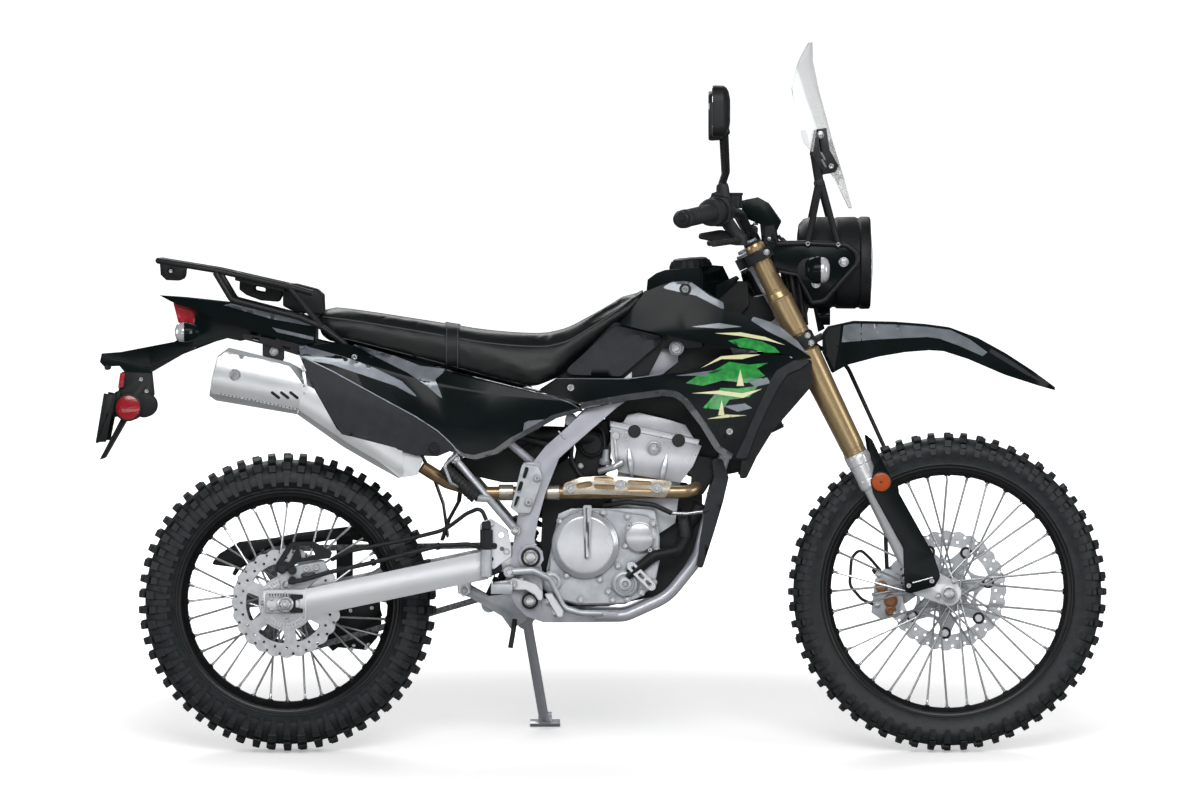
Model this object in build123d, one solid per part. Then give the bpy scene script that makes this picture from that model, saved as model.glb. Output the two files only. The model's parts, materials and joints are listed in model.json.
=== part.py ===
from build123d import *
import os
from math import asin, atan2, cos, degrees, hypot, pi, radians, sin, tan
from typing import NamedTuple

# Dual sport motorcycle, millimetres.
# It is drawn upright: X forward from the rear axle, Y to the rider's left, Z up from the ground.
# At the end everything is leaned onto the side stand, and the origin goes to the middle of the
# footprint, on the ground.
# Side outlines are lists of (x, z). Skins are lists of stations: x, then (z, y) down the outside.

# ---------- Driving dimensions ----------
WHEELBASE = 1440.0
DRAWN_WHEELBASE = 1440.0  # what the side outlines of the front end are drawn at
LEAN = 10.0               # degrees to the left, as it leans on the side stand
RAKE = 26.2               # degrees of the steering axis from vertical
TRAIL = 96.0              # ground point of the steering axis ahead of the front axle
STEER_STOP = 45.0         # degrees each way
FIT = 0.3                 # clearance of turned and curved fits
CHAIN_Y = 72.0            # middle of the chain
PANEL = 3.5               # thickness of the plastic panels


def ahead(points):
    """Points of the front end, moved with the front axle when the wheelbase changes."""
    return [(x + WHEELBASE - DRAWN_WHEELBASE, *rest) for x, *rest in points]


class Wheel(NamedTuple):
    axle_x: float
    radius: float             # over the knobs
    width: float              # over the tyre, which has a round crown
    flange_radius: float      # edge of the rim
    well_radius: float        # inner face of the rim
    rim_half: float           # half the width of the rim
    hub_flange_radius: float
    hub_flange_y: float
    core_radius: float
    hub_half: float           # half the length of the hub
    axle_radius: float


FRONT = Wheel(WHEELBASE, 348.5, 80.0, 275.0, 254.0, 24.0, 31.0, 34.0, 20.0, 60.0, 8.0)
REAR = Wheel(0.0, 326.0, 118.0, 244.0, 218.0, 36.0, 36.0, 40.0, 24.0, CHAIN_Y + 6, 10.0)
RIM_LIP = 3.0
RIM_DEPTH = 11.0          # from the rim's edge down to the bead seat
SPOKES = 36
SPOKE_RADIUS = 1.6
SPOKE_CROSS = 52.0        # degrees from a spoke's rim end round to its hub end
SPOKE_STEP = 5.0          # spokes leave each hub flange this far inside and outside of it
FLANGE_HALF = 1.5


class Disc(NamedTuple):
    radius: float
    inner_radius: float
    y: float                  # middle plane
    waves: int
    boss_radius: float        # carrier on the hub


FRONT_DISC = Disc(132.0, 98.0, 54.0, 14, 43.0)
REAR_DISC = Disc(120.0, 86.0, -64.0, 12, 46.0)
DISC_HALF = 2.0
DISC_WAVE = 4.0           # depth of the waves in the edge
DISC_ARM = 13.0           # width of the arms from the ring to the carrier
CALIPER_GAP = 3.5         # caliper slot to disc face

# Chain drive, on the left
CHAIN_HALF_WIDTH = 7.0
CHAIN_HALF_HEIGHT = 8.0
REAR_PITCH_RADIUS = 114.0
FRONT_PITCH_RADIUS = 34.0
FRONT_SPROCKET = (590.0, 415.0)
SPROCKET_HALF = 3.0
SPROCKET_CLEARANCE = 1.5

# Fork, placed by forward offset a from the steering axis and height s along it
LEG_OFFSET = 21.0
LEG_Y = 96.0
UPPER_TUBE_RADIUS = 22.0
OUTER_TOP_RADIUS = 29.5
OUTER_BOTTOM_RADIUS = 24.0
COLLAR_RADIUS = 25.0
SLIDER_RADIUS = 20.5
LEG_TOP = 1222.0
UPPER_CLAMP = (1183.0, 1207.0)
LOWER_CLAMP = (969.0, 1001.0)
OUTER_BOTTOM = 715.0
COLLAR_BOTTOM = 641.0
STEM_RADIUS = 13.0
HEAD_RADIUS = 30.0
HEAD_GAP = 2.0            # head tube to each clamp
CLAMP_WALL = 9.0
LUG_INNER = 70.0          # inner face of the axle lugs
LUG_OUTER = 114.0
LUG_RADIUS = 26.0

# Frame
SPAR_ROOM = 21.0          # chain to the inside of the pivot plates and rear spars
SPAR_INNER = CHAIN_Y + CHAIN_HALF_WIDTH + SPAR_ROOM
SPAR_WALL = 24.0
SPAR_OUTER = SPAR_INNER + SPAR_WALL
CRADLE_RADIUS = 13.0
PIVOT = (532.0, 428.0)
PIVOT_RADIUS = 10.0
SUBFRAME_RADIUS = 11.0
SUBFRAME_Y = 85.0

# Swingarm
ARM_WALL = 30.0
CHAIN_ROOM = 13.0         # chain to the inside of the arm
ARM_INNER = CHAIN_Y + CHAIN_HALF_WIDTH + CHAIN_ROOM
ARM_OUTER = ARM_INNER + ARM_WALL
ARM_LUG = (SPAR_INNER - 20, SPAR_INNER - 2)    # inside and outside of the pivot lugs

# Bodywork widths, half of each
SEAT_HALF = 104.0
TANK_HALF = 106.0
TAIL_HALF = 98.0
RACK_HALF = 112.0
SCREEN_WALL = 3.0

# Handlebar and mirrors
BAR_RADIUS = 11.0
BAR_CENTRE = ahead([(1008.0, 1128.0)])[0]
BAR_END_Y = 410.0
GRIP_RADIUS = 18.0
GRIP_LENGTH = 118.0
MIRROR_Y = 385.0

# Side stand
STAND_PIVOT = (520.0, SPAR_OUTER + 19, 285.0)
STAND_DOWN = (0.15, 0.42, -0.90)     # direction of the leg when it is out
STAND_UP = (-0.97, 0.14, 0.20)       # direction of the leg when it is folded
STAND_RADIUS = 11.0
FOOT_SIZE = (66.0, 44.0, 7.0)

# Exhaust
HEADER_RADIUS = 14.0
HEADER_Y = -84.0
MUFFLER_Y = (-160.0, -84.0)
EXHAUST_EDGE = 24.0


# ---------- Helpers ----------
def polygon(points):
    return make_face(Polyline(*points, close=True))


def prism(outline, y_from, y_to):
    """Solid between two planes of constant y, from a side outline of (x, z)."""
    face = polygon([(x, y_from, z) for x, z in outline])
    return extrude(face, amount=y_to - y_from, dir=(0, 1, 0))


def column(outline, z_from, z_to):
    """Solid between two heights, from a plan outline of (x, y)."""
    face = polygon([(x, y, z_from) for x, y in outline])
    return extrude(face, amount=z_to - z_from, dir=(0, 0, 1))


def rod(start, end, radius, end_radius=None):
    axis = Vector(*end) - Vector(*start)
    place = Plane(origin=start, z_dir=axis)
    upright = (Align.CENTER, Align.CENTER, Align.MIN)
    if end_radius is None:
        return place * Cylinder(radius, axis.length, align=upright)
    return place * Cone(radius, end_radius, axis.length, align=upright)


def pin(at, radius, y_from, y_to):
    """Cylinder across the motorcycle at a side position (x, z)."""
    return rod((at[0], y_from, at[1]), (at[0], y_to, at[1]), radius)


def pipe(points, radius, bends):
    """Round bar along straight runs joined by arcs, one bend radius per corner."""
    path = FilletPolyline(*points, radius=bends)
    return sweep(Plane(origin=path @ 0, z_dir=path % 0) * Circle(radius), path)


def turned(axle, section):
    """Ring about an axle at (x, z), from a section of (radius, y) joined by straight lines."""
    face = polygon([(axle[0] + r, y, axle[1]) for r, y in section])
    return revolve(face, Axis((axle[0], 0, axle[1]), (0, 1, 0)))


def other_side(shape):
    return mirror(shape, about=Plane.XZ)


def pair(shape):
    """The shape and its mirror image, as solids that stay apart."""
    return [shape, other_side(shape)]


def skin(stations, wall=PANEL):
    """Panel on the left, lofted straight between stations of x and (z, y) points."""
    faces = []
    for x, outside in stations:
        inside = [(z, y - wall) for z, y in reversed(outside)]
        faces.append(polygon([(x, y, z) for z, y in list(outside) + inside]))
    return Solid.make_loft([face.face().outer_wire() for face in faces], True)


def strip(route, width_half, wall):
    """Bent sheet across the motorcycle along a side route of (x, z)."""
    upper, lower = [], []
    for i, (x, z) in enumerate(route):
        ahead = route[min(i + 1, len(route) - 1)]
        behind = route[max(i - 1, 0)]
        run = hypot(ahead[0] - behind[0], ahead[1] - behind[1])
        across = (-(ahead[1] - behind[1]) / run, (ahead[0] - behind[0]) / run)
        upper.append((x + across[0] * wall / 2, z + across[1] * wall / 2))
        lower.append((x - across[0] * wall / 2, z - across[1] * wall / 2))
    return prism(upper + lower[::-1], -width_half, width_half)


# Frame of the steering: x forward of its axis, y left, z up along it, from the ground point
STEER_X = WHEELBASE + TRAIL
STEER_UP = (-sin(radians(RAKE)), 0, cos(radians(RAKE)))
STEER_FORWARD = (cos(radians(RAKE)), 0, sin(radians(RAKE)))
STEER = Plane(origin=(STEER_X, 0, 0), x_dir=STEER_FORWARD, z_dir=STEER_UP)


def in_steer(x, z):
    """Forward offset and height along the steering axis of a side position."""
    dx = x - STEER_X
    return (dx * STEER_FORWARD[0] + z * STEER_FORWARD[2], dx * STEER_UP[0] + z * STEER_UP[2])


def steer_rod(a, y, s_from, s_to, radius, end_radius=None):
    return STEER * rod((a, y, s_from), (a, y, s_to), radius, end_radius)


def steer_plate(outline, s_from, s_to):
    """Plate square to the steering axis, from an outline of (a, y)."""
    return STEER * column(outline, s_from, s_to)


# ---------- Wheels ----------
def axle_of(wheel):
    return (wheel.axle_x, wheel.radius)


def tyre(wheel):
    half = wheel.rim_half - RIM_LIP - FIT
    seat = wheel.flange_radius - RIM_DEPTH + FIT
    crown = wheel.radius - wheel.width / 2
    x, z = axle_of(wheel)
    points = [(seat, half), (wheel.flange_radius + 1, half), (crown, wheel.width / 2)]
    left = [Vector(x + r, y, z) for r, y in points]
    right = [Vector(x + r, -y, z) for r, y in points]
    top = Vector(x + wheel.radius, 0, z)
    lines = [Line(left[0], left[1]), Line(left[1], left[2]), ThreePointArc(left[2], top, right[2]),
             Line(right[2], right[1]), Line(right[1], right[0]), Line(right[0], left[0])]
    return revolve(make_face(lines), Axis((x, 0, z), (0, 1, 0)))


def rim(wheel):
    half, lip = wheel.rim_half, wheel.rim_half - RIM_LIP
    edge, seat, well = wheel.flange_radius, wheel.flange_radius - RIM_DEPTH, wheel.well_radius
    side = [(edge, half), (seat - 1, half), (well, half * 0.45)]
    outer = [(edge, lip), (seat, lip)]
    section = outer[::-1] + side
    section += [(r, -y) for r, y in side[::-1]] + [(r, -y) for r, y in outer]
    return turned(axle_of(wheel), section)


def spokes(wheel):
    made = []
    hub_radius = wheel.hub_flange_radius - 5
    for k in range(SPOKES):
        side = 1 if k % 2 else -1
        turn = 1 if (k // 2) % 2 else -1
        at_rim = 2 * pi * k / SPOKES
        at_hub = at_rim + turn * radians(SPOKE_CROSS)
        hub_y = side * (wheel.hub_flange_y + turn * SPOKE_STEP)
        rim_y = side * wheel.rim_half * 0.15
        ends = []
        for radius, angle, y in ((hub_radius, at_hub, hub_y), (wheel.well_radius - FIT - 0.2, at_rim, rim_y)):
            ends.append((wheel.axle_x + radius * cos(angle), y, wheel.radius + radius * sin(angle)))
        made.append(rod(ends[0], ends[1], SPOKE_RADIUS))
    return made


def hub(wheel, left_boss, right_boss):
    """Hub with two spoke flanges and carriers, each boss a (radius, outer y)."""
    axle = axle_of(wheel)
    body = pin(axle, wheel.core_radius, -wheel.hub_flange_y, wheel.hub_flange_y)
    body += pin(axle, wheel.axle_radius + 6, -wheel.hub_half, wheel.hub_half)
    for side, boss in ((1, left_boss), (-1, right_boss)):
        y = side * wheel.hub_flange_y
        body += pin(axle, wheel.hub_flange_radius, y - FLANGE_HALF, y + FLANGE_HALF)
        radius, outer = boss
        start = side * (wheel.hub_flange_y + SPOKE_STEP + SPOKE_RADIUS + 1)
        body += pin(axle, wheel.core_radius, y, start)
        body += pin(axle, radius, start, side * outer)
    return body - pin(axle, wheel.axle_radius + FIT, -wheel.hub_half - 1, wheel.hub_half + 1)


def brake_disc(wheel, disc):
    axle = axle_of(wheel)
    low, high = disc.y - DISC_HALF, disc.y + DISC_HALF
    plate = pin(axle, disc.radius, low, high)
    scallop = pi * disc.radius / disc.waves * 0.42
    reach = disc.radius + scallop - DISC_WAVE
    for k in range(disc.waves):
        angle = 2 * pi * (k + 0.5) / disc.waves
        at = (axle[0] + reach * cos(angle), axle[1] + reach * sin(angle))
        plate -= pin(at, scallop, low - 1, high + 1)
    open_ring = pin(axle, disc.inner_radius, low - 1, high + 1)
    open_ring -= pin(axle, disc.boss_radius, low - 2, high + 2)
    arms = disc.waves // 2
    for k in range(arms):
        angle = 2 * pi * k / arms
        reach = disc.inner_radius + 10
        across = (-sin(angle) * DISC_ARM / 2, cos(angle) * DISC_ARM / 2)
        along = (cos(angle) * reach, sin(angle) * reach)
        bar = [(axle[0] + across[0], axle[1] + across[1]),
               (axle[0] + across[0] + along[0], axle[1] + across[1] + along[1]),
               (axle[0] - across[0] + along[0], axle[1] - across[1] + along[1]),
               (axle[0] - across[0], axle[1] - across[1])]
        open_ring -= prism(bar, low - 2, high + 2)
    plate -= open_ring
    bore = wheel.axle_radius + 6 + FIT
    return plate - pin(axle, bore, low - 1, high + 1)


# ---------- Chain drive ----------
def belt_outline(radius_change):
    """Outline round both sprockets, grown or shrunk from the pitch line."""
    rear, front = axle_of(REAR), FRONT_SPROCKET
    big, small = REAR_PITCH_RADIUS + radius_change, FRONT_PITCH_RADIUS + radius_change
    dx, dz = front[0] - rear[0], front[1] - rear[1]
    base = atan2(dz, dx)
    swing = asin((big - small) / hypot(dx, dz))
    up, down = base + pi / 2 - swing, base - pi / 2 + swing

    def at(centre, radius, angle):
        return Vector(centre[0] + radius * cos(angle), 0, centre[1] + radius * sin(angle))

    return make_face([
        ThreePointArc(at(rear, big, up), at(rear, big, base + pi), at(rear, big, down)),
        Line(at(rear, big, down), at(front, small, down)),
        ThreePointArc(at(front, small, down), at(front, small, base), at(front, small, up)),
        Line(at(front, small, up), at(rear, big, up))])


def chain():
    lift = Location((0, CHAIN_Y - CHAIN_HALF_WIDTH, 0))
    outer, inner = [extrude(lift * belt_outline(grow), amount=2 * CHAIN_HALF_WIDTH, dir=(0, 1, 0))
                    for grow in (CHAIN_HALF_HEIGHT, -CHAIN_HALF_HEIGHT)]
    return outer - inner


def sprocket(axle, pitch_radius, bore):
    radius = pitch_radius - CHAIN_HALF_HEIGHT - SPROCKET_CLEARANCE
    low, high = CHAIN_Y - SPROCKET_HALF, CHAIN_Y + SPROCKET_HALF
    return pin(axle, radius, low, high) - pin(axle, bore, low - 1, high + 1)


# ---------- Frame ----------
SPAR = [(648, 745), (597, 697), (564, 668), (538, 635), (506, 530), (495, 465), (490, 428),
        (488, 347), (501, 321), (523, 299), (560, 286), (672, 286), (672, 312), (590, 314),
        (558, 340), (556, 400), (540, 465), (546, 502), (564, 568), (593, 642), (634, 679),
        (718, 752), (818, 824), *ahead([(866, 862), (1012, 870), (1086, 907), (1045, 1000), (990, 985)]),
        (848, 905), (755, 833)]
SPAR_PLAN = [(470, SPAR_INNER), (690, SPAR_INNER), *ahead([(915, 30), (1100, 12), (1100, 30), (930, 46)]),
             (712, SPAR_OUTER), (470, SPAR_OUTER)]
# x, y, z of the left front tube, from the pivot plate forward and up to the head
CRADLE = [(660, SPAR_INNER + 6, 299), (737, 92, 299), (829, 78, 340), (893, 66, 419),
          *ahead([(945, 46, 620), (988, 38, 760), (1014, 30, 886)])]
CRADLE_BENDS = [60, 110, 90, 200, 400]
BRACKET = [(516, 633), (553, 633), (545, 590), (530, 522), (510, 518), (488, 536)]
BRACKET_SLOTS = [(520, 612), (510, 585), (500, 552)]
BRACKET_WALL = 5.0
SHOCK_TOP = (612.0, 690.0)
SHOCK_BOTTOM = (440.0, 320.0)
SHOCK_BOLT = 7.0
LINK_BOLT = (530.0, 333.0)


def slot_cut(at, angle, length, radius, y_from, y_to):
    dx, dz = cos(radians(angle)) * length / 2, sin(radians(angle)) * length / 2
    cut = pin((at[0] - dx, at[1] - dz), radius, y_from, y_to)
    cut += pin((at[0] + dx, at[1] + dz), radius, y_from, y_to)
    nx, nz = -sin(radians(angle)) * radius, cos(radians(angle)) * radius
    corners = [(at[0] - dx + nx, at[1] - dz + nz), (at[0] + dx + nx, at[1] + dz + nz),
               (at[0] + dx - nx, at[1] + dz - nz), (at[0] - dx - nx, at[1] - dz - nz)]
    return cut + prism(corners, y_from, y_to)


def main_frame():
    spar = prism(SPAR, 5, SPAR_OUTER + 5) & column(SPAR_PLAN, 200, 1100)
    plate = prism(BRACKET, SPAR_OUTER, SPAR_OUTER + BRACKET_WALL)
    for at in BRACKET_SLOTS:
        plate -= slot_cut(at, 70, 18, 5, SPAR_OUTER - 1, SPAR_OUTER + BRACKET_WALL + 1)
    tube = pipe(CRADLE, CRADLE_RADIUS, CRADLE_BENDS)
    ring = pin(PIVOT, 27, SPAR_OUTER, SPAR_OUTER + 4) + pin(LINK_BOLT, 20, SPAR_OUTER, SPAR_OUTER + 4)
    left = spar + tube + plate + ring
    frame = left + other_side(left)
    frame += steer_rod(0, 0, LOWER_CLAMP[1] + HEAD_GAP, UPPER_CLAMP[0] - HEAD_GAP, HEAD_RADIUS)
    frame += pin((640, 299), 12, -SPAR_INNER - 2, SPAR_INNER + 2)
    shelf = (SHOCK_TOP[0] + 6, SHOCK_TOP[1] + 34)
    frame += pin(shelf, 12, -SPAR_INNER - 4, SPAR_INNER + 4)
    tab = [(shelf[0] - 12, shelf[1]), (SHOCK_TOP[0] - 12, SHOCK_TOP[1] - 12),
           (SHOCK_TOP[0] + 12, SHOCK_TOP[1] - 12), (shelf[0] + 12, shelf[1])]
    for side in (1, -1):
        frame += prism(tab, side * 24, side * 31)
    frame += pin(SHOCK_TOP, SHOCK_BOLT, -31, 31)
    frame -= steer_rod(0, 0, LOWER_CLAMP[0], UPPER_CLAMP[1], STEM_RADIUS + FIT)
    frame -= pin(PIVOT, PIVOT_RADIUS + FIT, -200, 200)
    return frame - pin(LINK_BOLT, 8 + FIT, -200, 200)


RAIL = [(690, SPAR_INNER - 8, 772), (560, SPAR_INNER - 12, 768), (330, SUBFRAME_Y, 812), (63.5, 78, 876),
        (-20, 76, 906)]
RAIL_BENDS = [120, 200, 200]
SEAT_REST = (330.0, 60.0, 840.4)      # top of the rests under the seat
BRACE = [(548, SPAR_INNER - 4, 622), (330, SUBFRAME_Y, 806)]


def subframe(frame):
    left = pipe(RAIL, SUBFRAME_RADIUS, RAIL_BENDS) + rod(BRACE[0], BRACE[1], 9)
    left += rod((SEAT_REST[0], SEAT_REST[1], 808), SEAT_REST, 10)
    rails = left + other_side(left)
    for x, z, half in ((90, 870, 76), (330, 808, SUBFRAME_Y), (560, 768, SPAR_INNER - 14)):
        rails += pin((x, z), 8, -half, half)
    return rails - frame


# ---------- Engine ----------
CASES = [(566, 400), (575, 440), (592, 520), (620, 532), (800, 532), (812, 470), (812, 420),
         (796, 358), (737, 324), (634, 322), (592, 334), (570, 360)]
CYLINDER = [(702, 524), (722, 611), (857, 588), (846, 500), (800, 470)]
HEAD = [(722, 611), (706, 650), (705, 711), (896, 671), (903, 668), (884, 624), (857, 588)]
VALVE_COVER = [(705, 711.4), (733, 719), (742, 735), (767, 740), (837, 723), (868, 713), (894, 671.8)]
CASE_RIGHT, CASE_LEFT, CASE_STATOR = -80.0, 48.0, 78.0
STATOR = (694.0, 430.0)
STATOR_RADIUS = 54.0


FRONT_LUG = [(780, 340), (806, 400), (852, 362), (840, 338)]
LOW_LUG = [(618, 330), (664, 330), (656, 296), (624, 296)]


def engine_cases(frame):
    """Crankcase and cylinder as solid blocks, with the lugs that seat them in the frame."""
    body = prism(CASES, CASE_RIGHT, CASE_LEFT) + prism(CYLINDER, -62, 62)
    body += prism(FRONT_LUG, -24, 24) + pin((840, 352), 9, -80, 80) + prism(LOW_LUG, -34, 34)
    body -= frame
    body += pin(STATOR, STATOR_RADIUS, CASE_LEFT, CASE_STATOR)
    return body + pin(FRONT_SPROCKET, 11, CASE_LEFT, CHAIN_Y - SPROCKET_HALF)


def front_sprocket():
    return sprocket(FRONT_SPROCKET, FRONT_PITCH_RADIUS, 6) + pin(FRONT_SPROCKET, 14,
                                                                CHAIN_Y + SPROCKET_HALF, CHAIN_Y + 9)


def cylinder_head():
    port = rod((872, -24, 632), (892, -24, 622), 22)
    intake = rod((712, -20, 672), (700, -20, 676), 23)
    return prism(HEAD, -76, 76) + prism(VALVE_COVER, -60, 60) + port + intake


# side x, side z, radius, outer y (right side)
RIGHT_COVERS = [(650, 453, 72, -108), (768, 469, 30, -100), (577, 373, 24, -98), (737, 369, 28, -104)]


def engine_covers():
    made = [pin((x, z), radius, CASE_RIGHT, y) for x, z, radius, y in RIGHT_COVERS]
    made.append(pin(STATOR, STATOR_RADIUS - 4, CASE_STATOR, 96))
    return made


INTAKE_Y = -20.0
DUCT_Y = -54.0
DUCT_RADIUS = 20.0
AIRBOX = [(345, 660), (345, 800), (430, 800), (545, 770), (556, 700), (544, 664), (500, 655)]


def airbox():
    box = prism(AIRBOX, -66, 66)
    duct = pipe([(540, DUCT_Y, 692), (650, DUCT_Y, 688), (704, INTAKE_Y, 678)], DUCT_RADIUS, [50])
    shock_room = rod((SHOCK_TOP[0] - 60, 0, SHOCK_TOP[1] - 130), (SHOCK_TOP[0], 0, SHOCK_TOP[1]), 44)
    return box, duct, shock_room


# ---------- Exhaust ----------
HEADER = [(893, -24, 621.5), (903, -40, 588), (880, HEADER_Y, 568), (560, HEADER_Y, 567),
          (430, HEADER_Y - 6, 566), (350, -112, 590), (296, -122, 624)]
HEADER_BENDS = [16, 30, 260, 120, 90]
SHIELD = [(602, 570), (640, 590), (720, 592), (838, 586), (826, 558), (650, 562), (602, 562)]
MUFFLER = [(-164, 778), (-159, 814), (-146, 864), (-123, 882), (8, 850), (120, 792), (250, 706),
           (298, 640), (286, 606), (245, 600), (194, 628), (126, 667), (72, 705), (26, 738), (-150, 768)]


def muffler():
    low, high = MUFFLER_Y
    middle = (low + high) / 2
    body = prism(MUFFLER, low, high)
    taper = [(-400, low), (120, low), (300, middle - 22), (300, middle + 22), (120, high), (-400, high)]
    body &= column(taper, 500, 1000)
    body = chamfer_long_edges(body, EXHAUST_EDGE)
    hanger = [(-46, 900), (-5, 890), (-5, 846), (-46, 856)]
    return body + prism(hanger, -116, -104)


def chamfer_long_edges(body, size):
    """Slopes off the outer long edges of the muffler, top and bottom."""
    low, high = MUFFLER_Y
    for y, side in ((low, 1), (high, -1)):
        for x0, z0, x1, z1, up in ((-170, 893, 8, 850, 1), (8, 850, 260, 690, 1),
                                   (-170, 771, 26, 738, -1), (26, 738, 250, 590, -1)):
            run = hypot(x1 - x0, z1 - z0)
            nx, nz = -(z1 - z0) / run * up, (x1 - x0) / run * up
            section = [(0, y - side * 2, 6), (0, y + side * size, 6), (0, y - side * 2, -size)]
            start = polygon([(x0 + nx * h, yy, z0 + nz * h) for _, yy, h in section])
            body -= extrude(start, amount=run, dir=((x1 - x0) / run, 0, (z1 - z0) / run))
    return body


# ---------- Swingarm ----------
ARM = [(-48, 300), (-48, 356), (36, 357), (424, 439), (440, 436), (440, 380), (48, 298)]
ARM_NOSE = [(378, 384), (378, 428), (470, 448), (532, 455), (557, 440), (560, 420), (540, 402), (470, 396)]


def swingarm():
    """Arms with the rear axle and the pivot bolt, and lugs for the rising rate link."""
    arm = prism(ARM, ARM_INNER, ARM_OUTER)
    nose = prism(ARM_NOSE, ARM_LUG[0], ARM_LUG[1])
    lug = prism([(370, 392), (402, 392), (400, 350), (386, 338), (372, 350)], 44, 54)
    spacer = pin(axle_of(REAR), 17, REAR.hub_half + 1, ARM_INNER)
    left = arm + nose + lug + spacer
    body = left + other_side(left)
    body += prism([(376, 388), (376, 428), (434, 430), (434, 392)], -ARM_INNER - 1, ARM_INNER + 1)
    body += pin(axle_of(REAR), REAR.axle_radius, -ARM_OUTER - 14, ARM_OUTER + 14)
    body += pin(axle_of(REAR), 17, ARM_OUTER, ARM_OUTER + 12) + pin(axle_of(REAR), 17, -ARM_OUTER - 12, -ARM_OUTER)
    body += pin(PIVOT, PIVOT_RADIUS, -SPAR_OUTER - 8, SPAR_OUTER + 8)
    return body - pin(LINK_REAR, 8 + FIT, -60, 60)


LINK_REAR = (386.0, 352.0)
LINK = [(372, 346), (378, 362), (392, 366), (440, 340), (530, 350), (545, 333), (520, 285), (488, 268),
        (468, 296), (400, 336)]


def shock_linkage():
    plate = prism(LINK, 30, 38)
    body = plate + other_side(plate)
    body += pin(LINK_REAR, 8, -43, 43) + pin(SHOCK_BOTTOM, SHOCK_BOLT, -38, 38)
    body += pin(LINK_BOLT, 8, -SPAR_OUTER - 10, SPAR_OUTER + 10)
    lug = pin(LINK_REAR, 8, 43, 58)
    return body + lug + other_side(lug)


def along_shock(distance):
    length = hypot(SHOCK_TOP[0] - SHOCK_BOTTOM[0], SHOCK_TOP[1] - SHOCK_BOTTOM[1])
    share = distance / length
    return (SHOCK_BOTTOM[0] + (SHOCK_TOP[0] - SHOCK_BOTTOM[0]) * share, 0,
            SHOCK_BOTTOM[1] + (SHOCK_TOP[1] - SHOCK_BOTTOM[1]) * share)


def rear_shock():
    body = pin(SHOCK_BOTTOM, 17, -22, 22) + pin(SHOCK_TOP, 15, -23, 23)
    body += rod(along_shock(8), along_shock(170), 17)
    body += rod(along_shock(160), along_shock(345), 35)
    body += rod(along_shock(340), along_shock(400), 17)
    body -= pin(SHOCK_BOTTOM, SHOCK_BOLT + FIT, -60, 60)
    return body - pin(SHOCK_TOP, SHOCK_BOLT + FIT, -60, 60)


# ---------- Brakes ----------
CALIPER_HALF = 12.0
REAR_CALIPER = [(-23, 398), (-18, 446), (20, 458), (72, 456), (96, 436), (92, 404), (60, 384)]
FRONT_CALIPER = ahead([(1276, 300), (1284, 372), (1305, 396), (1338, 392), (1342, 330), (1334, 292),
                       (1296, 286)])


def caliper(outline, wheel, disc):
    body = prism(outline, disc.y - CALIPER_HALF, disc.y + CALIPER_HALF)
    room = DISC_HALF + CALIPER_GAP
    return body - pin(axle_of(wheel), disc.radius + CALIPER_GAP, disc.y - room, disc.y + room)


def rear_caliper():
    body = caliper(REAR_CALIPER, REAR, REAR_DISC)
    bracket = prism([(26, 322), (20, 420), (84, 420), (84, 340), (70, 322)], -ARM_INNER, REAR_DISC.y - CALIPER_HALF)
    return body + bracket


def front_caliper():
    body = caliper(FRONT_CALIPER, FRONT, FRONT_DISC)
    inner = FRONT_DISC.y + CALIPER_HALF
    bracket = prism(ahead([(1300, 300), (1300, 392), (1352, 420), (1392, 400), (1396, 352), (1352, 320)]),
                    inner, LUG_INNER)
    return body + bracket


# ---------- Fork ----------
def leg_solid(extra=0.0):
    """One whole leg, left, grown by a clearance, for cutting what surrounds it."""
    parts = steer_rod(LEG_OFFSET, LEG_Y, LOWER_CLAMP[0], LEG_TOP + 4, UPPER_TUBE_RADIUS + extra)
    parts += steer_rod(LEG_OFFSET, LEG_Y, 945, LOWER_CLAMP[0], OUTER_TOP_RADIUS + extra)
    parts += steer_rod(LEG_OFFSET, LEG_Y, OUTER_BOTTOM, 945, OUTER_BOTTOM_RADIUS + extra,
                       OUTER_TOP_RADIUS + extra)
    parts += steer_rod(LEG_OFFSET, LEG_Y, COLLAR_BOTTOM, OUTER_BOTTOM, COLLAR_RADIUS + extra)
    return parts + steer_rod(LEG_OFFSET, LEG_Y, 380, COLLAR_BOTTOM, SLIDER_RADIUS + extra)


def fork_tubes():
    """Outer tubes of the upside down fork, clear of the clamps by a fit."""
    leg = steer_rod(LEG_OFFSET, LEG_Y, 946, LEG_TOP, UPPER_TUBE_RADIUS)
    leg += steer_rod(LEG_OFFSET, LEG_Y, 945, LOWER_CLAMP[0] - FIT, OUTER_TOP_RADIUS)
    leg += steer_rod(LEG_OFFSET, LEG_Y, OUTER_BOTTOM, 945, OUTER_BOTTOM_RADIUS, OUTER_TOP_RADIUS)
    return pair(leg)


def axle_lug(extra=0.0):
    a, s = in_steer(*axle_of(FRONT))
    lug = pin(axle_of(FRONT), LUG_RADIUS + extra, LUG_INNER - extra, LUG_OUTER + extra)
    web = [(LEG_OFFSET - SLIDER_RADIUS - extra, s + 92), (LEG_OFFSET - SLIDER_RADIUS - extra, s + 30),
           (a - 24, s - 14), (a + 24, s - 6), (a + 26 + extra, s + 10),
           (LEG_OFFSET + SLIDER_RADIUS + extra, s + 92)]
    face = polygon([(u, LUG_INNER - extra, v) for u, v in web])
    return lug + STEER * extrude(face, amount=LUG_OUTER - LUG_INNER + 2 * extra, dir=(0, 1, 0))


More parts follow.
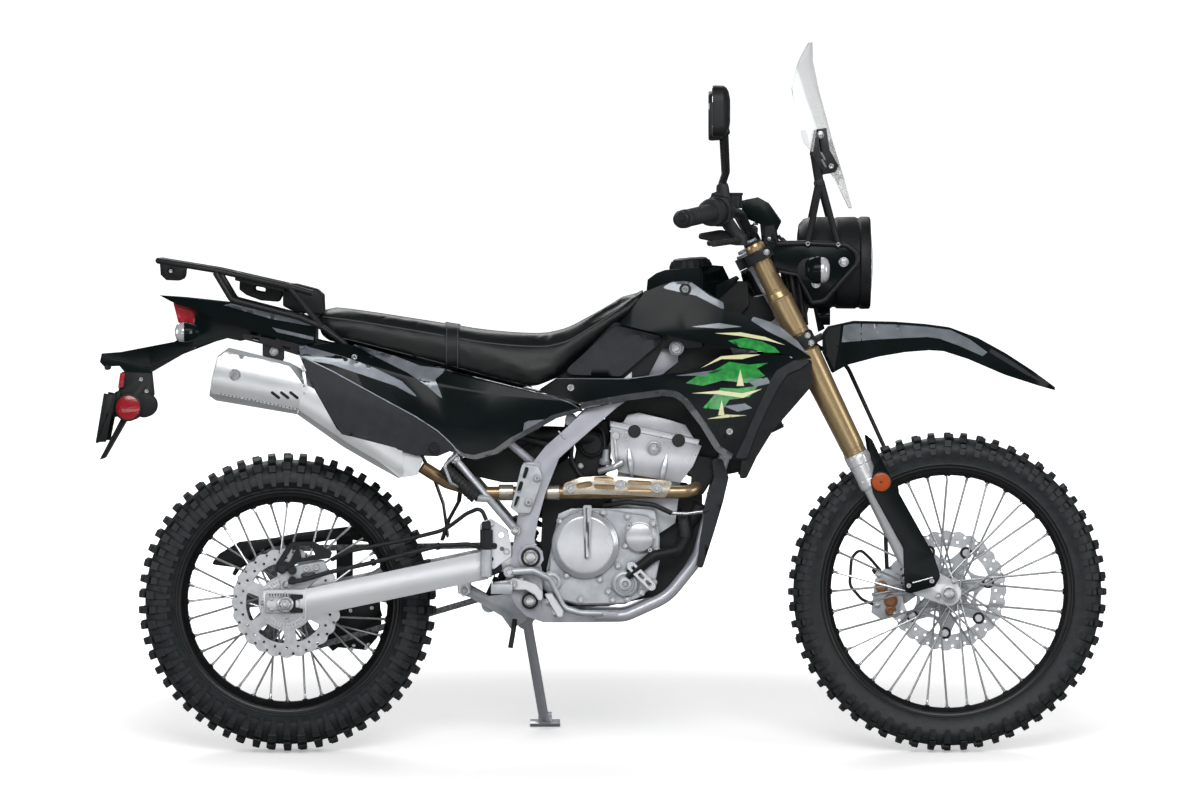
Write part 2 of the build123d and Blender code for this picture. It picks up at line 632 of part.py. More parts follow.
def fork_sliders():
    """Sliders with their axle lugs, and the front axle that joins them."""
    leg = steer_rod(LEG_OFFSET, LEG_Y, COLLAR_BOTTOM, OUTER_BOTTOM - FIT, COLLAR_RADIUS)
    leg += steer_rod(LEG_OFFSET, LEG_Y, 400, COLLAR_BOTTOM, SLIDER_RADIUS)
    leg += axle_lug()
    leg += pin(axle_of(FRONT), 15, FRONT.hub_half + 1, LUG_INNER)
    body = leg + other_side(leg)
    return body + pin(axle_of(FRONT), FRONT.axle_radius, -LUG_OUTER - 6, LUG_OUTER + 6)


GUARD = ahead([(1264, 690), (1274, 625), (1269, 581), (1340, 447), (1342, 352), (1354, 349), (1409, 364),
               (1421, 384), (1406, 431), (1325, 574), (1290, 640)])


def fork_guards():
    guard = prism(GUARD, LEG_Y + 6, LEG_Y + 30)
    guard -= leg_solid(FIT + 0.3) + axle_lug(FIT + 0.3)
    solids = sorted(guard.solids(), key=lambda solid: -solid.volume)
    guard = solids[0]
    return pair(guard)


def triple_clamps():
    """Both clamps on the steering stem, with the handlebar risers and the fender mount."""
    reach = LEG_Y + UPPER_TUBE_RADIUS + CLAMP_WALL
    front, back = LEG_OFFSET + UPPER_TUBE_RADIUS + CLAMP_WALL, -HEAD_RADIUS
    outline = [(back, -40), (LEG_OFFSET - 31, -reach + 6), (LEG_OFFSET - 20, -reach), (front - 16, -reach),
               (front, -reach + 14), (front, -70), (front - 18, -40), (front - 18, 40), (front, 70),
               (front, reach - 14), (front - 16, reach), (LEG_OFFSET - 20, reach),
               (LEG_OFFSET - 31, reach - 6), (back, 40)]
    body = steer_plate(outline, *UPPER_CLAMP) + steer_plate(outline, *LOWER_CLAMP)
    body += steer_rod(0, 0, LOWER_CLAMP[0], UPPER_CLAMP[1], STEM_RADIUS)
    for side in (1, -1):
        body -= steer_rod(LEG_OFFSET, side * LEG_Y, 900, 1300, UPPER_TUBE_RADIUS + FIT)
        a, s = in_steer(*BAR_CENTRE)
        body += steer_rod(a, side * 45, UPPER_CLAMP[1], s + 17, 17)
    body -= pin(BAR_CENTRE, BAR_RADIUS + FIT, -100, 100)
    mount = [(front - 18, -34), (front + 18, -34), (front + 18, 34), (front - 18, 34)]
    return body + steer_plate(mount, LOWER_CLAMP[0], LOWER_CLAMP[0] + 14)


# ---------- Steering fittings ----------
BAR_STRAIGHT = 160.0      # straight end of the bar, which carries the grip and the controls
BAR_RISE = 85.0           # across the rise, inboard of it
BAR = ahead([(BAR_CENTRE[0] - WHEELBASE + DRAWN_WHEELBASE, BAR_CENTRE[1], 0), (1008, 1128, 84),
             (985, 1172, BAR_END_Y - BAR_STRAIGHT - BAR_RISE), (948, 1181, BAR_END_Y - BAR_STRAIGHT),
             (862, 1161, BAR_END_Y)])


def handlebar(extra=0.0):
    points = [(x, y, z) for x, z, y in BAR]
    route = [(x, -y, z) for x, y, z in points[:0:-1]] + points[1:]
    bends = [70, 55, 55]
    return pipe(route, BAR_RADIUS + extra, bends + bends[::-1])


def on_bar(y):
    """Point of the handlebar's outer run at a distance from the middle."""
    inner, outer = BAR[3], BAR[4]
    share = (y - inner[2]) / (outer[2] - inner[2])
    return (inner[0] + (outer[0] - inner[0]) * share, y, inner[1] + (outer[1] - inner[1]) * share)


def grips():
    grip = rod(on_bar(BAR_END_Y - GRIP_LENGTH), on_bar(BAR_END_Y + 2), GRIP_RADIUS)
    grip += rod(on_bar(BAR_END_Y - GRIP_LENGTH), on_bar(BAR_END_Y - GRIP_LENGTH + 6), 29)
    grip -= rod(on_bar(BAR_END_Y - GRIP_LENGTH - 4), on_bar(BAR_END_Y + 0.2), BAR_RADIUS + FIT)
    return pair(grip)


LEVER_PIVOT, LEVER_TIP = ahead([(986.0, BAR_END_Y - 164, 1116.0), (925.0, BAR_END_Y - 8, 1108.0)])


def hand_controls():
    """Switch housings with the lever perches and levers."""
    end = BAR_END_Y - GRIP_LENGTH - 0.6
    house = rod(on_bar(end - 44), on_bar(end), 29)
    start = on_bar(end - 30)
    house += rod(start, LEVER_PIVOT, 12) + rod(LEVER_PIVOT, LEVER_TIP, 7)
    house += rod((LEVER_PIVOT[0], LEVER_PIVOT[1], LEVER_PIVOT[2] - 12),
                 (LEVER_PIVOT[0], LEVER_PIVOT[1], LEVER_PIVOT[2] + 12), 13)
    return pair(house - handlebar(FIT))


MIRROR_SIZE = (30.0, 148.0, 112.0)
MIRROR_CENTRE = ahead([(936.0, MIRROR_Y, 1392.0)])[0]
MIRROR_STEM = 138.0       # foot of the mirror's stem, in from the bar's end


def mirrors():
    base = on_bar(BAR_END_Y - MIRROR_STEM)
    foot = (base[0] + 16, base[1], base[2] + 26)
    knee = (foot[0] - 2, base[1] + 4, 1236)
    low = (MIRROR_CENTRE[0] + 14, MIRROR_Y - 22, MIRROR_CENTRE[2] - MIRROR_SIZE[2] / 2 + 8)
    half_x = MIRROR_SIZE[0] / 2
    face = RectangleRounded(MIRROR_SIZE[1], MIRROR_SIZE[2], 40)
    place = Plane(origin=(MIRROR_CENTRE[0] - half_x, MIRROR_Y, MIRROR_CENTRE[2]), x_dir=(0, 1, 0), z_dir=(1, 0, 0))
    glass = extrude(place * face, amount=MIRROR_SIZE[0])
    stem = rod(foot, knee, 10) + rod(knee, low, 6) + glass
    return pair(stem)


GAUGE = ahead([(992, 1166), (992, 1202), (1026, 1207), (1049, 1194), (1076, 1154), (1067, 1135), (1073, 1106),
               (1036, 1106), (1032, 1150)])
GAUGE_FOOT = ahead([(1036, 1090), (1036, 1107), (1066, 1107), (1062, 1090)])
LAMP_CENTRE = 1066.0
LAMP_RADIUS = 100.0
LAMP_X = ahead([(1118, 0), (1197, 0), (1268, 0), (1275, 0)])     # back, shoulder, rim and glass of the headlight
PLATE_OUT = ahead([(1046, 1112), (1133, 1110), (1223, 1105), (1246, 1084), (1241, 1063), (1190, 1008),
                   (1170, 977), (1140, 977), (1112, 1040), (1066, 1046)])
PLATE_BOSS, PLATE_TIE, HORN = ahead([(1211, LAMP_CENTRE), (1150, 982), (1158, 950)])
HORN_STRAP = ahead([(1144, 986), (1156, 986), (1172, 922), (1158, 915)])
LAMP_PLATE_Y = (103.0, 109.0)


def instrument_panel():
    body = prism(GAUGE, -66, 66)
    return body + prism(GAUGE_FOOT, -30, 30)


def headlight():
    def ring(x_from, x_to, r_from, r_to):
        return rod((x_from, 0, LAMP_CENTRE), (x_to, 0, LAMP_CENTRE), r_from, r_to)

    back, shoulder, rim, glass = (x for x, _ in LAMP_X)
    body = ring(shoulder, rim, LAMP_RADIUS, LAMP_RADIUS + 0.5) + ring(back, shoulder, 58, LAMP_RADIUS)
    return body + ring(rim, glass, LAMP_RADIUS - 4, LAMP_RADIUS - 30)


def headlight_bracket():
    plate = prism(PLATE_OUT, *LAMP_PLATE_Y) - leg_solid(FIT)
    plate = sorted(plate.solids(), key=lambda solid: -solid.volume)[0]
    boss = pin(PLATE_BOSS, 9, LAMP_RADIUS + 0.8, LAMP_PLATE_Y[0])
    left = plate + boss
    body = left + other_side(left)
    low = LAMP_PLATE_Y[0] + 1
    body += pin(PLATE_TIE, 6, -low - 4, low + 4)
    return body + prism(HORN_STRAP, -16, 16)


def horn():
    return rod((HORN[0], 0, HORN[1]), (HORN[0] + 26, 0, HORN[1]), 20)


SIGNAL_FRONT = ahead([(1148.0, 160.0, 1051.0)])[0]
SIGNAL_REAR = (-207.0, 128.0, 916.0)


def signals(centre, radius, facing, inner_y):
    """Pair of turn signals: a round body with a lens towards facing, and its stalk."""
    x, y, z = centre
    body = rod((x - facing * 22, y, z), (x + facing * 12, y, z), radius * 0.6, radius)
    body += rod((x + facing * 12, y, z), (x + facing * 32, y, z), radius, radius * 0.8)
    body += rod((x, inner_y, z), (x, y, z), 8)
    return pair(body)


# x at the middle, how far the edge is behind it, half width, height
SCREEN = ahead([(1233, 7, 42, 1184), (1213, 25, 92, 1256), (1190, 68, 152, 1330), (1160, 62, 178, 1442),
                (1147, 33, 158, 1504), (1146, 8, 70, 1546)])


def screen_face(z, middle, edge, half, wall):
    front = ThreePointArc((edge, -half, z), (middle, 0, z), (edge, half, z))
    back = ThreePointArc((edge - wall, half, z), (middle - wall, 0, z), (edge - wall, -half, z))
    ends = [Line((edge, half, z), (edge - wall, half, z)), Line((edge - wall, -half, z), (edge, -half, z))]
    return make_face([front, ends[0], back, ends[1]])


def windscreen(extra=0.0):
    wires = []
    for middle, back, half, z in SCREEN:
        face = screen_face(z, middle + extra, middle - back + extra, half, SCREEN_WALL + 2 * extra)
        wires.append(face.face().outer_wire())
    return Solid.make_loft(wires, True)


STAY_Y = 98.0
CLAMP_BODY = ahead([(1151, 1356), (1173, 1359), (1181, 1310), (1200, 1277), (1193, 1263), (1168, 1258),
                    (1141, 1303)])


def screen_stay(screen_room, bracket):
    plate_y = (LAMP_PLATE_Y[0] + LAMP_PLATE_Y[1]) / 2
    legs = ahead([(1132, plate_y, 1104), (1160, STAY_Y, 1240), (1200, plate_y, 1100), (1163, STAY_Y, 1240),
                  (1161, STAY_Y, 1236), (1150, STAY_Y, 1304)])
    stay = rod(legs[0], legs[1], 7) + rod(legs[2], legs[3], 7) + rod(legs[4], legs[5], 8)
    stay += prism(CLAMP_BODY, STAY_Y - 9, STAY_Y + 9)
    return pair(stay - screen_room - bracket)


FENDER_TOP = ahead([(1168, 912), (1180, 927), (1236, 939), (1327, 937), (1394, 932), (1445, 925), (1504, 903),
                    (1564, 870), (1623, 832), (1674, 795)])
FENDER_LOW = ahead([(1674, 788), (1635, 799), (1564, 822), (1485, 856), (1429, 874), (1398, 876), (1346, 872),
                    (1287, 862), (1220, 844), (1188, 826), (1168, 870)])
# x, half width
FENDER_WIDTH = ahead([(1166, 50), (1206, 58), (1250, 74), (1445, 78), (1600, 62), (1660, 38), (1674, 16)])
FENDER_WALL = 3.0


def front_fender(mount):
    plan = [(x, half) for x, half in FENDER_WIDTH] + [(x, -half) for x, half in FENDER_WIDTH[::-1]]
    inside = [(x, half - FENDER_WALL) for x, half in FENDER_WIDTH[:-1]]
    inside += [(x, -y) for x, y in inside[::-1]]
    body = prism(FENDER_TOP + FENDER_LOW, -100, 100) & column(plan, 700, 1000)
    low_top = [(x - 2, z - FENDER_WALL) for x, z in FENDER_TOP[1:-1]]
    (rear_x, _), (front_x, _) = ahead([(1171, 0), (1660, 0)])
    room = prism([(rear_x, 700), (rear_x, 880)] + low_top + [(front_x, 700)], -100, 100)
    room &= column(inside, 600, 1000)
    return body - room - mount


# ---------- Bodywork ----------
TANK = [(783.5, 1003), (786, 1029), (805, 1043), (824, 1050), (865, 1054), (925, 1061), (952, 1059), (967, 1050),
        (986, 1032), (950, 992), (940, 920), (900, 880), (745, 880), (722, 917), (762, 963), (782, 990)]
TANK_PLAN = [(690, 84), (790, 100), (860, TANK_HALF), (905, 100), (935, 52), (990, 48)]


# Room for the upper clamp and the fork legs at both steering stops, from above along the stem
TANK_NOTCH = [(70, -160), (70, 160), (-98, 160), (-106, 78), (-58, 4), (-58, -4), (-106, -78), (-98, -160)]
NOTCH_GAP = 6.0           # below the upper clamp


def fuel_tank():
    plan = TANK_PLAN + [(x, -y) for x, y in TANK_PLAN[::-1]]
    body = prism(TANK, -TANK_HALF, TANK_HALF) & column(plan, 800, 1100)
    room = prism(SPAR, 5, SPAR_OUTER) & column(SPAR_PLAN, 800, 1100)
    body -= steer_plate(TANK_NOTCH, UPPER_CLAMP[0] - NOTCH_GAP, UPPER_CLAMP[1] + 200)
    return body - room - other_side(room)


def fuel_cap():
    return rod((880, 0, 1056.4), (878.6, 0, 1076), 42, 38)


SEAT = [(65, 970), (148, 961), (300, 938), (341, 930), (347, 935), (375, 932), (380, 925), (426, 918), (502, 911),
        (559, 910), (584, 914), (616, 923), (647, 939), (710, 975), (774, 1019), (780, 1021), (777, 991),
        (755, 964), (717, 928), (679, 897), (647, 870), (603, 828), (584, 810), (543, 786), (502, 798),
        (426, 817), (332, 843), (135, 893), (65, 904)]
# x, half width
SEAT_PLAN = [(60, 92), (150, SEAT_HALF), (430, 114), (600, 108), (700, 84), (785, 58)]


def seat():
    plan = [(x, half) for x, half in SEAT_PLAN] + [(x, -half) for x, half in SEAT_PLAN[::-1]]
    return prism(SEAT, -120, 120) & column(plan, 700, 1100)


SIDE_COVER = [(28, 874), (44, 886), (100, 892), (135, 890), (300, 850), (332, 840), (426, 814), (540, 786),
              (616, 764), (631, 759), (647, 745), (616, 743), (584, 731), (496, 682), (458, 655), (411, 642),
              (357, 658), (330, 647), (284, 649), (121, 694), (103, 723), (80, 764), (58, 805)]
SIDE_STATIONS = [(10, [(920, 118), (868, 160), (800, 170), (600, 168)]),
                 (121, [(910, 112), (862, 156), (780, 170), (600, 166)]),
                 (300, [(870, 112), (810, 146), (720, 158), (600, 150)]),
                 (450, [(830, 120), (780, 138), (700, 144), (600, 140)]),
                 (660, [(800, 126), (760, 134), (700, 136), (600, 136)])]
RACK_BOLT = (150.0, 862.0)


def side_cover():
    panel = skin(SIDE_STATIONS) & prism(SIDE_COVER, 0, 300)
    for x, z, inner in ((420, 794, 98.2), (548, 769, 99.6)):
        panel += pin((x, z), 7, inner, 132)
    return panel - pin(RACK_BOLT, 10, 60, 300)


UPPER_SHROUD = [(722, 934), (745, 957), (779, 1003), (815, 1018), (845, 1026), (880, 1025), (918, 1000),
                (946, 984), (952, 963), (1015, 949), (1049, 938), (1078, 922), (1109, 896), (1140, 860),
                (1104, 858), (1085, 868), (950, 884), (900, 893), (821, 910)]
UPPER_STATIONS = [(700, [(1060, 96), (985, 116), (920, 124), (800, 126)]),
                  (860, [(1060, 104), (990, 124), (920, 140), (800, 142)]),
                  (950, [(1060, 134), (990, 141), (920, 150), (800, 154)]),
                  (1150, [(1060, 150), (960, 156), (900, 164), (800, 168)])]
LOWER_SHROUD = [(548, 787), (592, 816), (604, 819), (745, 816), (782, 821), (860, 830), (955, 864), (1010, 872),
                (1085, 866), (1104, 856), (1140, 856), (1113, 835), (1086, 824), (1068, 798), (1047, 758),
                (1020, 700), (1000, 640), (972, 640), (935, 660), (900, 715), (862, 762), (843, 776), (818, 778),
                (742, 767), (650, 749), (634, 764), (618, 770)]
LOWER_STATIONS = [(530, [(900, SPAR_OUTER + 2), (820, SPAR_OUTER + 10), (740, SPAR_OUTER + 12), (600, SPAR_OUTER + 12)]),
                  (750, [(900, SPAR_OUTER + 10), (820, SPAR_OUTER + 18), (740, SPAR_OUTER + 20), (600, SPAR_OUTER + 16)]),
                  (950, [(900, 150), (820, 154), (740, 150), (600, 138)]),
                  (1160, [(900, 168), (820, 166), (740, 156), (600, 142)])]
KNEE_PANEL = [(606, 828), (718, 927), (819, 903), (726, 824)]
KNEE_STATIONS = [(590, [(950, 116), (780, 122)]), (840, [(950, 122), (780, 130)])]


def upper_shroud(tank):
    """Panel beside the tank, on a post from the tank's side."""
    panel = skin(UPPER_STATIONS) & prism(UPPER_SHROUD, 0, 300)
    return panel + (pin((868, 985), 8, TANK_HALF - 10, 122) - tank)


def lower_shroud(frame):
    """Panel under it, on posts from the frame spar and from the radiator."""
    panel = skin(LOWER_STATIONS) & prism(LOWER_SHROUD, 0, 300)
    spar_post = pin((690, 768), 7, SPAR_OUTER - 12, SPAR_OUTER + 15) - frame
    return panel + spar_post + pin((1000, 830), 7, RADIATOR_Y[1], 154)


def knee_panel(tank):
    panel = skin(KNEE_STATIONS) & prism(KNEE_PANEL, 0, 300)
    return panel + (pin((762, 893), 7, 88, 122) - tank)


RADIATOR_A = (-128.0, -94.0)
RADIATOR_S = (838.0, LOWER_CLAMP[0] - 7.0)
RADIATOR_Y = (58.0, 128.0)


def radiators(frame):
    """Left and right cores, each on a stay from the front tube."""
    outline = [(RADIATOR_A[0], RADIATOR_Y[0]), (RADIATOR_A[1], RADIATOR_Y[0]), (RADIATOR_A[1], RADIATOR_Y[1]),
               (RADIATOR_A[0], RADIATOR_Y[1])]
    stay = ahead([(988, 40, 762), (1046, 66, 762)])
    core = steer_plate(outline, *RADIATOR_S) + rod(*stay, 6)
    return pair(core - frame)


TAIL_FRONT = 64.7         # just behind the seat
TAIL = [(-278, 995), (-223, 991), (-159, 984), (-105, 978), (-33, 963), (30, 944), (TAIL_FRONT, 936),
        (TAIL_FRONT, 892), (31, 888), (-60, 912), (-200, 965), (-245, 979)]
TAIL_PLAN = [(-280, 18), (-255, 58), (-200, 74), (-60, 92), (70, TAIL_HALF)]


def tail_cover():
    plan = TAIL_PLAN + [(x, -y) for x, y in TAIL_PLAN[::-1]]
    return prism(TAIL, -110, 110) & column(plan, 800, 1100)


UNDERTAIL = [(-404, 868), (-365, 871), (-245, 894), (-199, 925), (-197, 963.4), (-64, 912.6), (-60, 904),
             (-100, 896), (-128, 902), (-205, 880), (-295, 828), (-354, 828), (-365, 841), (-399, 840), (-408, 850)]
UNDERTAIL_PLAN = [(-410, 26), (-300, 34), (-190, 50), (-60, 72)]
INNER_FENDER = [(-78, 906), (60, 858), (180, 776), (280, 670), (322, 590), (340, 540), (350, 468)]


def rear_fender():
    plan = UNDERTAIL_PLAN + [(x, -y) for x, y in UNDERTAIL_PLAN[::-1]]
    body = prism(UNDERTAIL, -80, 80) & column(plan, 800, 1000)
    inner = strip(INNER_FENDER, 66, 4) - body
    return body, inner


LAMP = [(-247, 978.3), (-209, 966.8), (-199.6, 963), (-201, 930), (-236, 936)]
PLATE = [(-371, 786), (-368, 785), (-411, 674), (-414, 675)]
PLATE_HALF = 89.0
PLATE_HOLDER = [(-360, 827.7), (-296, 827.7), (-291, 780), (-296, 760), (-330, 742), (-372, 730),
                (-391, 725), (-368, 784.5)]
FLAP = [(-352, 744), (-336, 748), (-398, 640), (-408, 637)]
PLATE_BOLT_GAP = 146.0
PLATE_BOLT_RADIUS = 3.2
PLATE_BOLT_DROP = 18.0    # from the plate's top edge to its holes


def plate_slope():
    """Unit direction up the plate, in side view."""
    (x1, z1), (x0, z0) = PLATE[0], PLATE[3]
    run = hypot(x1 - x0, z1 - z0)
    return (x1 - x0) / run, (z1 - z0) / run


def plate_normal():
    up = plate_slope()
    return (-up[1], 0, up[0])


def plate_bolt_middle():
    """Middle between the two holes, on the plate's middle plane."""
    up = plate_slope()
    top = ((PLATE[0][0] + PLATE[1][0]) / 2, (PLATE[0][1] + PLATE[1][1]) / 2)
    return (top[0] - up[0] * PLATE_BOLT_DROP, 0, top[1] - up[1] * PLATE_BOLT_DROP)


def plate_holder():
    """Holder, blank number plate with two slotted bolt holes, side reflectors and mud flap."""
    holder = prism(PLATE_HOLDER, -30, 30)
    arm = prism([(-372, 784), (-360, 784), (-380, 732), (-392, 732)], -58, 58)
    plate = prism(PLATE, -PLATE_HALF, PLATE_HALF)
    middle = Vector(*plate_bolt_middle())
    for y in (-PLATE_BOLT_GAP / 2, PLATE_BOLT_GAP / 2):
        at = middle + Vector(0, y, 0)
        plate -= Plane(origin=at, z_dir=plate_normal()) * Cylinder(PLATE_BOLT_RADIUS, 20)
    reflector = pin((-345, 751), 27, -58, -50) + pin((-345, 751), 9, -51, -29)
    backing = pin((-311, 755), 26, -47, -41) + pin((-311, 760), 9, -42, -29)
    flap = prism(FLAP, -48, 48)
    sides = reflector + backing
    return holder + arm + plate + flap + sides + other_side(sides)


# x, z of the middle of the rack's rails
RAIL_RACK = [(-278, 1071), (-150, 1050), (13, 1013), (58, 1000)]
RACK_TUBE = 6.5
DECK = [(-110, 1036), (-4, 1012), (-4, 1004), (-110, 1028)]
DECK_BOLTS = 4
DECK_BOLT_CIRCLE = 99.0
DECK_BOLT_RADIUS = 3.3


def rack_deck_plane():
    tilt = atan2(DECK[1][1] - DECK[0][1], DECK[1][0] - DECK[0][0])
    middle = ((DECK[0][0] + DECK[1][0]) / 2, 0, (DECK[0][1] + DECK[1][1]) / 2)
    return Plane(origin=middle, x_dir=(cos(tilt), 0, sin(tilt)), z_dir=(-sin(tilt), 0, cos(tilt)))


def luggage_rack(rails):
    rail = pipe([(x, RACK_HALF, z) for x, z in RAIL_RACK], RACK_TUBE, [200, 200])
    leg = pipe([(-153, RACK_HALF, 1046), (-117, RACK_HALF, 986), (31, RACK_HALF, 948), (84, RACK_HALF, 924),
                (126, RACK_HALF, 893), (150, 126, RACK_BOLT[1])], RACK_TUBE, [16, 100, 60, 16])
    strut = rod((6, RACK_HALF, 1014), (78, RACK_HALF, 928), RACK_TUBE)
    boss = rod((RACK_BOLT[0], 130, RACK_BOLT[1]), (RACK_BOLT[0], SUBFRAME_Y - 4, RACK_BOLT[1]), 7.5) - rails
    side = rail + leg + strut + boss
    body = side + other_side(side)
    for x, z in ((-276, 1071), (-200, 1058.2), (-110, 1041), (6, 1014.5)):
        body += pin((x, z), RACK_TUBE, -RACK_HALF, RACK_HALF)
    body += prism(DECK, -RACK_HALF + 4, RACK_HALF - 4)
    body += prism([(-277, 1068), (-220, 1056), (-222, 1036), (-262, 1030), (-275, 1040)], -34, 34)
    holes = []
    for k in range(DECK_BOLTS):
        angle = radians(45 + 360 * k / DECK_BOLTS)
        x, y = DECK_BOLT_CIRCLE / 2 * cos(angle), DECK_BOLT_CIRCLE / 2 * sin(angle)
        holes.append(Location((x, y, 0)) * Cylinder(DECK_BOLT_RADIUS, 60))
    for hole in holes:
        body -= rack_deck_plane() * hole
    return body


# ---------- Feet, controls and guards ----------
PEG_SIZE = (46.0, 84.0, 20.0)
PEG_CENTRE = (470.0, 362.0)


def footpegs():
    """Rider's pegs on the pivot plates, and the folded passenger pegs on their struts."""
    low = SPAR_OUTER + 5
    peg = Location((PEG_CENTRE[0], low + 12 + PEG_SIZE[1] / 2, PEG_CENTRE[1])) * Box(*PEG_SIZE)
    arm = prism([(452, 352), (452, 374), (516, 383), (516, 360)], SPAR_OUTER, low + 14)
    strut = rod((499, SPAR_OUTER + 12, 486), (364, SPAR_OUTER + 14, 646), 8)
    strut += rod((499, SPAR_OUTER, 486), (499, SPAR_OUTER + 18, 486), 10)
    link = rod((441, 137, 555), (414, 152, 557), 8)
    folded = rod((414, 154, 557), (342, 154, 624), 12)
    return pair(peg + arm), pair(strut + link + folded)


def foot_controls():
    """Brake pedal with its master cylinder on the right, gear lever on the left."""
    out = -SPAR_OUTER - 12
    pedal = pipe([(486, out, 396), (560, out, 394), (606, out, 306), (700, out - 6, 306)], 7, [12, 12])
    pedal += pin((486, 396), 10, -SPAR_OUTER, out - 8)
    pedal += Location((706, out - 16, 309)) * Box(34, 38, 8)
    master = rod((436, out + 2, 384), (436, out + 2, 506), 12)
    heel = prism([(421, 500), (446, 512), (482, 488), (490, 452), (490, 430), (450, 400), (424, 430)],
                 -SPAR_OUTER - 3.5, -SPAR_OUTER)
    gear = pipe([(600, CASE_LEFT, 352), (600, 134, 352), (712, 138, 352), (712, 172, 352)], 6, [12, 12])
    return pedal, master + heel, gear


CHAIN_GUARD = [(-124, 384), (-90, 450), (16, 473), (148, 490), (160, 470), (73, 463), (-10, 458), (-86, 426),
               (-117, 380)]
CHAIN_FIN = [(62, 250), (96, 214), (205, 292), (196, 322), (150, 316), (70, 300)]


def chain_guards():
    top = prism(CHAIN_GUARD, CHAIN_Y - 10, CHAIN_Y + 13)
    tab = prism([(104, 372.4), (104, 470), (140, 474), (140, 380)], CHAIN_Y + 10, ARM_INNER - 2)
    tab += prism([(104, 372.4), (104, 392), (140, 400), (140, 380)], CHAIN_Y + 10, ARM_INNER + 6)
    fin = prism(CHAIN_FIN, CHAIN_Y + 9, CHAIN_Y + 13)
    fin += prism([(120, 314.4), (120, 320), (180, 327), (180, 316)], CHAIN_Y + 9, ARM_INNER)
    return top + tab, fin


def ground_height(y):
    """Height of the ground under the leaning motorcycle, in the upright frame."""
    sink = REAR.width / 2 * (1 - cos(radians(LEAN)))
    return y * tan(radians(LEAN)) - sink / cos(radians(LEAN))


def unit(vector):
    return Vector(*vector).normalized()


def stand_foot_point():
    """Where the leg's middle line meets the ground."""
    way = unit(STAND_DOWN)
    start = Vector(*STAND_PIVOT)
    slope = tan(radians(LEAN))
    drop = start.Z - ground_height(start.Y)
    return start + way * (drop / (way.Y * slope - way.Z))


def stand_axis():
    return unit(STAND_DOWN).cross(unit(STAND_UP)).normalized()


def stand_travel():
    return degrees(atan2(unit(STAND_DOWN).cross(unit(STAND_UP)).length, unit(STAND_DOWN).dot(unit(STAND_UP))))


STAND_EYE = 17.0
STAND_EYE_HALF = 11.5
STAND_PIN = 6.0
EAR_GAP = 0.6


def side_stand():
    pivot, foot, axis = Vector(*STAND_PIVOT), stand_foot_point(), stand_axis()
    eye = rod(tuple(pivot - axis * STAND_EYE_HALF), tuple(pivot + axis * STAND_EYE_HALF), STAND_EYE)
    way = unit(STAND_DOWN)
    leg = rod(tuple(pivot), tuple(foot - way * 14), STAND_RADIUS)
    up = Vector(0, -sin(radians(LEAN)), cos(radians(LEAN)))
    base = Plane(origin=foot, x_dir=(1, 0, 0), z_dir=up)
    length, width, height = FOOT_SIZE
    pad = base * Box(length, width, height, align=(Align.CENTER, Align.CENTER, Align.MIN))
    neck = base * Box(30, 26, 26, align=(Align.CENTER, Align.CENTER, Align.MIN))
    body = eye + leg + pad + neck
    return body - rod(tuple(pivot - axis * 40), tuple(pivot + axis * 40), STAND_PIN + FIT)


def stand_bracket():
    """Inner ear and pin that carry the side stand on the left pivot plate."""
    pivot, axis = Vector(*STAND_PIVOT), stand_axis()
    inner = STAND_EYE_HALF + EAR_GAP
    side = -1 if axis.Y > 0 else 1
    near = pivot + axis * (side * inner)
    far = pivot + axis * (side * (inner + 8))
    ear = rod(tuple(near), tuple(far), 18)
    bolt = rod(tuple(far), tuple(pivot - axis * (side * (STAND_EYE_HALF + 4))), STAND_PIN)
    cap_from = pivot - axis * (side * (STAND_EYE_HALF + EAR_GAP))
    cap = rod(tuple(cap_from), tuple(cap_from - axis * (side * 5)), 10)
    root = pivot + axis * (side * (inner + 8 + 3))
    arm = rod(tuple(root), (545, SPAR_INNER + 6, 300), 10) + rod(tuple(root), tuple(near), 10)
    return ear + bolt + cap + arm


# ---------- Hoses ----------
HOSE_RADIUS = 4.5
# from the caliper along the arm to the top of the pedal's master cylinder
REAR_HOSE = [(97.6, -68, 420), (140, -82, 440), (250, -88, 462), (345, -104, 486), (392, -124, 522), (424, -134, 536),
             (436, -134, 508.2)]
REAR_HOSE_BENDS = [60, 200, 100, 50, 14]
# from the caliper up the back of the left leg to the lower clamp
FRONT_HOSE = ahead([(1310, 58, 396.3), (1307, 60, 470), (1335, 84, 560), (1310, 84, 650), (1222, 78, 842),
                    (1151.5, 72, 887.9)])
FRONT_HOSE_BENDS = [60, 50, 60, 60]
WATER_HOSE = [(742, -94, 384), (800, -96, 430), (850, -84, 440), (876, -54, 482), (848, -38, 524)]


def water_hose():
    return pipe(WATER_HOSE, 12, [30, 24, 20])


def brake_hose(route, bends):
    return pipe(route, HOSE_RADIUS, bends)


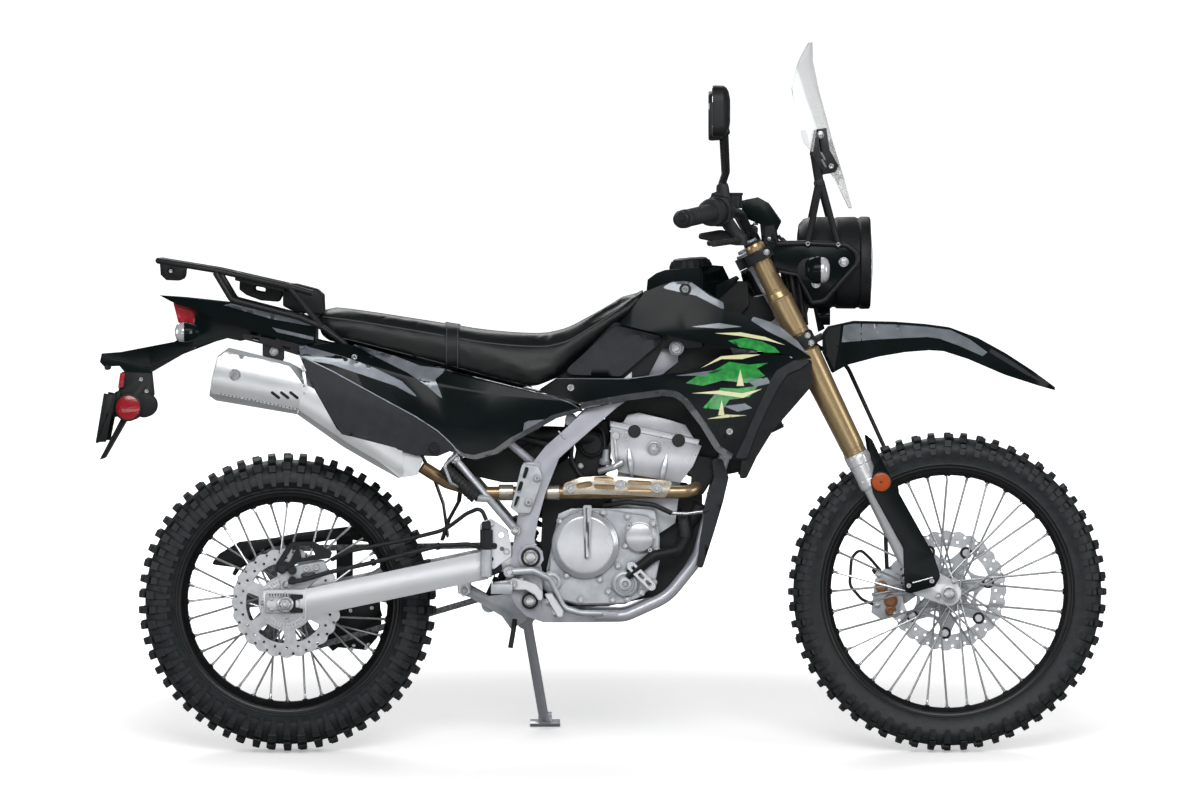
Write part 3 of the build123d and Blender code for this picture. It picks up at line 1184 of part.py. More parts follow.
# ---------- Assembly ----------
def build():
    nodes = {}
    frame = main_frame() + stand_bracket()
    nodes["main_frame"] = [frame]
    rails = subframe(frame)
    nodes["subframe"] = [rails]
    cases = engine_cases(frame)
    nodes["engine_cases"] = [cases]
    covers = engine_covers()
    nodes["engine_covers"] = covers
    box, duct, shock_room = airbox()
    head = cylinder_head()
    nodes["cylinder_head"] = [head]
    nodes["airbox"] = [box - shock_room, duct - box - head]
    shield_in = HEADER_Y - HEADER_RADIUS - FIT
    silencer = muffler()
    nodes["muffler"] = [silencer]
    nodes["exhaust_header"] = [pipe(HEADER, HEADER_RADIUS, HEADER_BENDS) - head - silencer,
                               prism(SHIELD, shield_in - 3, shield_in)]
    nodes["swingarm"] = [swingarm()]
    nodes["rear_shock"] = [rear_shock()]
    nodes["shock_linkage"] = [shock_linkage()]
    nodes["drive_chain"] = [chain(), front_sprocket()]
    nodes["chain_guards"] = list(chain_guards())
    nodes["rear_caliper"] = [rear_caliper()]
    tank = fuel_tank()
    nodes["fuel_tank"] = [tank]
    nodes["fuel_cap"] = [fuel_cap() - tank]
    nodes["seat"] = [seat()]
    nodes["side_covers"] = pair(side_cover())
    nodes["upper_shrouds"] = pair(upper_shroud(tank)) + pair(knee_panel(tank))
    nodes["lower_shrouds"] = pair(lower_shroud(frame))
    hose = water_hose() - cases - Compound([solid for cover in covers for solid in cover.solids()])
    nodes["radiators"] = radiators(frame) + [hose]
    nodes["tail_cover"] = [tail_cover() - rails]
    nodes["rear_fender"] = list(rear_fender())
    nodes["tail_light"] = [prism(LAMP, -44, 44)]
    nodes["plate_holder"] = [plate_holder()]
    nodes["rear_signals"] = signals(SIGNAL_REAR, 22, -1, 49.2)
    nodes["luggage_rack"] = [luggage_rack(rails)]
    pegs, struts = footpegs()
    nodes["footpegs"] = pegs + struts
    nodes["foot_controls"] = list(foot_controls())
    nodes["side_stand"] = [side_stand()]
    nodes["rear_hose"] = [brake_hose(REAR_HOSE, REAR_HOSE_BENDS)]
    nodes["front_hose"] = [brake_hose(FRONT_HOSE, FRONT_HOSE_BENDS)]

    for end, wheel, disc in (("front", FRONT, FRONT_DISC), ("rear", REAR, REAR_DISC)):
        nodes[end + "_tyre"] = [tyre(wheel)]
        nodes[end + "_rim"] = [rim(wheel)]
        nodes[end + "_spokes"] = spokes(wheel)
    nodes["front_hub"] = [hub(FRONT, (FRONT_DISC.boss_radius, FRONT_DISC.y - DISC_HALF), (24, 56))]
    nodes["rear_hub"] = [hub(REAR, (50, CHAIN_Y - SPROCKET_HALF), (REAR_DISC.boss_radius, -REAR_DISC.y - DISC_HALF))]
    nodes["front_disc"] = [brake_disc(FRONT, FRONT_DISC)]
    nodes["rear_disc"] = [brake_disc(REAR, REAR_DISC)]
    nodes["rear_sprocket"] = [sprocket(axle_of(REAR), REAR_PITCH_RADIUS, REAR.axle_radius + 6 + FIT)]

    clamps = triple_clamps()
    nodes["triple_clamps"] = [clamps]
    nodes["fork_tubes"] = fork_tubes()
    nodes["fork_sliders"] = [fork_sliders()]
    nodes["fork_guards"] = fork_guards()
    nodes["handlebar"] = [handlebar()]
    controls = hand_controls()
    nodes["hand_controls"] = controls + grips()
    nodes["mirrors"] = [mirror_half - controls[i] for i, mirror_half in enumerate(mirrors())]
    nodes["instrument_panel"] = [instrument_panel() - clamps]
    nodes["headlight"] = [headlight()]
    lamp_bracket = headlight_bracket() + horn() - clamps
    nodes["headlight_bracket"] = [lamp_bracket]
    nodes["front_signals"] = signals(SIGNAL_FRONT, 30, 1, LAMP_PLATE_Y[1])
    nodes["windscreen"] = [windscreen()]
    nodes["screen_stay"] = screen_stay(windscreen(FIT), lamp_bracket)
    nodes["front_fender"] = [front_fender(clamps)]
    nodes["front_caliper"] = [front_caliper()]
    return nodes


def gather(shapes):
    solids = [solid for shape in shapes for solid in shape.solids()]
    return solids[0] if len(solids) == 1 else Compound(solids)


def lean(shape):
    return Rot(X=-LEAN) * shape


nodes = {name: lean(gather(shapes)) for name, shapes in build().items()}
box = Compound([solid for shape in nodes.values() for solid in shape.solids()]).bounding_box()
SHIFT = Vector(-box.center().X, -box.center().Y, REAR.width / 2 * (1 - cos(radians(LEAN))))
os.makedirs("parts", exist_ok=True)
for name, shape in nodes.items():
    export_step(Location(SHIFT) * shape, f"parts/{name}.step")
print(len(nodes), "nodes, size", [round(v, 1) for v in box.size], "shift", [round(v, 2) for v in SHIFT])
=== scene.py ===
import json
from math import acos, atan2, cos, degrees, hypot, pi, radians, sin, tan

import bmesh
import bpy
from mathutils import Matrix, Vector
from mathutils.bvhtree import BVHTree
from mathutils.geometry import delaunay_2d_cdt


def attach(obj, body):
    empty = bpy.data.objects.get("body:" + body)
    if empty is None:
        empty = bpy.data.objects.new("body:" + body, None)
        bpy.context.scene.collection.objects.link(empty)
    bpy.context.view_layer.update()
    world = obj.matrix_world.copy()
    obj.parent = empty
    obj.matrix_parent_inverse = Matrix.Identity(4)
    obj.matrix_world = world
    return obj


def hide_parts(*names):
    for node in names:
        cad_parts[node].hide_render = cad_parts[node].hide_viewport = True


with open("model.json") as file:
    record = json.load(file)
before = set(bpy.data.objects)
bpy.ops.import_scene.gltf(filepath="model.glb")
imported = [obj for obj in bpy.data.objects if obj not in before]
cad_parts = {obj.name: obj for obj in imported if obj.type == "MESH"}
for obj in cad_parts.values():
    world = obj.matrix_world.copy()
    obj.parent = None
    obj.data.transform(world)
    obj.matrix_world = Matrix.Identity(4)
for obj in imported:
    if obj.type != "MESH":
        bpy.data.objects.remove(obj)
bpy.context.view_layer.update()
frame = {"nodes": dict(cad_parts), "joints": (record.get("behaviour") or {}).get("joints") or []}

# Dual sport motorcycle. Shapes are drawn upright in millimetres: X forward from the rear axle,
# Y to the rider's left, Z up from the ground. UPRIGHT takes them into the leaning frame, in metres.
# Outlines in side view are lists of (x, z).

# ---------- Driving dimensions ----------
WHEELBASE = 1440.0
FRONT_RADIUS, REAR_RADIUS = 348.5, 326.0       # over the knobs
RAKE = 26.2                                    # degrees, steering axis from vertical
STEER_X = 1536.0                               # where the steering axis meets the ground
LEG_OFFSET, LEG_Y = 21.0, 96.0                 # fork legs ahead of the steering axis, and half apart
CHAIN_Y = 72.0
CHAIN_PITCH = 15.875
REAR_PITCH_RADIUS, FRONT_PITCH_RADIUS = 114.0, 34.0
FRONT_SPROCKET = (590.0, 415.0)
SPOKE_COUNT = 36
FRONT_DISC_Y, REAR_DISC_Y = 54.0, -64.0

joints = {joint["name"]: joint for joint in frame["joints"]}
spin = joints["rear_wheel_spin"]
LEAN = Matrix.Rotation(atan2(spin["axis"][2], spin["axis"][1]), 4, "X")
REAR_AXLE = Vector((0, 0, REAR_RADIUS))
FRONT_AXLE = Vector((WHEELBASE, 0, FRONT_RADIUS))
UPRIGHT = Matrix.Translation(Vector(spin["pos_m"]) - LEAN @ (REAR_AXLE / 1000)) @ LEAN @ Matrix.Scale(0.001, 4)

rake = radians(RAKE)
RIGHT, LEFT, UP = (0, -1, 0), (0, 1, 0), (0, 0, 1)
# From (forward of the steering axis, left, up along it) to the upright drawing
STEER = Matrix(((cos(rake), 0, -sin(rake), STEER_X), (0, 1, 0, 0), (sin(rake), 0, cos(rake), 0), (0, 0, 0, 1)))


# ---------- Curves and outlines ----------
def rounded(a, b, c, radius, steps, least_turn=0.0, least_reach=0.0):
    """Points that round the corner b between a and c; only b itself if there is too little to round."""
    into, out = a - b, c - b
    turn = pi - into.angle(out, pi)
    reach = min(radius * tan(turn / 2), into.length * 0.49, out.length * 0.49)
    if turn < least_turn or reach < least_reach:
        return [b]
    start, end = b + into.normalized() * reach, b + out.normalized() * reach
    shares = [k / steps for k in range(steps + 1)]
    return [start.lerp(b, t).lerp(b.lerp(end, t), t) for t in shares]


def smooth_path(points, radius, steps=6):
    """Polyline with each corner rounded to about a radius."""
    points = [Vector(p) for p in points]
    made = [points[0]]
    for a, b, c in zip(points, points[1:], points[2:]):
        made += rounded(a, b, c, radius, steps, least_turn=0.01)
    return made + [points[-1]]


def round_outline(points, radius, steps=4):
    """Closed outline with each corner rounded; a radius may be given as a third value of a point."""
    made = []
    count = len(points)
    for i in range(count):
        a, b, c = (Vector(points[(i + k) % count][:2]) for k in (-1, 0, 1))
        wanted = points[i][2] if len(points[i]) > 2 else radius
        made += rounded(a, b, c, wanted, steps, least_reach=0.05)
    return [(p.x, p.y) for p in made]


def circle(centre, radius, count=32, start=0.0):
    return [(centre[0] + radius * cos(start + 2 * pi * k / count), centre[1] + radius * sin(start + 2 * pi * k / count))
            for k in range(count)]


def around(x, z, radius, count, first=0.0):
    """Points (x, z) on a circle, from a first angle in degrees."""
    angles = [radians(first + 360 / count * k) for k in range(count)]
    return [(x + radius * cos(angle), z + radius * sin(angle)) for angle in angles]


def slot_outline(centre, angle, length, radius, steps=6):
    """Outline of a slot: its two end centres are a length apart."""
    made = []
    turn = radians(angle)
    for side in (1, -1):
        end = (centre[0] + side * cos(turn) * length / 2, centre[1] + side * sin(turn) * length / 2)
        for k in range(steps + 1):
            a = turn + (0 if side > 0 else pi) - pi / 2 + pi * k / steps
            made.append((end[0] + radius * cos(a), end[1] + radius * sin(a)))
    return made


def inside(point, outline):
    """True if a point lies in a closed outline."""
    x, z = point
    found = False
    j = len(outline) - 1
    for i in range(len(outline)):
        (xi, zi), (xj, zj) = outline[i], outline[j]
        if (zi > z) != (zj > z) and x < (xj - xi) * (z - zi) / (zj - zi) + xi:
            found = not found
        j = i
    return found


def edge_distance(point, outline):
    x, z = point
    best = 1e9
    j = len(outline) - 1
    for i in range(len(outline)):
        (xi, zi), (xj, zj) = outline[i], outline[j]
        dx, dz = xj - xi, zj - zi
        length = dx * dx + dz * dz
        t = 0 if length == 0 else max(0, min(1, ((x - xi) * dx + (z - zi) * dz) / length))
        best = min(best, hypot(x - xi - t * dx, z - zi - t * dz))
        j = i
    return best


def between(value, table):
    """Straight-line reading of a table of (key, value, ...) rows at a key."""
    if value <= table[0][0]:
        return table[0][1:]
    for low, high in zip(table, table[1:]):
        if value <= high[0]:
            t = (value - low[0]) / (high[0] - low[0])
            return tuple(a + (b - a) * t for a, b in zip(low[1:], high[1:]))
    return table[-1][1:]


def smoothly(value, table):
    """Reading of a table of (key, value, ...) rows along a smooth curve through them."""
    if value <= table[0][0]:
        return table[0][1:]
    if value >= table[-1][0]:
        return table[-1][1:]
    i = max(k for k in range(len(table) - 1) if table[k][0] <= value)
    rows = [table[max(i - 1, 0)], table[i], table[i + 1], table[min(i + 2, len(table) - 1)]]
    t = (value - rows[1][0]) / (rows[2][0] - rows[1][0])
    made = []
    for a, b, c, d in zip(*(row[1:] for row in rows)):
        m0 = (c - a) / max(rows[2][0] - rows[0][0], 1e-6) * (rows[2][0] - rows[1][0])
        m1 = (d - b) / max(rows[3][0] - rows[1][0], 1e-6) * (rows[2][0] - rows[1][0])
        made.append((2 * t**3 - 3 * t**2 + 1) * b + (t**3 - 2 * t**2 + t) * m0
                    + (3 * t**2 - 2 * t**3) * c + (t**3 - t**2) * m1)
    return tuple(made)


def placed_object(name, data):
    """New object in the scene."""
    made = bpy.data.objects.new(name, data)
    bpy.context.scene.collection.objects.link(made)
    return made


# ---------- Repeats, by Geometry Nodes ----------
def tree_start(name, sockets):
    """New geometry tree with named inputs; gives the tree and its input and output nodes."""
    tree = bpy.data.node_groups.new(name, "GeometryNodeTree")
    tree.interface.new_socket("Geometry", in_out="OUTPUT", socket_type="NodeSocketGeometry")
    tree.interface.new_socket("Part", in_out="INPUT", socket_type="NodeSocketGeometry")
    for label, kind in sockets:
        tree.interface.new_socket(label, in_out="INPUT", socket_type=kind)
    return tree, tree.nodes.new("NodeGroupInput"), tree.nodes.new("NodeGroupOutput")


def add_node(tree, kind, settings=None, links=None):
    """Node with its settings, and its input sockets set to values or linked to sockets."""
    made = tree.nodes.new(kind)
    for key, value in (settings or {}).items():
        setattr(made, key, value)
    for key, value in (links or {}).items():
        if isinstance(value, bpy.types.NodeSocket):
            tree.links.new(value, made.inputs[key])
        else:
            made.inputs[key].default_value = value
    return made


def copies_tree(name, turning):
    """Copies of a part, each turned about the Y axis or stepped along from the one before."""
    step = ("Step", "NodeSocketFloat") if turning else ("Step", "NodeSocketVector")
    tree, start, end = tree_start(name, [("Count", "NodeSocketInt"), step, ("Finish", "NodeSocketMaterial")])
    single = add_node(tree, "GeometryNodeGeometryToInstance", links={0: start.outputs["Part"]})
    many = add_node(tree, "GeometryNodeDuplicateElements", {"domain": "INSTANCE"},
                    {"Geometry": single.outputs[0], "Amount": start.outputs["Count"]})
    if turning:
        angle = add_node(tree, "ShaderNodeMath", {"operation": "MULTIPLY"},
                         {0: many.outputs["Duplicate Index"], 1: start.outputs["Step"]})
        turn = add_node(tree, "ShaderNodeCombineXYZ", links={"Y": angle.outputs[0]})
        placed = add_node(tree, "GeometryNodeRotateInstances", links={
            "Instances": many.outputs["Geometry"], "Rotation": turn.outputs[0], "Local Space": False})
    else:
        offset = add_node(tree, "ShaderNodeVectorMath", {"operation": "SCALE"},
                          {0: start.outputs["Step"], "Scale": many.outputs["Duplicate Index"]})
        placed = add_node(tree, "GeometryNodeTranslateInstances", links={
            "Instances": many.outputs["Geometry"], "Translation": offset.outputs[0], "Local Space": False})
    real = add_node(tree, "GeometryNodeRealizeInstances", links={0: placed.outputs[0]})
    finished = add_node(tree, "GeometryNodeSetMaterial",
                        links={"Geometry": real.outputs[0], "Material": start.outputs["Finish"]})
    tree.links.new(finished.outputs[0], end.inputs[0])
    return tree


def coil_tree():
    """Round wire wound along Z: the part's place is at the foot of the coil."""
    sockets = [("Turns", "NodeSocketFloat"), ("Radius", "NodeSocketFloat"), ("Length", "NodeSocketFloat"),
               ("Wire", "NodeSocketFloat"), ("Finish", "NodeSocketMaterial")]
    tree, start, end = tree_start("wound coil", sockets)
    spiral = add_node(tree, "GeometryNodeCurveSpiral", links={
        "Resolution": 40, "Rotations": start.outputs["Turns"], "Start Radius": start.outputs["Radius"],
        "End Radius": start.outputs["Radius"], "Height": start.outputs["Length"]})
    section = add_node(tree, "GeometryNodeCurvePrimitiveCircle", {"mode": "RADIUS"},
                       {"Resolution": 10, "Radius": start.outputs["Wire"]})
    wire = add_node(tree, "GeometryNodeCurveToMesh", links={
        "Curve": spiral.outputs[0], "Profile Curve": section.outputs[0], "Fill Caps": True})
    real = add_node(tree, "GeometryNodeRealizeInstances", links={0: wire.outputs[0]})
    finished = add_node(tree, "GeometryNodeSetMaterial",
                        links={"Geometry": real.outputs[0], "Material": start.outputs["Finish"]})
    tree.links.new(finished.outputs[0], end.inputs[0])
    return tree


TURNED_COPIES = copies_tree("turned copies", True)
STEPPED_COPIES = copies_tree("stepped copies", False)
COIL = coil_tree()


def run_tree(tree, shape, values):
    """Evaluates a tree on a shape (vertices, faces) and gives the result as the same."""
    mesh = bpy.data.meshes.new("part")
    mesh.from_pydata(shape[0], [], shape[1])
    holder = placed_object("part", mesh)
    modifier = holder.modifiers.new("made", "NODES")
    modifier.node_group = tree
    names = {item.name: item.identifier for item in tree.interface.items_tree if item.in_out == "INPUT"}
    for name, value in values.items():
        modifier[names[name]] = value
    bpy.context.view_layer.update()
    result = bpy.data.meshes.new_from_object(holder.evaluated_get(bpy.context.evaluated_depsgraph_get()))
    verts = [v.co.copy() for v in result.vertices]
    faces = [tuple(f.vertices) for f in result.polygons]
    bpy.data.objects.remove(holder)
    bpy.data.meshes.remove(mesh)
    bpy.data.meshes.remove(result)
    return verts, faces


# ---------- Shapes: vertices and faces ----------
def joined(*shapes):
    verts, faces = [], []
    for more, their in shapes:
        base = len(verts)
        verts += [Vector(v) for v in more]
        faces += [tuple(i + base for i in face) for face in their]
    return verts, faces


def moved(shape, matrix):
    """The shape through a matrix, with its faces turned back out if that mirrors it."""
    verts, faces = shape
    flip = matrix.determinant() < 0
    return [matrix @ Vector(v) for v in verts], [tuple(reversed(f)) if flip else f for f in faces]


MIRROR = Matrix.Diagonal((1, -1, 1, 1))


def both(shape):
    return joined(shape, moved(shape, MIRROR))


def towards(origin, direction):
    """Matrix whose Z axis runs from an origin in a direction."""
    place = Vector(direction).normalized().to_track_quat("Z", "Y").to_matrix().to_4x4()
    place.translation = Vector(origin)
    return place


ACROSS = Matrix(((0, 1, 0, 0), (0, 0, 1, 0), (1, 0, 0, 0), (0, 0, 0, 1)))    # local z, x, y are Y, Z, X


def lathe(profile, count=48, closed=False):
    """Surface of revolution about Z from (radius, height) points, ends closed where the radius is 0."""
    verts, rows = [], []
    for radius, height in profile:
        if radius < 1e-6:
            rows.append([len(verts)])
            verts.append(Vector((0, 0, height)))
        else:
            rows.append(list(range(len(verts), len(verts) + count)))
            verts += [Vector((radius * cos(2 * pi * k / count), radius * sin(2 * pi * k / count), height))
                      for k in range(count)]
    faces = []
    pairs = list(zip(rows, rows[1:])) + ([(rows[-1], rows[0])] if closed else [])
    for low, high in pairs:
        for k in range(count):
            n = (k + 1) % count
            if len(low) == 1 and len(high) == 1:
                continue
            if len(low) == 1:
                faces.append((low[0], high[n], high[k]))
            elif len(high) == 1:
                faces.append((low[k], low[n], high[0]))
            else:
                faces.append((low[k], low[n], high[n], high[k]))
    return verts, faces


def on_axle(shape, centre):
    """A shape turned about Z, set on an axle along Y through a side position."""
    x, z = (centre.x, centre.z) if isinstance(centre, Vector) else centre
    return moved(shape, Matrix.Translation((x, 0, z)) @ ACROSS)


def disc_shape(radius, low, high, edge=0.8, count=32):
    """Closed round disc or post along Z with small chamfers."""
    edge = min(edge, radius * 0.4, abs(high - low) * 0.45)
    return lathe([(0, low), (radius - edge, low), (radius, low + edge), (radius, high - edge),
                  (radius - edge, high), (0, high)], count)


def post(place, radius, low, high, edge=0.8, count=32):
    """Round disc or post along the Z axis of a place."""
    return moved(disc_shape(radius, low, high, edge, count), place)


def turned(place, profile, count=48, closed=False):
    """Surface of revolution about the Z axis of a place."""
    return moved(lathe(profile, count, closed), place)


def tube(points, radius, radii=None, sides=12):
    """Round tube along a line of points; radii may give one radius for each point."""
    points = [Vector(p) for p in points]
    made, faces = [], []
    direction = (points[1] - points[0]).normalized()
    side = direction.orthogonal().normalized()
    for i, point in enumerate(points):
        ahead = points[min(i + 1, len(points) - 1)] - points[max(i - 1, 0)]
        turn = direction.rotation_difference(ahead.normalized())
        side = (turn @ side).normalized()
        direction = ahead.normalized()
        up = direction.cross(side).normalized()
        r = radii[i] if radii else radius
        made += [point + (side * cos(2 * pi * k / sides) + up * sin(2 * pi * k / sides)) * r for k in range(sides)]
    for i in range(len(points) - 1):
        for k in range(sides):
            n = (k + 1) % sides
            faces.append((i * sides + k, i * sides + n, (i + 1) * sides + n, (i + 1) * sides + k))
    faces.append(tuple(range(sides - 1, -1, -1)))
    faces.append(tuple(range((len(points) - 1) * sides, len(points) * sides)))
    return made, faces


def pipe(points, bend, radius, sides=12):
    """Tube along a line of points whose corners are rounded."""
    return tube(smooth_path(points, bend), radius, sides=sides)


def loft(rings):
    """Skin over rings of the same number of points, with both ends closed."""
    count = len(rings[0])
    verts = [Vector(p) for ring in rings for p in ring]
    faces = []
    for i in range(len(rings) - 1):
        for k in range(count):
            n = (k + 1) % count
            faces.append((i * count + k, (i + 1) * count + k, (i + 1) * count + n, i * count + n))
    faces.append(tuple(range(count)))
    faces.append(tuple(range(len(rings) * count - 1, (len(rings) - 1) * count - 1, -1)))
    return verts, faces


def flat_faces(loops, more, outline, holes):
    """Region between loops, cut into triangles with more points in it: points, faces, edges and sources."""
    points, edges = [], []
    for loop in loops:
        base = len(points)
        points += [Vector(p) for p in loop]
        edges += [(base + k, base + (k + 1) % len(loop)) for k in range(len(loop))]
    flat = delaunay_2d_cdt(points + [Vector(p) for p in more], edges, [], 0, 1e-4, True)
    faces = []
    for face in flat[2]:
        middle = sum((flat[0][i] for i in face), Vector((0, 0))) / len(face)
        if inside(middle, outline) and not any(inside(middle, hole) for hole in holes):
            faces.append(face)
    return flat[0], faces, edges, flat[3]


def prism(outline, low, high, edge=0.0, holes=()):
    """Plate between two Y planes from a side outline, with holes, and edges chamfered if asked."""
    if signed_area(outline) < 0:
        outline = outline[::-1]
    loops = [outline] + [hole[::-1] if signed_area(hole) > 0 else hole for hole in holes]
    flat, inner, _, sources = flat_faces(loops, [], outline, holes)
    levels = [(low, edge), (low + edge, 0), (high - edge, 0), (high, edge)] if edge else [(low, 0), (high, 0)]
    verts, faces = [], []
    ring_of = []
    for y, inset in levels:
        rings = []
        for loop in loops:
            shrunk = inset_loop(loop, inset)
            rings.append(list(range(len(verts), len(verts) + len(loop))))
            verts += [Vector((p[0], y, p[1])) for p in shrunk]
        ring_of.append(rings)
    for below, above in zip(ring_of, ring_of[1:]):
        for low_ring, high_ring in zip(below, above):
            for k in range(len(low_ring)):
                n = (k + 1) % len(low_ring)
                faces.append((low_ring[k], high_ring[k], high_ring[n], low_ring[n]))
    lookup = {}
    for i, origins in enumerate(sources):
        if origins:
            lookup[i] = origins[0]
    for rings, turn in ((ring_of[0], False), (ring_of[-1], True)):
        flat_index = [index for ring in rings for index in ring]
        extra = {}
        for face in inner:
            made = []
            for i in face:
                if i in lookup:
                    made.append(flat_index[lookup[i]])
                else:
                    if i not in extra:
                        extra[i] = len(verts)
                        y = levels[0][0] if not turn else levels[-1][0]
                        verts.append(Vector((flat[i].x, y, flat[i].y)))
                    made.append(extra[i])
            faces.append(tuple(reversed(made)) if turn else tuple(made))
    return verts, faces


def slab(outline, corner, low, high, edge=0.0, holes=()):
    """Prism of an outline with rounded corners."""
    return prism(round_outline(outline, corner), low, high, edge, holes)


def signed_area(loop):
    return sum(a[0] * b[1] - b[0] * a[1] for a, b in zip(loop, loop[1:] + loop[:1])) / 2


def inset_loop(loop, distance):
    """Loop moved into its solid: inwards for an outline, outwards for a hole that runs the other way."""
    if not distance:
        return loop
    made = []
    count = len(loop)
    for i in range(count):
        a, b, c = (Vector(loop[(i + k) % count]) for k in (-1, 0, 1))
        n1 = Vector((-(b - a).y, (b - a).x))
        n2 = Vector((-(c - b).y, (c - b).x))
        n1 = n1.normalized() if n1.length > 1e-9 else n2.normalized()
        n2 = n2.normalized() if n2.length > 1e-9 else n1
        way = n1 + n2
        if way.length < 1e-6:
            made.append(tuple(b))
            continue
        way = way.normalized() * min(distance / max(way.normalized().dot(n1), 0.5), distance * 1.6)
        made.append(tuple(b + way))
    return made


def hex_bolt(radius, height, place, washer=True):
    """Flanged hexagon bolt head standing on a surface, along the place's Z axis."""
    six = [(radius * cos(pi / 3 * k), radius * sin(pi / 3 * k)) for k in range(6)]
    top = [(x * 0.86, y * 0.86) for x, y in six]
    rings = [[(x, y, 0) for x, y in six], [(x, y, height * 0.8) for x, y in six], [(x, y, height) for x, y in top]]
    head = loft([ring[::-1] for ring in rings])
    if washer:
        head = joined(head, disc_shape(radius * 1.35, -0.5, height * 0.22, 0.4, 18))
    return moved(head, place)


def cap_screw(radius, height, place):
    """Round head screw with a hexagon socket."""
    socket = radius * 0.52
    head = lathe([(0, -0.5), (radius, -0.5), (radius, height * 0.7), (radius * 0.86, height), (socket, height),
        (socket, height * 0.35), (0, height * 0.35)], 16)
    return moved(head, place)


def side_place(x, z, y):
    """Place on a side face at a height y, facing away from the middle plane."""
    return towards((x, y, z), (0, 1 if y > 0 else -1, 0))


# ---------- Finishes ----------
def colour(code):
    """Linear colour from an sRGB hex value."""
    channels = [int(code[i:i + 2], 16) / 255 for i in (1, 3, 5)]
    return tuple(c / 12.92 if c <= 0.04045 else ((c + 0.055) / 1.055) ** 2.4 for c in channels) + (1.0,)


def surface(name, base, roughness, metallic=0.0, **sockets):
    """Material with one shader; gives the material, its tree and the shader node."""
    made = bpy.data.materials.new(name)
    made.use_nodes = True
    tree = made.node_tree
    shader = tree.nodes["Principled BSDF"]
    shader.inputs["Base Color"].default_value = colour(base)
    shader.inputs["Roughness"].default_value = roughness
    shader.inputs["Metallic"].default_value = metallic
    for key, value in sockets.items():
        shader.inputs[key.replace("_", " ")].default_value = value
    return made, tree, shader


def mottle(tree, shader, millimetres, low, high, rough=None):
    """Colour that drifts between two shades over a size, and roughness with it."""
    place = add_node(tree, "ShaderNodeTexCoord")
    noise = add_node(tree, "ShaderNodeTexNoise",
                     links={"Vector": place.outputs["Object"], "Scale": 1000 / millimetres, "Detail": 4.0})
    ramp = add_node(tree, "ShaderNodeValToRGB", links={"Fac": noise.outputs["Fac"]})
    ramp.color_ramp.elements[0].position, ramp.color_ramp.elements[1].position = 0.35, 0.65
    ramp.color_ramp.elements[0].color, ramp.color_ramp.elements[1].color = colour(low), colour(high)
    tree.links.new(ramp.outputs["Color"], shader.inputs["Base Color"])
    if rough:
        spread = add_node(tree, "ShaderNodeMapRange",
                          links={"Value": noise.outputs["Fac"], "To Min": rough[0], "To Max": rough[1]})
        tree.links.new(spread.outputs["Result"], shader.inputs["Roughness"])
    return noise


def grain(tree, shader, millimetres, height_mm, stretch=(1, 1, 1), kind="noise"):
    """Bump of a grain of a real size; a stretch draws it out along an axis, as brushing does."""
    place = add_node(tree, "ShaderNodeTexCoord")
    drawn = add_node(tree, "ShaderNodeMapping", links={"Vector": place.outputs["Object"], "Scale": stretch})
    if kind == "cells":
        pattern = add_node(tree, "ShaderNodeTexVoronoi", links={"Vector": drawn.outputs[0],
            "Scale": 1000 / millimetres})
        height = pattern.outputs["Distance"]
    else:
        pattern = add_node(tree, "ShaderNodeTexNoise",
                           links={"Vector": drawn.outputs[0], "Scale": 1000 / millimetres, "Detail": 3.0})
        height = pattern.outputs["Fac"]
    bump = add_node(tree, "ShaderNodeBump", links={"Height": height, "Strength": 1.0, "Distance": height_mm / 1000})
    tree.links.new(bump.outputs["Normal"], shader.inputs["Normal"])
    return bump


def crevices(tree, shader, millimetres, darkest):
    """Painted shade and grime: colour darkened by ambient occlusion where faces meet."""
    shade = add_node(tree, "ShaderNodeAmbientOcclusion", {"samples": 6}, {"Distance": millimetres / 1000})
    depth = add_node(tree, "ShaderNodeMapRange", links={"Value": shade.outputs["AO"], "From Min": 0.25,
        "From Max": 0.85, "To Min": darkest, "To Max": 1.0})
    socket = shader.inputs["Base Color"]
    source = socket.links[0].from_socket if socket.is_linked else tuple(socket.default_value)[:3]
    darker = add_node(tree, "ShaderNodeVectorMath", {"operation": "SCALE"},
        {0: source, "Scale": depth.outputs["Result"]})
    tree.links.new(darker.outputs["Vector"], socket)


def material(name, base, roughness, metallic=0.0, drift=None, texture=None, grime_and_shade=None, **sockets):
    """Material with a colour drift, a grain, and painted shade with grime in its corners, each given only if it has
    them.
    """
    made, tree, shader = surface(name, base, roughness, metallic, **sockets)
    for add_to, values in ((mottle, drift), (grain, texture), (crevices, grime_and_shade)):
        if values:
            add_to(tree, shader, *values)
    return made
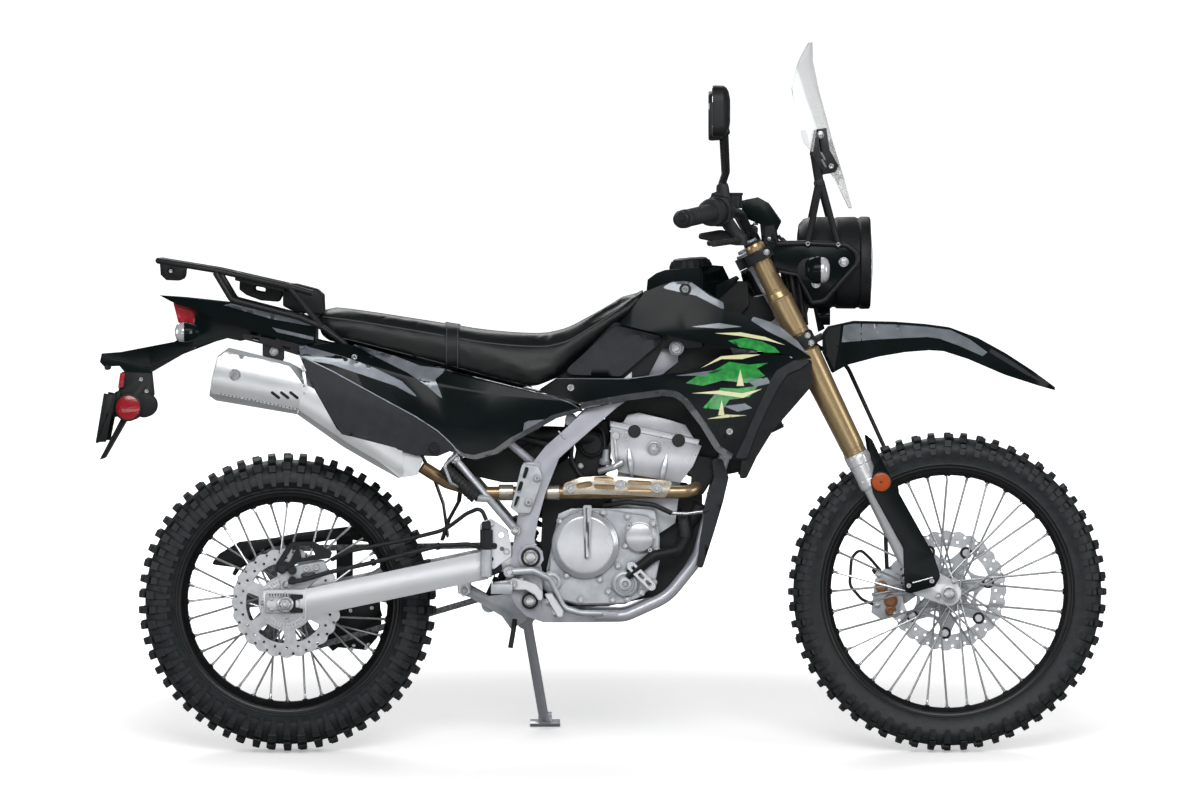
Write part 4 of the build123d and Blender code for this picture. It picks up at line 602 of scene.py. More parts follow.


# grime_and_shade (reach in mm, darkest share) darkens a finish where faces meet: painted shade, with some grime
FINISH = {
    # Steel tube in fine silver paint: a satin metallic with a faint orange peel
    "frame_paint": material("silver_painted_steel", "#bcbec8", 0.34, 0.4, drift=(60, "#b6b8c3", "#c3c5ce", (0.3, 0.4)),
        texture=(3, 0.02), grime_and_shade=(22, 0.25), Coat_Weight=0.3),
    # Powder coated steel tube: fine texture that softens its highlights
    "coated": material("black_powder_coat", "#18191b", 0.42, drift=(40, "#18191b", "#202124", (0.38, 0.5)),
        texture=(1.2, 0.03), Specular_IOR_Level=0.35),
    # Sand-blasted die cast aluminium: pale grey, faint grain, slightly darker in patches
    "cast": material("blasted_cast_aluminium", "#c6cbd1", 0.42, 0.5,
        drift=(30, "#bbc0c6", "#d2d7dc", (0.36, 0.5)), texture=(1.5, 0.06), grime_and_shade=(16, 0.12)),
    # Painted and machined engine covers: brighter and smoother than the cases
    "cover": material("satin_alloy_cover", "#d6d9de", 0.3, 0.55, drift=(45, "#cfd2d8", "#dde0e5", (0.24, 0.34)),
        grime_and_shade=(14, 0.15), Coat_Weight=0.2),
    # Polished aluminium extrusion: lengthwise drawing lines under a bright face
    "drawn": material("drawn_aluminium", "#eceef2", 0.26, 0.5, drift=(160, "#e9ecf0", "#f0f2f5", (0.24, 0.29)),
        texture=(0.8, 0.004, (0.02, 1, 1))),
    # Zinc plated fasteners, axles and nuts
    "steel": material("zinc_plated_steel", "#c6c9cc", 0.27, 0.9,
        drift=(12, "#b9bcbf", "#d2d4d7", (0.22, 0.34)), grime_and_shade=(6, 0.2)),
    # Bright stainless wire and nickel plated nipples
    "spoke_steel": material("bright_spoke_wire", "#c6cacd", 0.25, 0.7),
    # Ground stainless brake disc: fine rings from the grinding
    "disc_steel": material("ground_disc_steel", "#c3c6ca", 0.3, 0.85, drift=(20, "#b6b9bd", "#cfd1d5", (0.26, 0.38))),
    # Chain and sprocket steel with a film of oil
    "oiled": material("oiled_chain_steel", "#5d5f61", 0.34, 0.85,
        drift=(8, "#46484a", "#77797b", (0.28, 0.45))),
    # Gold anodised aluminium fork tube: satin, with a long soft highlight
    "gold_anodised": material("gold_anodised_aluminium", "#b7a078", 0.3, 0.7, texture=(1.2, 0.01, (1, 1, 0.05))),
    # Black anodised forged clamps
    "black_anodised": material("black_anodised_alloy", "#232426", 0.38, 0.4, texture=(1.0, 0.02)),
    # Stainless header, tinted bronze and straw by heat, darkest near the head
    "header": material("heat_tinted_stainless", "#a08566", 0.3, 0.8,
        drift=(90, "#886b4b", "#b8a07f", (0.24, 0.36))),
    # Brushed stainless silencer shell
    "brushed": material("brushed_stainless", "#dfe2e4", 0.3, 0.6, drift=(120, "#d9dcde", "#e5e8ea", (0.26, 0.36)),
        texture=(1.2, 0.02, (0.08, 1, 1))),
    # Pressed heat shield, bright with a warm cast
    "shield_steel": material("bright_heat_shield", "#cdc5b6", 0.26, 0.8, drift=(50, "#c3b9a6", "#d8d1c4", (0.22, 0.32)),
        grime_and_shade=(8, 0.2)),
    # Piano black painted plastic under clear coat, with a trace of blue-green
    "gloss": material("gloss_black_plastic", "#0b1415", 0.2, drift=(80, "#0a1213", "#0e1718", (0.16, 0.24)),
        Specular_IOR_Level=0.13),
    # Moulded dark grey polypropylene with a leather-like mould grain
    "grained": material("grained_grey_plastic", "#2c2f33", 0.55, drift=(25, "#292c30", "#303337", (0.5, 0.62)),
        texture=(1.4, 0.05, (1, 1, 1), "cells"), Specular_IOR_Level=0.3),
    # Unpainted black plastic, slightly grained
    "matte": material("moulded_black_plastic", "#17191b", 0.48, drift=(25, "#151719", "#1c1e20", (0.42, 0.56)),
        texture=(1.2, 0.04), Specular_IOR_Level=0.3),
    # Silver decal film under the clear coat; along the front fender's top it is a painted highlight
    "silver": material("silver_decal_and_highlight_film", "#7d848a", 0.26, 0.3, drift=(30, "#767d84", "#868d94", (0.22, 0.3)),
        Coat_Weight=0.3, Coat_Roughness=0.05),
    # Charcoal decal film
    "dark_film": material("charcoal_decal_film", "#3a3e43", 0.28, 0.2, drift=(30, "#34383c", "#42464b", (0.24, 0.32)),
        Coat_Weight=0.6, Coat_Roughness=0.05),
    # Bright green decal film
    "green_film": material("green_decal_film", "#1c9c3c", 0.24, drift=(14, "#17803a", "#25ad42", (0.2, 0.3)),
        Coat_Weight=0.6, Coat_Roughness=0.05),
    # Pale cream decal film
    "cream_film": material("cream_decal_film", "#eeeebb", 0.26, Coat_Weight=0.5, Coat_Roughness=0.05),
    # Cured tread rubber, dusty grey-black with flow marks, and painted shade deep between the knobs
    "tyre_rubber": material("tread_rubber", "#24292b", 0.55, drift=(18, "#1f2426", "#2c3134", (0.46, 0.64)),
        texture=(2, 0.08), grime_and_shade=(16, 0.06), Specular_IOR_Level=0.45),
    # Grips, hoses and boots
    "rubber": material("soft_black_rubber", "#1e2022", 0.6, drift=(12, "#1b1d1f", "#232527", (0.52, 0.66)),
        texture=(1, 0.04)),
    # Black anodised rim with a satin sheen
    "black_rim": material("black_anodised_rim", "#141517", 0.28, 0.35, drift=(30, "#121315", "#18191b", (0.24, 0.34))),
    # Grained seat vinyl: fine leather cells and a soft sheen
    "seat_vinyl": material("grained_seat_vinyl", "#101314", 0.4, drift=(40, "#0e1112", "#131718", (0.36, 0.46)),
        texture=(1.6, 0.12, (1, 1, 1), "cells"), Specular_IOR_Level=0.32),
    "seat_thread": material("grey_seat_thread", "#4b4f53", 0.7),
    # Red acrylic lens with fine prisms behind it
    "red_lens": material("red_acrylic_lens", "#b3202a", 0.14, texture=(4, 0.25, (1, 1, 1), "cells"), Coat_Weight=0.5),
    "orange_lens": material("amber_acrylic_reflector", "#b8501f", 0.25, texture=(3, 0.3, (1, 1, 1), "cells"),
        Specular_IOR_Level=0.3),
    # Clear acrylic with prisms, silvered behind
    "clear_lens": material("prismatic_clear_lens", "#d8dbde", 0.16, 0.35, texture=(6, 0.3, (1, 1, 1), "cells"),
        Coat_Weight=0.6),
    "lamp_glass": material("lamp_glass", "#ffffff", 0.02, Transmission_Weight=1.0, IOR=1.3),
    "reflector": material("aluminised_reflector", "#e4e6e8", 0.08, 1.0),
    # Clear polycarbonate sheet, very thin in body colour, with shine from its edges
    "clear_screen": material("clear_polycarbonate", "#f4f8f9", 0.03, Transmission_Weight=1.0, Alpha=0.42, IOR=1.12),
    "mirror_glass": material("mirror_glass", "#cfd4d8", 0.03, 1.0),
    "gauge_glass": material("tinted_gauge_glass", "#20282a", 0.06, Coat_Weight=1.0),
    "brown_piston": material("brown_piston_coating", "#9a6a48", 0.4, 0.4),
    # Black painted fin stack, dull between the tubes
    "radiator_core": material("black_radiator_fins", "#1a1b1c", 0.6, 0.2, texture=(2.2, 0.3, (1, 1, 6))),
}


# ---------- Pieces ----------
class Piece:
    """One piece of the motorcycle, gathered upright in millimetres and then set in the frame."""

    def __init__(self, name, body, slot, stands_for=()):
        self.name, self.body, self.slot, self.stands_for = name, body, slot, stands_for
        self.verts, self.faces, self.marks, self.finishes = [], [], [], []

    def add(self, shape, finish):
        if finish not in self.finishes:
            self.finishes.append(finish)
        mark = self.finishes.index(finish)
        base = len(self.verts)
        self.verts += [Vector(v) for v in shape[0]]
        self.faces += [tuple(i + base for i in face) for face in shape[1]]
        self.marks += [mark] * len(shape[1])
        return self

    def pair(self, shape, finish):
        """A shape and its mirror image on the other side."""
        return self.add(both(shape), finish)

    def ring(self, shape, finish, count, centre, step=None):
        """Copies of a shape about an axle: the shape is drawn with the axle at the origin."""
        values = {"Count": count, "Step": step or 2 * pi / count, "Finish": FINISH[finish]}
        made = run_tree(TURNED_COPIES, shape, values)
        return self.add(moved(made, Matrix.Translation(centre)), finish)

    def row(self, shape, finish, count, step):
        """Copies of a shape, each a step on from the one before."""
        return self.add(run_tree(STEPPED_COPIES, shape, {"Count": count, "Step": step, "Finish": FINISH[finish]}),
            finish)

    def done(self, bevel=0.0, sharp=38.0, levels=0, segments=2):
        mesh = bpy.data.meshes.new(self.name)
        mesh.from_pydata([UPRIGHT @ v for v in self.verts], [], self.faces)
        for finish in self.finishes:
            mesh.materials.append(FINISH[finish])
        mesh.polygons.foreach_set("material_index", self.marks)
        mesh.validate()
        outward = bmesh.new()
        outward.from_mesh(mesh)
        bmesh.ops.recalc_face_normals(outward, faces=outward.faces)
        outward.to_mesh(mesh)
        outward.free()
        shown = placed_object(self.name, mesh)
        if bevel:
            cut = shown.modifiers.new("edges", "BEVEL")
            cut.width, cut.segments, cut.limit_method = bevel / 1000, segments, "ANGLE"
            cut.angle_limit, cut.harden_normals = radians(sharp), False
            cut.use_clamp_overlap = True
            apply_modifiers(shown)
        if levels:
            smooth = shown.modifiers.new("smooth", "SUBSURF")
            smooth.levels = smooth.render_levels = levels
            apply_modifiers(shown)
        shown.data.polygons.foreach_set("use_smooth", [True] * len(shown.data.polygons))
        shown.data.set_sharp_from_angle(angle=radians(sharp))
        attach(shown, self.body)
        if self.stands_for:
            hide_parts(*self.stands_for)
        return shown


def apply_modifiers(shown):
    result = bpy.data.meshes.new_from_object(shown.evaluated_get(bpy.context.evaluated_depsgraph_get()))
    old = shown.data
    shown.modifiers.clear()
    shown.data = result
    bpy.data.meshes.remove(old)
    result.name = shown.name


def node_shape(node, weld=0.02):
    """A CAD node's own shape, welded and with its flat faces whole, upright in millimetres."""
    mesh = bmesh.new()
    mesh.from_mesh(frame["nodes"][node].data)
    mesh.transform(UPRIGHT.inverted())
    bmesh.ops.remove_doubles(mesh, verts=mesh.verts, dist=weld)
    bmesh.ops.dissolve_limit(mesh, angle_limit=radians(1.0), verts=mesh.verts, edges=mesh.edges)
    mesh.verts.index_update()
    shape = [v.co.copy() for v in mesh.verts], [tuple(v.index for v in f.verts) for f in mesh.faces]
    mesh.free()
    return shape


def redrawn(node, body, slot):
    """Empty piece that stands for a CAD node."""
    return Piece(node + "_shown", body, slot, (node,))


def refined(node, body, slot, finish):
    """Piece that starts from a CAD node's own shape; more is added before it is done."""
    return redrawn(node, body, slot).add(node_shape(node), finish)


# ---------- Camera, lamps and floor ----------
CAMERA_DISTANCE = 20000.0
CAMERA_AIM = Vector((682.0, 0.0, 766.5))       # what the middle of the picture shows
CAMERA_POINT = Vector((718.0, -CAMERA_DISTANCE, 1141.5))
CAMERA_LENS = 275.0
FLOOR_SIZE = 60.0
FLOOR_SINK = 0.0006                            # floor just under the tyres
FLOOR_GLOW = 0.35                              # added to what the camera sees of the floor
BOUNCE = 0.3                                   # how much light the floor sends back up
ROOM_LIGHT = 0.16
# name, place, aim, size, power, all in metres and watts
LAMPS = [("key", (0.2, -3.2, 3.4), (0.0, 0.0, 0.7), (3.5, 1.6), 95),
         ("rim", (-0.6, 2.8, 2.6), (0.0, 0.0, 0.8), (3.0, 1.2), 60),
         ("front", (3.6, -1.6, 1.6), (0.2, 0.0, 0.7), (1.4, 1.8), 28),
         ("tail", (-3.6, -1.2, 1.4), (-0.2, 0.0, 0.7), (1.2, 1.8), 22),
         ("strip", (0.0, -3.6, 0.9), (0.0, 0.0, 0.7), (4.5, 0.35), 14)]


def camera():
    lens = bpy.data.cameras.new("camera")
    lens.lens, lens.sensor_width, lens.sensor_fit = CAMERA_LENS, 36.0, "HORIZONTAL"
    lens.clip_end = 200
    shown = placed_object("camera", lens)
    place, aim = UPRIGHT @ CAMERA_POINT, UPRIGHT @ CAMERA_AIM
    up = LEAN.to_3x3() @ Vector((0, 0, 1))
    back = (place - aim).normalized()
    right = up.cross(back).normalized()
    turn = Matrix((right, back.cross(right), back)).transposed().to_4x4()
    shown.matrix_world = Matrix.Translation(place) @ turn
    bpy.context.scene.camera = shown


def lamp(name, place, aim, size, power):
    light = bpy.data.lights.new(name, "AREA")
    light.shape, light.size, light.size_y = "RECTANGLE", size[0], size[1]
    light.energy = power
    shown = placed_object(name, light)
    way = Vector(place) - Vector(aim)
    shown.rotation_euler = way.to_track_quat("Z", "Y").to_euler()
    shown.location = place


def studio():
    """White room: a floor that is white to the camera and keeps the shadow, and soft lamps."""
    mesh = bpy.data.meshes.new("floor")
    half = FLOOR_SIZE / 2
    mesh.from_pydata([(-half, -half, -FLOOR_SINK), (half, -half, -FLOOR_SINK), (half, half, -FLOOR_SINK),
                      (-half, half, -FLOOR_SINK)], [], [(0, 1, 2, 3)])
    floor = placed_object("floor", mesh)
    made, tree, shader = surface("white_floor", "#f2f2f2", 0.9)
    mesh.materials.append(made)
    place = add_node(tree, "ShaderNodeTexCoord")
    drawn = add_node(tree, "ShaderNodeVectorMath", {"operation": "MULTIPLY"},
        {0: place.outputs["Object"], 1: (0.5, 1, 1)})
    away = add_node(tree, "ShaderNodeVectorMath", {"operation": "LENGTH"}, {0: drawn.outputs[0]})
    glow = add_node(tree, "ShaderNodeMapRange", {"interpolation_type": "SMOOTHSTEP"}, {"Value": away.outputs["Value"],
        "From Min": 0.4, "From Max": 1.0, "To Min": FLOOR_GLOW, "To Max": 1.0})
    white = add_node(tree, "ShaderNodeEmission", links={"Color": (1, 1, 1, 1), "Strength": glow.outputs["Result"]})
    lit = add_node(tree, "ShaderNodeAddShader", links={0: shader.outputs[0], 1: white.outputs[0]})
    path = add_node(tree, "ShaderNodeLightPath")
    seen_through = add_node(tree, "ShaderNodeMath", {"operation": "MAXIMUM"},
                            {0: path.outputs["Is Camera Ray"], 1: path.outputs["Is Transmission Ray"]})
    dark = add_node(tree, "ShaderNodeBsdfDiffuse", links={"Color": (BOUNCE, BOUNCE, BOUNCE, 1)})
    mixed = add_node(tree, "ShaderNodeMixShader",
                     links={0: seen_through.outputs[0], 1: dark.outputs[0], 2: lit.outputs[0]})
    tree.links.new(mixed.outputs[0], tree.nodes["Material Output"].inputs[0])

    world = bpy.data.worlds.new("studio")
    bpy.context.scene.world = world
    world.use_nodes = True
    tree = world.node_tree
    dim = tree.nodes["Background"]
    dim.inputs["Color"].default_value = (1, 1, 1, 1)
    dim.inputs["Strength"].default_value = ROOM_LIGHT
    bright = add_node(tree, "ShaderNodeBackground", links={"Color": (1, 1, 1, 1), "Strength": 1.0})
    path = add_node(tree, "ShaderNodeLightPath")
    seen = add_node(tree, "ShaderNodeMath", {"operation": "MAXIMUM"},
                    {0: path.outputs["Is Camera Ray"], 1: path.outputs["Is Transmission Ray"]})
    mixed = add_node(tree, "ShaderNodeMixShader",
                     links={0: seen.outputs[0], 1: dim.outputs[0], 2: bright.outputs[0]})
    tree.links.new(mixed.outputs[0], tree.nodes["World Output"].inputs[0])

    for values in LAMPS:
        lamp(*values)
    bpy.context.scene.view_settings.view_transform = "Standard"


camera()
studio()


# ---------- Wheels ----------
# radius, half width over knobs, knob height, rim edge, bead half width, knob rows
FRONT_TYRE = (FRONT_RADIUS, 40.0, 12.0, 275.0, 21.0, 30)
REAR_TYRE = (REAR_RADIUS, 59.0, 15.0, 244.0, 33.0, 29)
# angle across the tread, half width, half length, share of the row pitch; two rows to a repeat
FRONT_KNOBS = [(0, 9.5, 7.5, 0.0), (33, 7.0, 8.5, 0.06), (66, 8.5, 9.0, 0.0), (16, 7.5, 7.5, 0.5), (50, 8.0, 8.0, 0.48),
               (73, 5.0, 7.0, 0.5)]
REAR_KNOBS = [(0, 12.5, 8.0, 0.0), (27, 8.5, 9.0, 0.04), (56, 11.0, 11.0, 0.0), (14, 11.0, 8.0, 0.5),
              (40, 8.0, 8.5, 0.5), (63, 9.0, 9.5, 0.5)]


def knob(tyre, angle, half_width, half_length, turn):
    """Block of tread: its foot in the carcass, its top on the outer curve, with chamfered edges."""
    radius, half, height = tyre[:3]
    centre = radius - half
    top_half = half - 0.4
    spread = half_width / top_half
    rings = []
    for level, grow in ((-3.0, 1.12), (height - 2.2, 1.0), (height, 0.84)):
        ring = []
        for across, along in ((-1, -1), (1, -1), (1, 1), (-1, 1)):
            a = radians(angle) + across * spread * grow
            reach = top_half - height + level
            r, y = centre + reach * cos(a), reach * sin(a)
            round_angle = turn + along * half_length * grow / radius
            ring.append(Vector((r * sin(round_angle), y, r * cos(round_angle))))
        rings.append(ring)
    return loft(rings)


def side_pad(tyre, side, turn, low, high, half_length):
    """Low raised pad on the shoulder, beside the outer knobs."""
    radius = tyre[0]
    corners = []
    for depth in (-1.5, 3.2):
        ring = []
        middle = (low + high) / 2
        for angle, along in ((low, -1), (middle, -1), (high, -0.7), (high, 0.7), (middle, 1), (low, 1)):
            r, y = carcass_point(tyre, radians(angle))
            r, y = r + depth * cos(radians(angle)) * 0.4, (y + depth) * side
            round_angle = turn + along * half_length / radius
            ring.append(Vector((r * sin(round_angle), y, r * cos(round_angle))))
        corners.append(ring if side > 0 else ring[::-1])
    return loft(corners)


def carcass_point(tyre, angle):
    radius, half, height = tyre[:3]
    return radius - half + (half - height) * cos(angle), (half - height * 0.42) * sin(angle)


def tyre_piece(node, body, tyre, knobs, axle):
    edge, bead, rows = tyre[3:]
    profile = [carcass_point(tyre, radians(96 - k * 8)) for k in range(13)]
    low_r, low_y = carcass_point(tyre, radians(96))
    wall = [(edge - 9, bead - 1.0), (edge - 1, bead), (edge + 3.5, bead + 4.0), (edge + 5.5, bead + 3.4),
        ((edge + low_r) / 2 + 4, (bead + low_y) / 2 + 2.5)]
    half_profile = wall + profile
    section = half_profile + [(r, -y) for r, y in half_profile[::-1][1:]]
    piece = redrawn(node, body, "tyre_rubber")
    piece.add(on_axle(lathe(section, 160, True), axle), "tyre_rubber")
    pitch = 2 * pi / rows
    blocks = joined(*(knob(tyre, side * angle, wide, long, share * pitch)
                      for angle, wide, long, share in knobs for side in ((1, -1) if angle else (1,))))
    pads = joined(*(side_pad(tyre, side, share * pitch, 62, 106, 8.5) for side in (1, -1) for share in (0.0, 0.5)))
    piece.ring(joined(blocks, pads), "tyre_rubber", rows, axle)
    piece.done(sharp=50)


def rim_piece(node, body, axle, edge, well, half):
    """Rim rolled from a strip, with a raised bead for each spoke nipple."""
    depth = 11.0
    side = [(edge - depth, half - 3.4), (edge - 0.6, half - 3.0), (edge + 0.4, half - 1.5), (edge - 0.6, half),
        (edge - 4, half - 0.2), (edge - 6, half - 1.6), (edge - depth - 1, half - 2.2), (edge - depth - 4, half - 4.5),
        (well + 2.5, half * 0.52), (well, half * 0.42)]
    section = side + [(r, -y) for r, y in side[::-1]]
    piece = redrawn(node, body, "black_rim")
    piece.add(on_axle(lathe(section, 144, True), axle), "black_rim")
    dimple = post(Matrix.Translation((0, 0, well)) @ Matrix.Rotation(pi, 4, "X"), 6.5, -2.0, 2.6, 1.6, 12)
    piece.ring(dimple, "black_rim", SPOKE_COUNT, axle)
    piece.done(sharp=30)


# hub: flange radius and its y, core radius, half length, rim well radius, half width of the rim
FRONT_HUB = (31.0, 34.0, 20.0, 60.0, 254.0, 24.0)
REAR_HUB = (36.0, 40.0, 24.0, 78.0, 218.0, 36.0)
SPOKE_CROSS = 52.0


def spoke_piece(node, body, axle, hub):
    """Crossed spokes in groups of four, each with its nipple at the rim and its head at the flange."""
    flange, flange_y, _, _, well, half = hub
    group = []
    for k in range(4):
        side = 1 if k % 2 else -1
        turn = 1 if k // 2 else -1
        at_rim = 2 * pi * k / SPOKE_COUNT
        at_hub = at_rim + turn * radians(SPOKE_CROSS)
        foot = Vector(((flange - 5) * sin(at_hub), side * (flange_y + turn * 3.2), (flange - 5) * cos(at_hub)))
        head = Vector(((well + 1) * sin(at_rim), side * half * 0.15, (well + 1) * cos(at_rim)))
        way = (head - foot).normalized()
        bend = foot + way * 6
        hook = foot + Vector((0, -side * turn * 5, 0))
        group.append(tube([hook, foot, bend, head], 2.4, sides=8))
        group.append(turned(towards(head + way * 2, -way), [(0, 17), (2.1, 17), (3.1, 12), (3.1, 2), (2.9, 0), (0, 0)],
            8))
        group.append(post(towards(hook, (0, side, 0)), 3.2, -1.5, 1.2, 0.8, 8))
    piece = redrawn(node, body, "spoke_steel")
    piece.ring(joined(*group), "spoke_steel", SPOKE_COUNT // 4, axle)
    piece.done()


def hub_half(hub, boss):
    """Profile of half a hub, from its core out to the end of its axle, with the boss for a disc or sprocket."""
    flange, flange_y, core, half, _, _ = hub
    start = flange_y + 7.6
    return [(core - 3, 8), (core, flange_y - 9), (core + 4, flange_y - 2), (flange, flange_y - 1.5),
            (flange + 0.5, flange_y), (flange, flange_y + 1.5), (core + 3, flange_y + 1.6), (core, flange_y + 3),
            (core + 4, start - 1), (boss[0], start), (boss[0], boss[1] - 1), (boss[0] - 1, boss[1]), (16, boss[1]),
            (16, half - 1), (15, half), (0, half)]


def hub_piece(node, body, axle, hub, left_boss, right_boss):
    section = [(r, -y) for r, y in hub_half(hub, right_boss)[::-1]] + hub_half(hub, left_boss)
    piece = redrawn(node, body, "cast_alloy")
    piece.add(on_axle(lathe(section, 64), axle), "cast")
    piece.done(sharp=30)


def wave_outline(radius, depth, waves, start=0.0):
    """Round edge with shallow scallops cut between rounded crests."""
    made = []
    steps = waves * 8
    for k in range(steps):
        angle = 2 * pi * k / steps
        ripple = (0.5 + 0.5 * cos(waves * angle + start)) ** 0.6
        made.append(((radius - depth * (1 - ripple)) * sin(angle), (radius - depth * (1 - ripple)) * cos(angle)))
    return made


def arc_window(inner, outer, angle, half_angle, corner):
    """Window between two radii, centred on an angle from straight up."""
    made = []
    steps = 7
    for k in range(steps + 1):
        a = radians(angle - half_angle + 2 * half_angle * k / steps)
        made.append((outer * sin(a), outer * cos(a)))
    for k in range(steps + 1):
        a = radians(angle + (half_angle - 2 * half_angle * k / steps) * 0.86)
        made.append((inner * sin(a), inner * cos(a)))
    return round_outline(made, corner, 2)


def at_axle(outline, axle):
    return [(x + axle.x, z + axle.z) for x, z in outline]


def front_disc():
    """Floating wave disc on a seven armed carrier, with a ring of cooling holes and its buttons."""
    y, arms = FRONT_DISC_Y, 7
    step = 360.0 / arms
    piece = redrawn("front_disc", "front_wheel", "disc_steel")
    outer = at_axle(wave_outline(132, 5.0, 28), FRONT_AXLE)
    holes = [at_axle(circle((0, 0), 97.0, 84), FRONT_AXLE)]
    for k in range(56):
        radius = 122 if k % 2 else 108
        a = 2 * pi * k / 56
        holes.append(circle((FRONT_AXLE.x + radius * sin(a), FRONT_AXLE.z + radius * cos(a)), 3.1, 10))
    piece.add(prism(outer, y - 2, y + 2, 0.5, holes), "disc_steel")
    rim = []
    for k in range(arms):
        for share, radius in ((0.0, 96.6), (0.09, 96.6), (0.17, 84), (0.3, 72), (0.5, 66), (0.7, 72), (0.83, 84),
                              (0.91, 96.6)):
            a = radians(79 + step * (k + share) + step * -0.045)
            rim.append((radius * sin(a), radius * cos(a)))
    carrier = at_axle(round_outline(rim, 5, 2), FRONT_AXLE)
    inner_holes = [at_axle(circle((0, 0), 16.5, 40), FRONT_AXLE)]
    for k in range(arms):
        inner_holes.append(at_axle(arc_window(50, 60, 79 + step * (k + 0.5), 13, 3), FRONT_AXLE))
    piece.add(prism(carrier, y - 2.6, y + 2.6, 0.7, inner_holes), "cast")
    collar = turned(towards((0, y, 93), LEFT), [(8.6, -4.6), (12.4, -4.6), (13.2, -3.6), (13.2, 3.6), (12.4, 4.6),
        (8.6, 4.6)], 24, True)
    button = turned(towards((0, y, 93), LEFT), [(0, -3.4), (8, -3.4), (8.6, -2.6), (8.6, 2.6), (8, 3.4), (0, 3.4)],
        20)
    first = Matrix.Rotation(radians(79), 4, "Y")
    piece.ring(moved(collar, first), "coated", arms, FRONT_AXLE)
    piece.ring(moved(button, first), "steel", arms, FRONT_AXLE)
    bolt = cap_screw(6, 5, towards((0, y + 2.6, 34), LEFT))
    piece.ring(moved(bolt, first), "steel", 6, FRONT_AXLE)
    piece.done()


def rear_disc():
    y, windows = REAR_DISC_Y, 6
    piece = redrawn("rear_disc", "rear_wheel", "disc_steel")
    outer = at_axle(wave_outline(120, 5.0, 24), REAR_AXLE)
    holes = [at_axle(circle((0, 0), 16.5, 40), REAR_AXLE)]
    for k in range(windows):
        holes.append(at_axle(arc_window(61, 88, 24 + 60 * k, 21, 9), REAR_AXLE))
    for k in range(48):
        radius = 111 if k % 2 else 98
        a = 2 * pi * k / 48
        holes.append(circle((radius * sin(a), REAR_AXLE.z + radius * cos(a)), 2.8, 10))
    piece.add(prism(outer, y - 2, y + 2, 0.5, holes), "disc_steel")
    teeth = []
    for k in range(48):
        a = 2 * pi * (k + 0.5) / 48
        teeth.append(slot_outline((49 * sin(a), REAR_AXLE.z + 49 * cos(a)), degrees(pi / 2 - a), 5, 1.0, 3))
    ring = prism(at_axle(circle((0, 0), 55, 72), REAR_AXLE), y - 6.5, y - 3.5, 0.3,
        [at_axle(circle((0, 0), 42, 64), REAR_AXLE)] + teeth)
    piece.add(ring, "steel")
    bolt = cap_screw(6, 5, towards((0, y - 2, 34), RIGHT))
    piece.ring(bolt, "steel", 6, REAR_AXLE)
    piece.done()


def tooth_outline(pitch_radius, count, height):
    """Sprocket edge: rounded teeth with a seat for a roller between each pair."""
    made = []
    for k in range(count):
        for share, rise in ((0.0, -1.0), (0.18, -0.6), (0.36, 0.7), (0.5, 1.0), (0.64, 0.7), (0.82, -0.6)):
            a = 2 * pi * (k + share) / count
            r = pitch_radius + height * rise
            made.append((r * sin(a), r * cos(a)))
    return made


def rear_sprocket():
    piece = redrawn("rear_sprocket", "rear_wheel", "chain_steel")
    holes = [at_axle(circle((0, 0), 16.5, 40), REAR_AXLE)]
    for k in range(6):
        holes.append(at_axle(arc_window(60, 88, 60 * k, 20, 8), REAR_AXLE))
    edge = at_axle(tooth_outline(REAR_PITCH_RADIUS - 6, 45, 4), REAR_AXLE)
    piece.add(prism(edge, CHAIN_Y - 3, CHAIN_Y + 3, 0.8, holes), "oiled")
    piece.ring(hex_bolt(6.5, 6, towards((0, CHAIN_Y + 3, 42), LEFT)), "steel", 6, REAR_AXLE)
    piece.done()


def wheels():
    tyre_piece("front_tyre", "front_wheel", FRONT_TYRE, FRONT_KNOBS, FRONT_AXLE)
    tyre_piece("rear_tyre", "rear_wheel", REAR_TYRE, REAR_KNOBS, REAR_AXLE)
    rim_piece("front_rim", "front_wheel", FRONT_AXLE, FRONT_TYRE[3], *FRONT_HUB[4:])
    rim_piece("rear_rim", "rear_wheel", REAR_AXLE, REAR_TYRE[3], *REAR_HUB[4:])
    spoke_piece("front_spokes", "front_wheel", FRONT_AXLE, FRONT_HUB)
    spoke_piece("rear_spokes", "rear_wheel", REAR_AXLE, REAR_HUB)
    hub_piece("front_hub", "front_wheel", FRONT_AXLE, FRONT_HUB, (43, 51.9), (24, 56))
    hub_piece("rear_hub", "rear_wheel", REAR_AXLE, REAR_HUB, (50, CHAIN_Y - 3.1), (46, 61.9))
    front_disc()
    rear_disc()
    rear_sprocket()


wheels()


# ---------- Things laid on a surface ----------
def tree_of(*nodes):
    """Search tree over the own shapes of some CAD nodes, upright in millimetres."""
    verts, faces = joined(*(node_shape(node) for node in nodes))
    return BVHTree.FromPolygons(verts, faces)


def even_loop(loop, step):
    made = []
    for a, b in zip(loop, loop[1:] + loop[:1]):
        parts = max(1, round(hypot(b[0] - a[0], b[1] - a[1]) / step))
        made += [(a[0] + (b[0] - a[0]) * k / parts, a[1] + (b[1] - a[1]) * k / parts) for k in range(parts)]
    return made


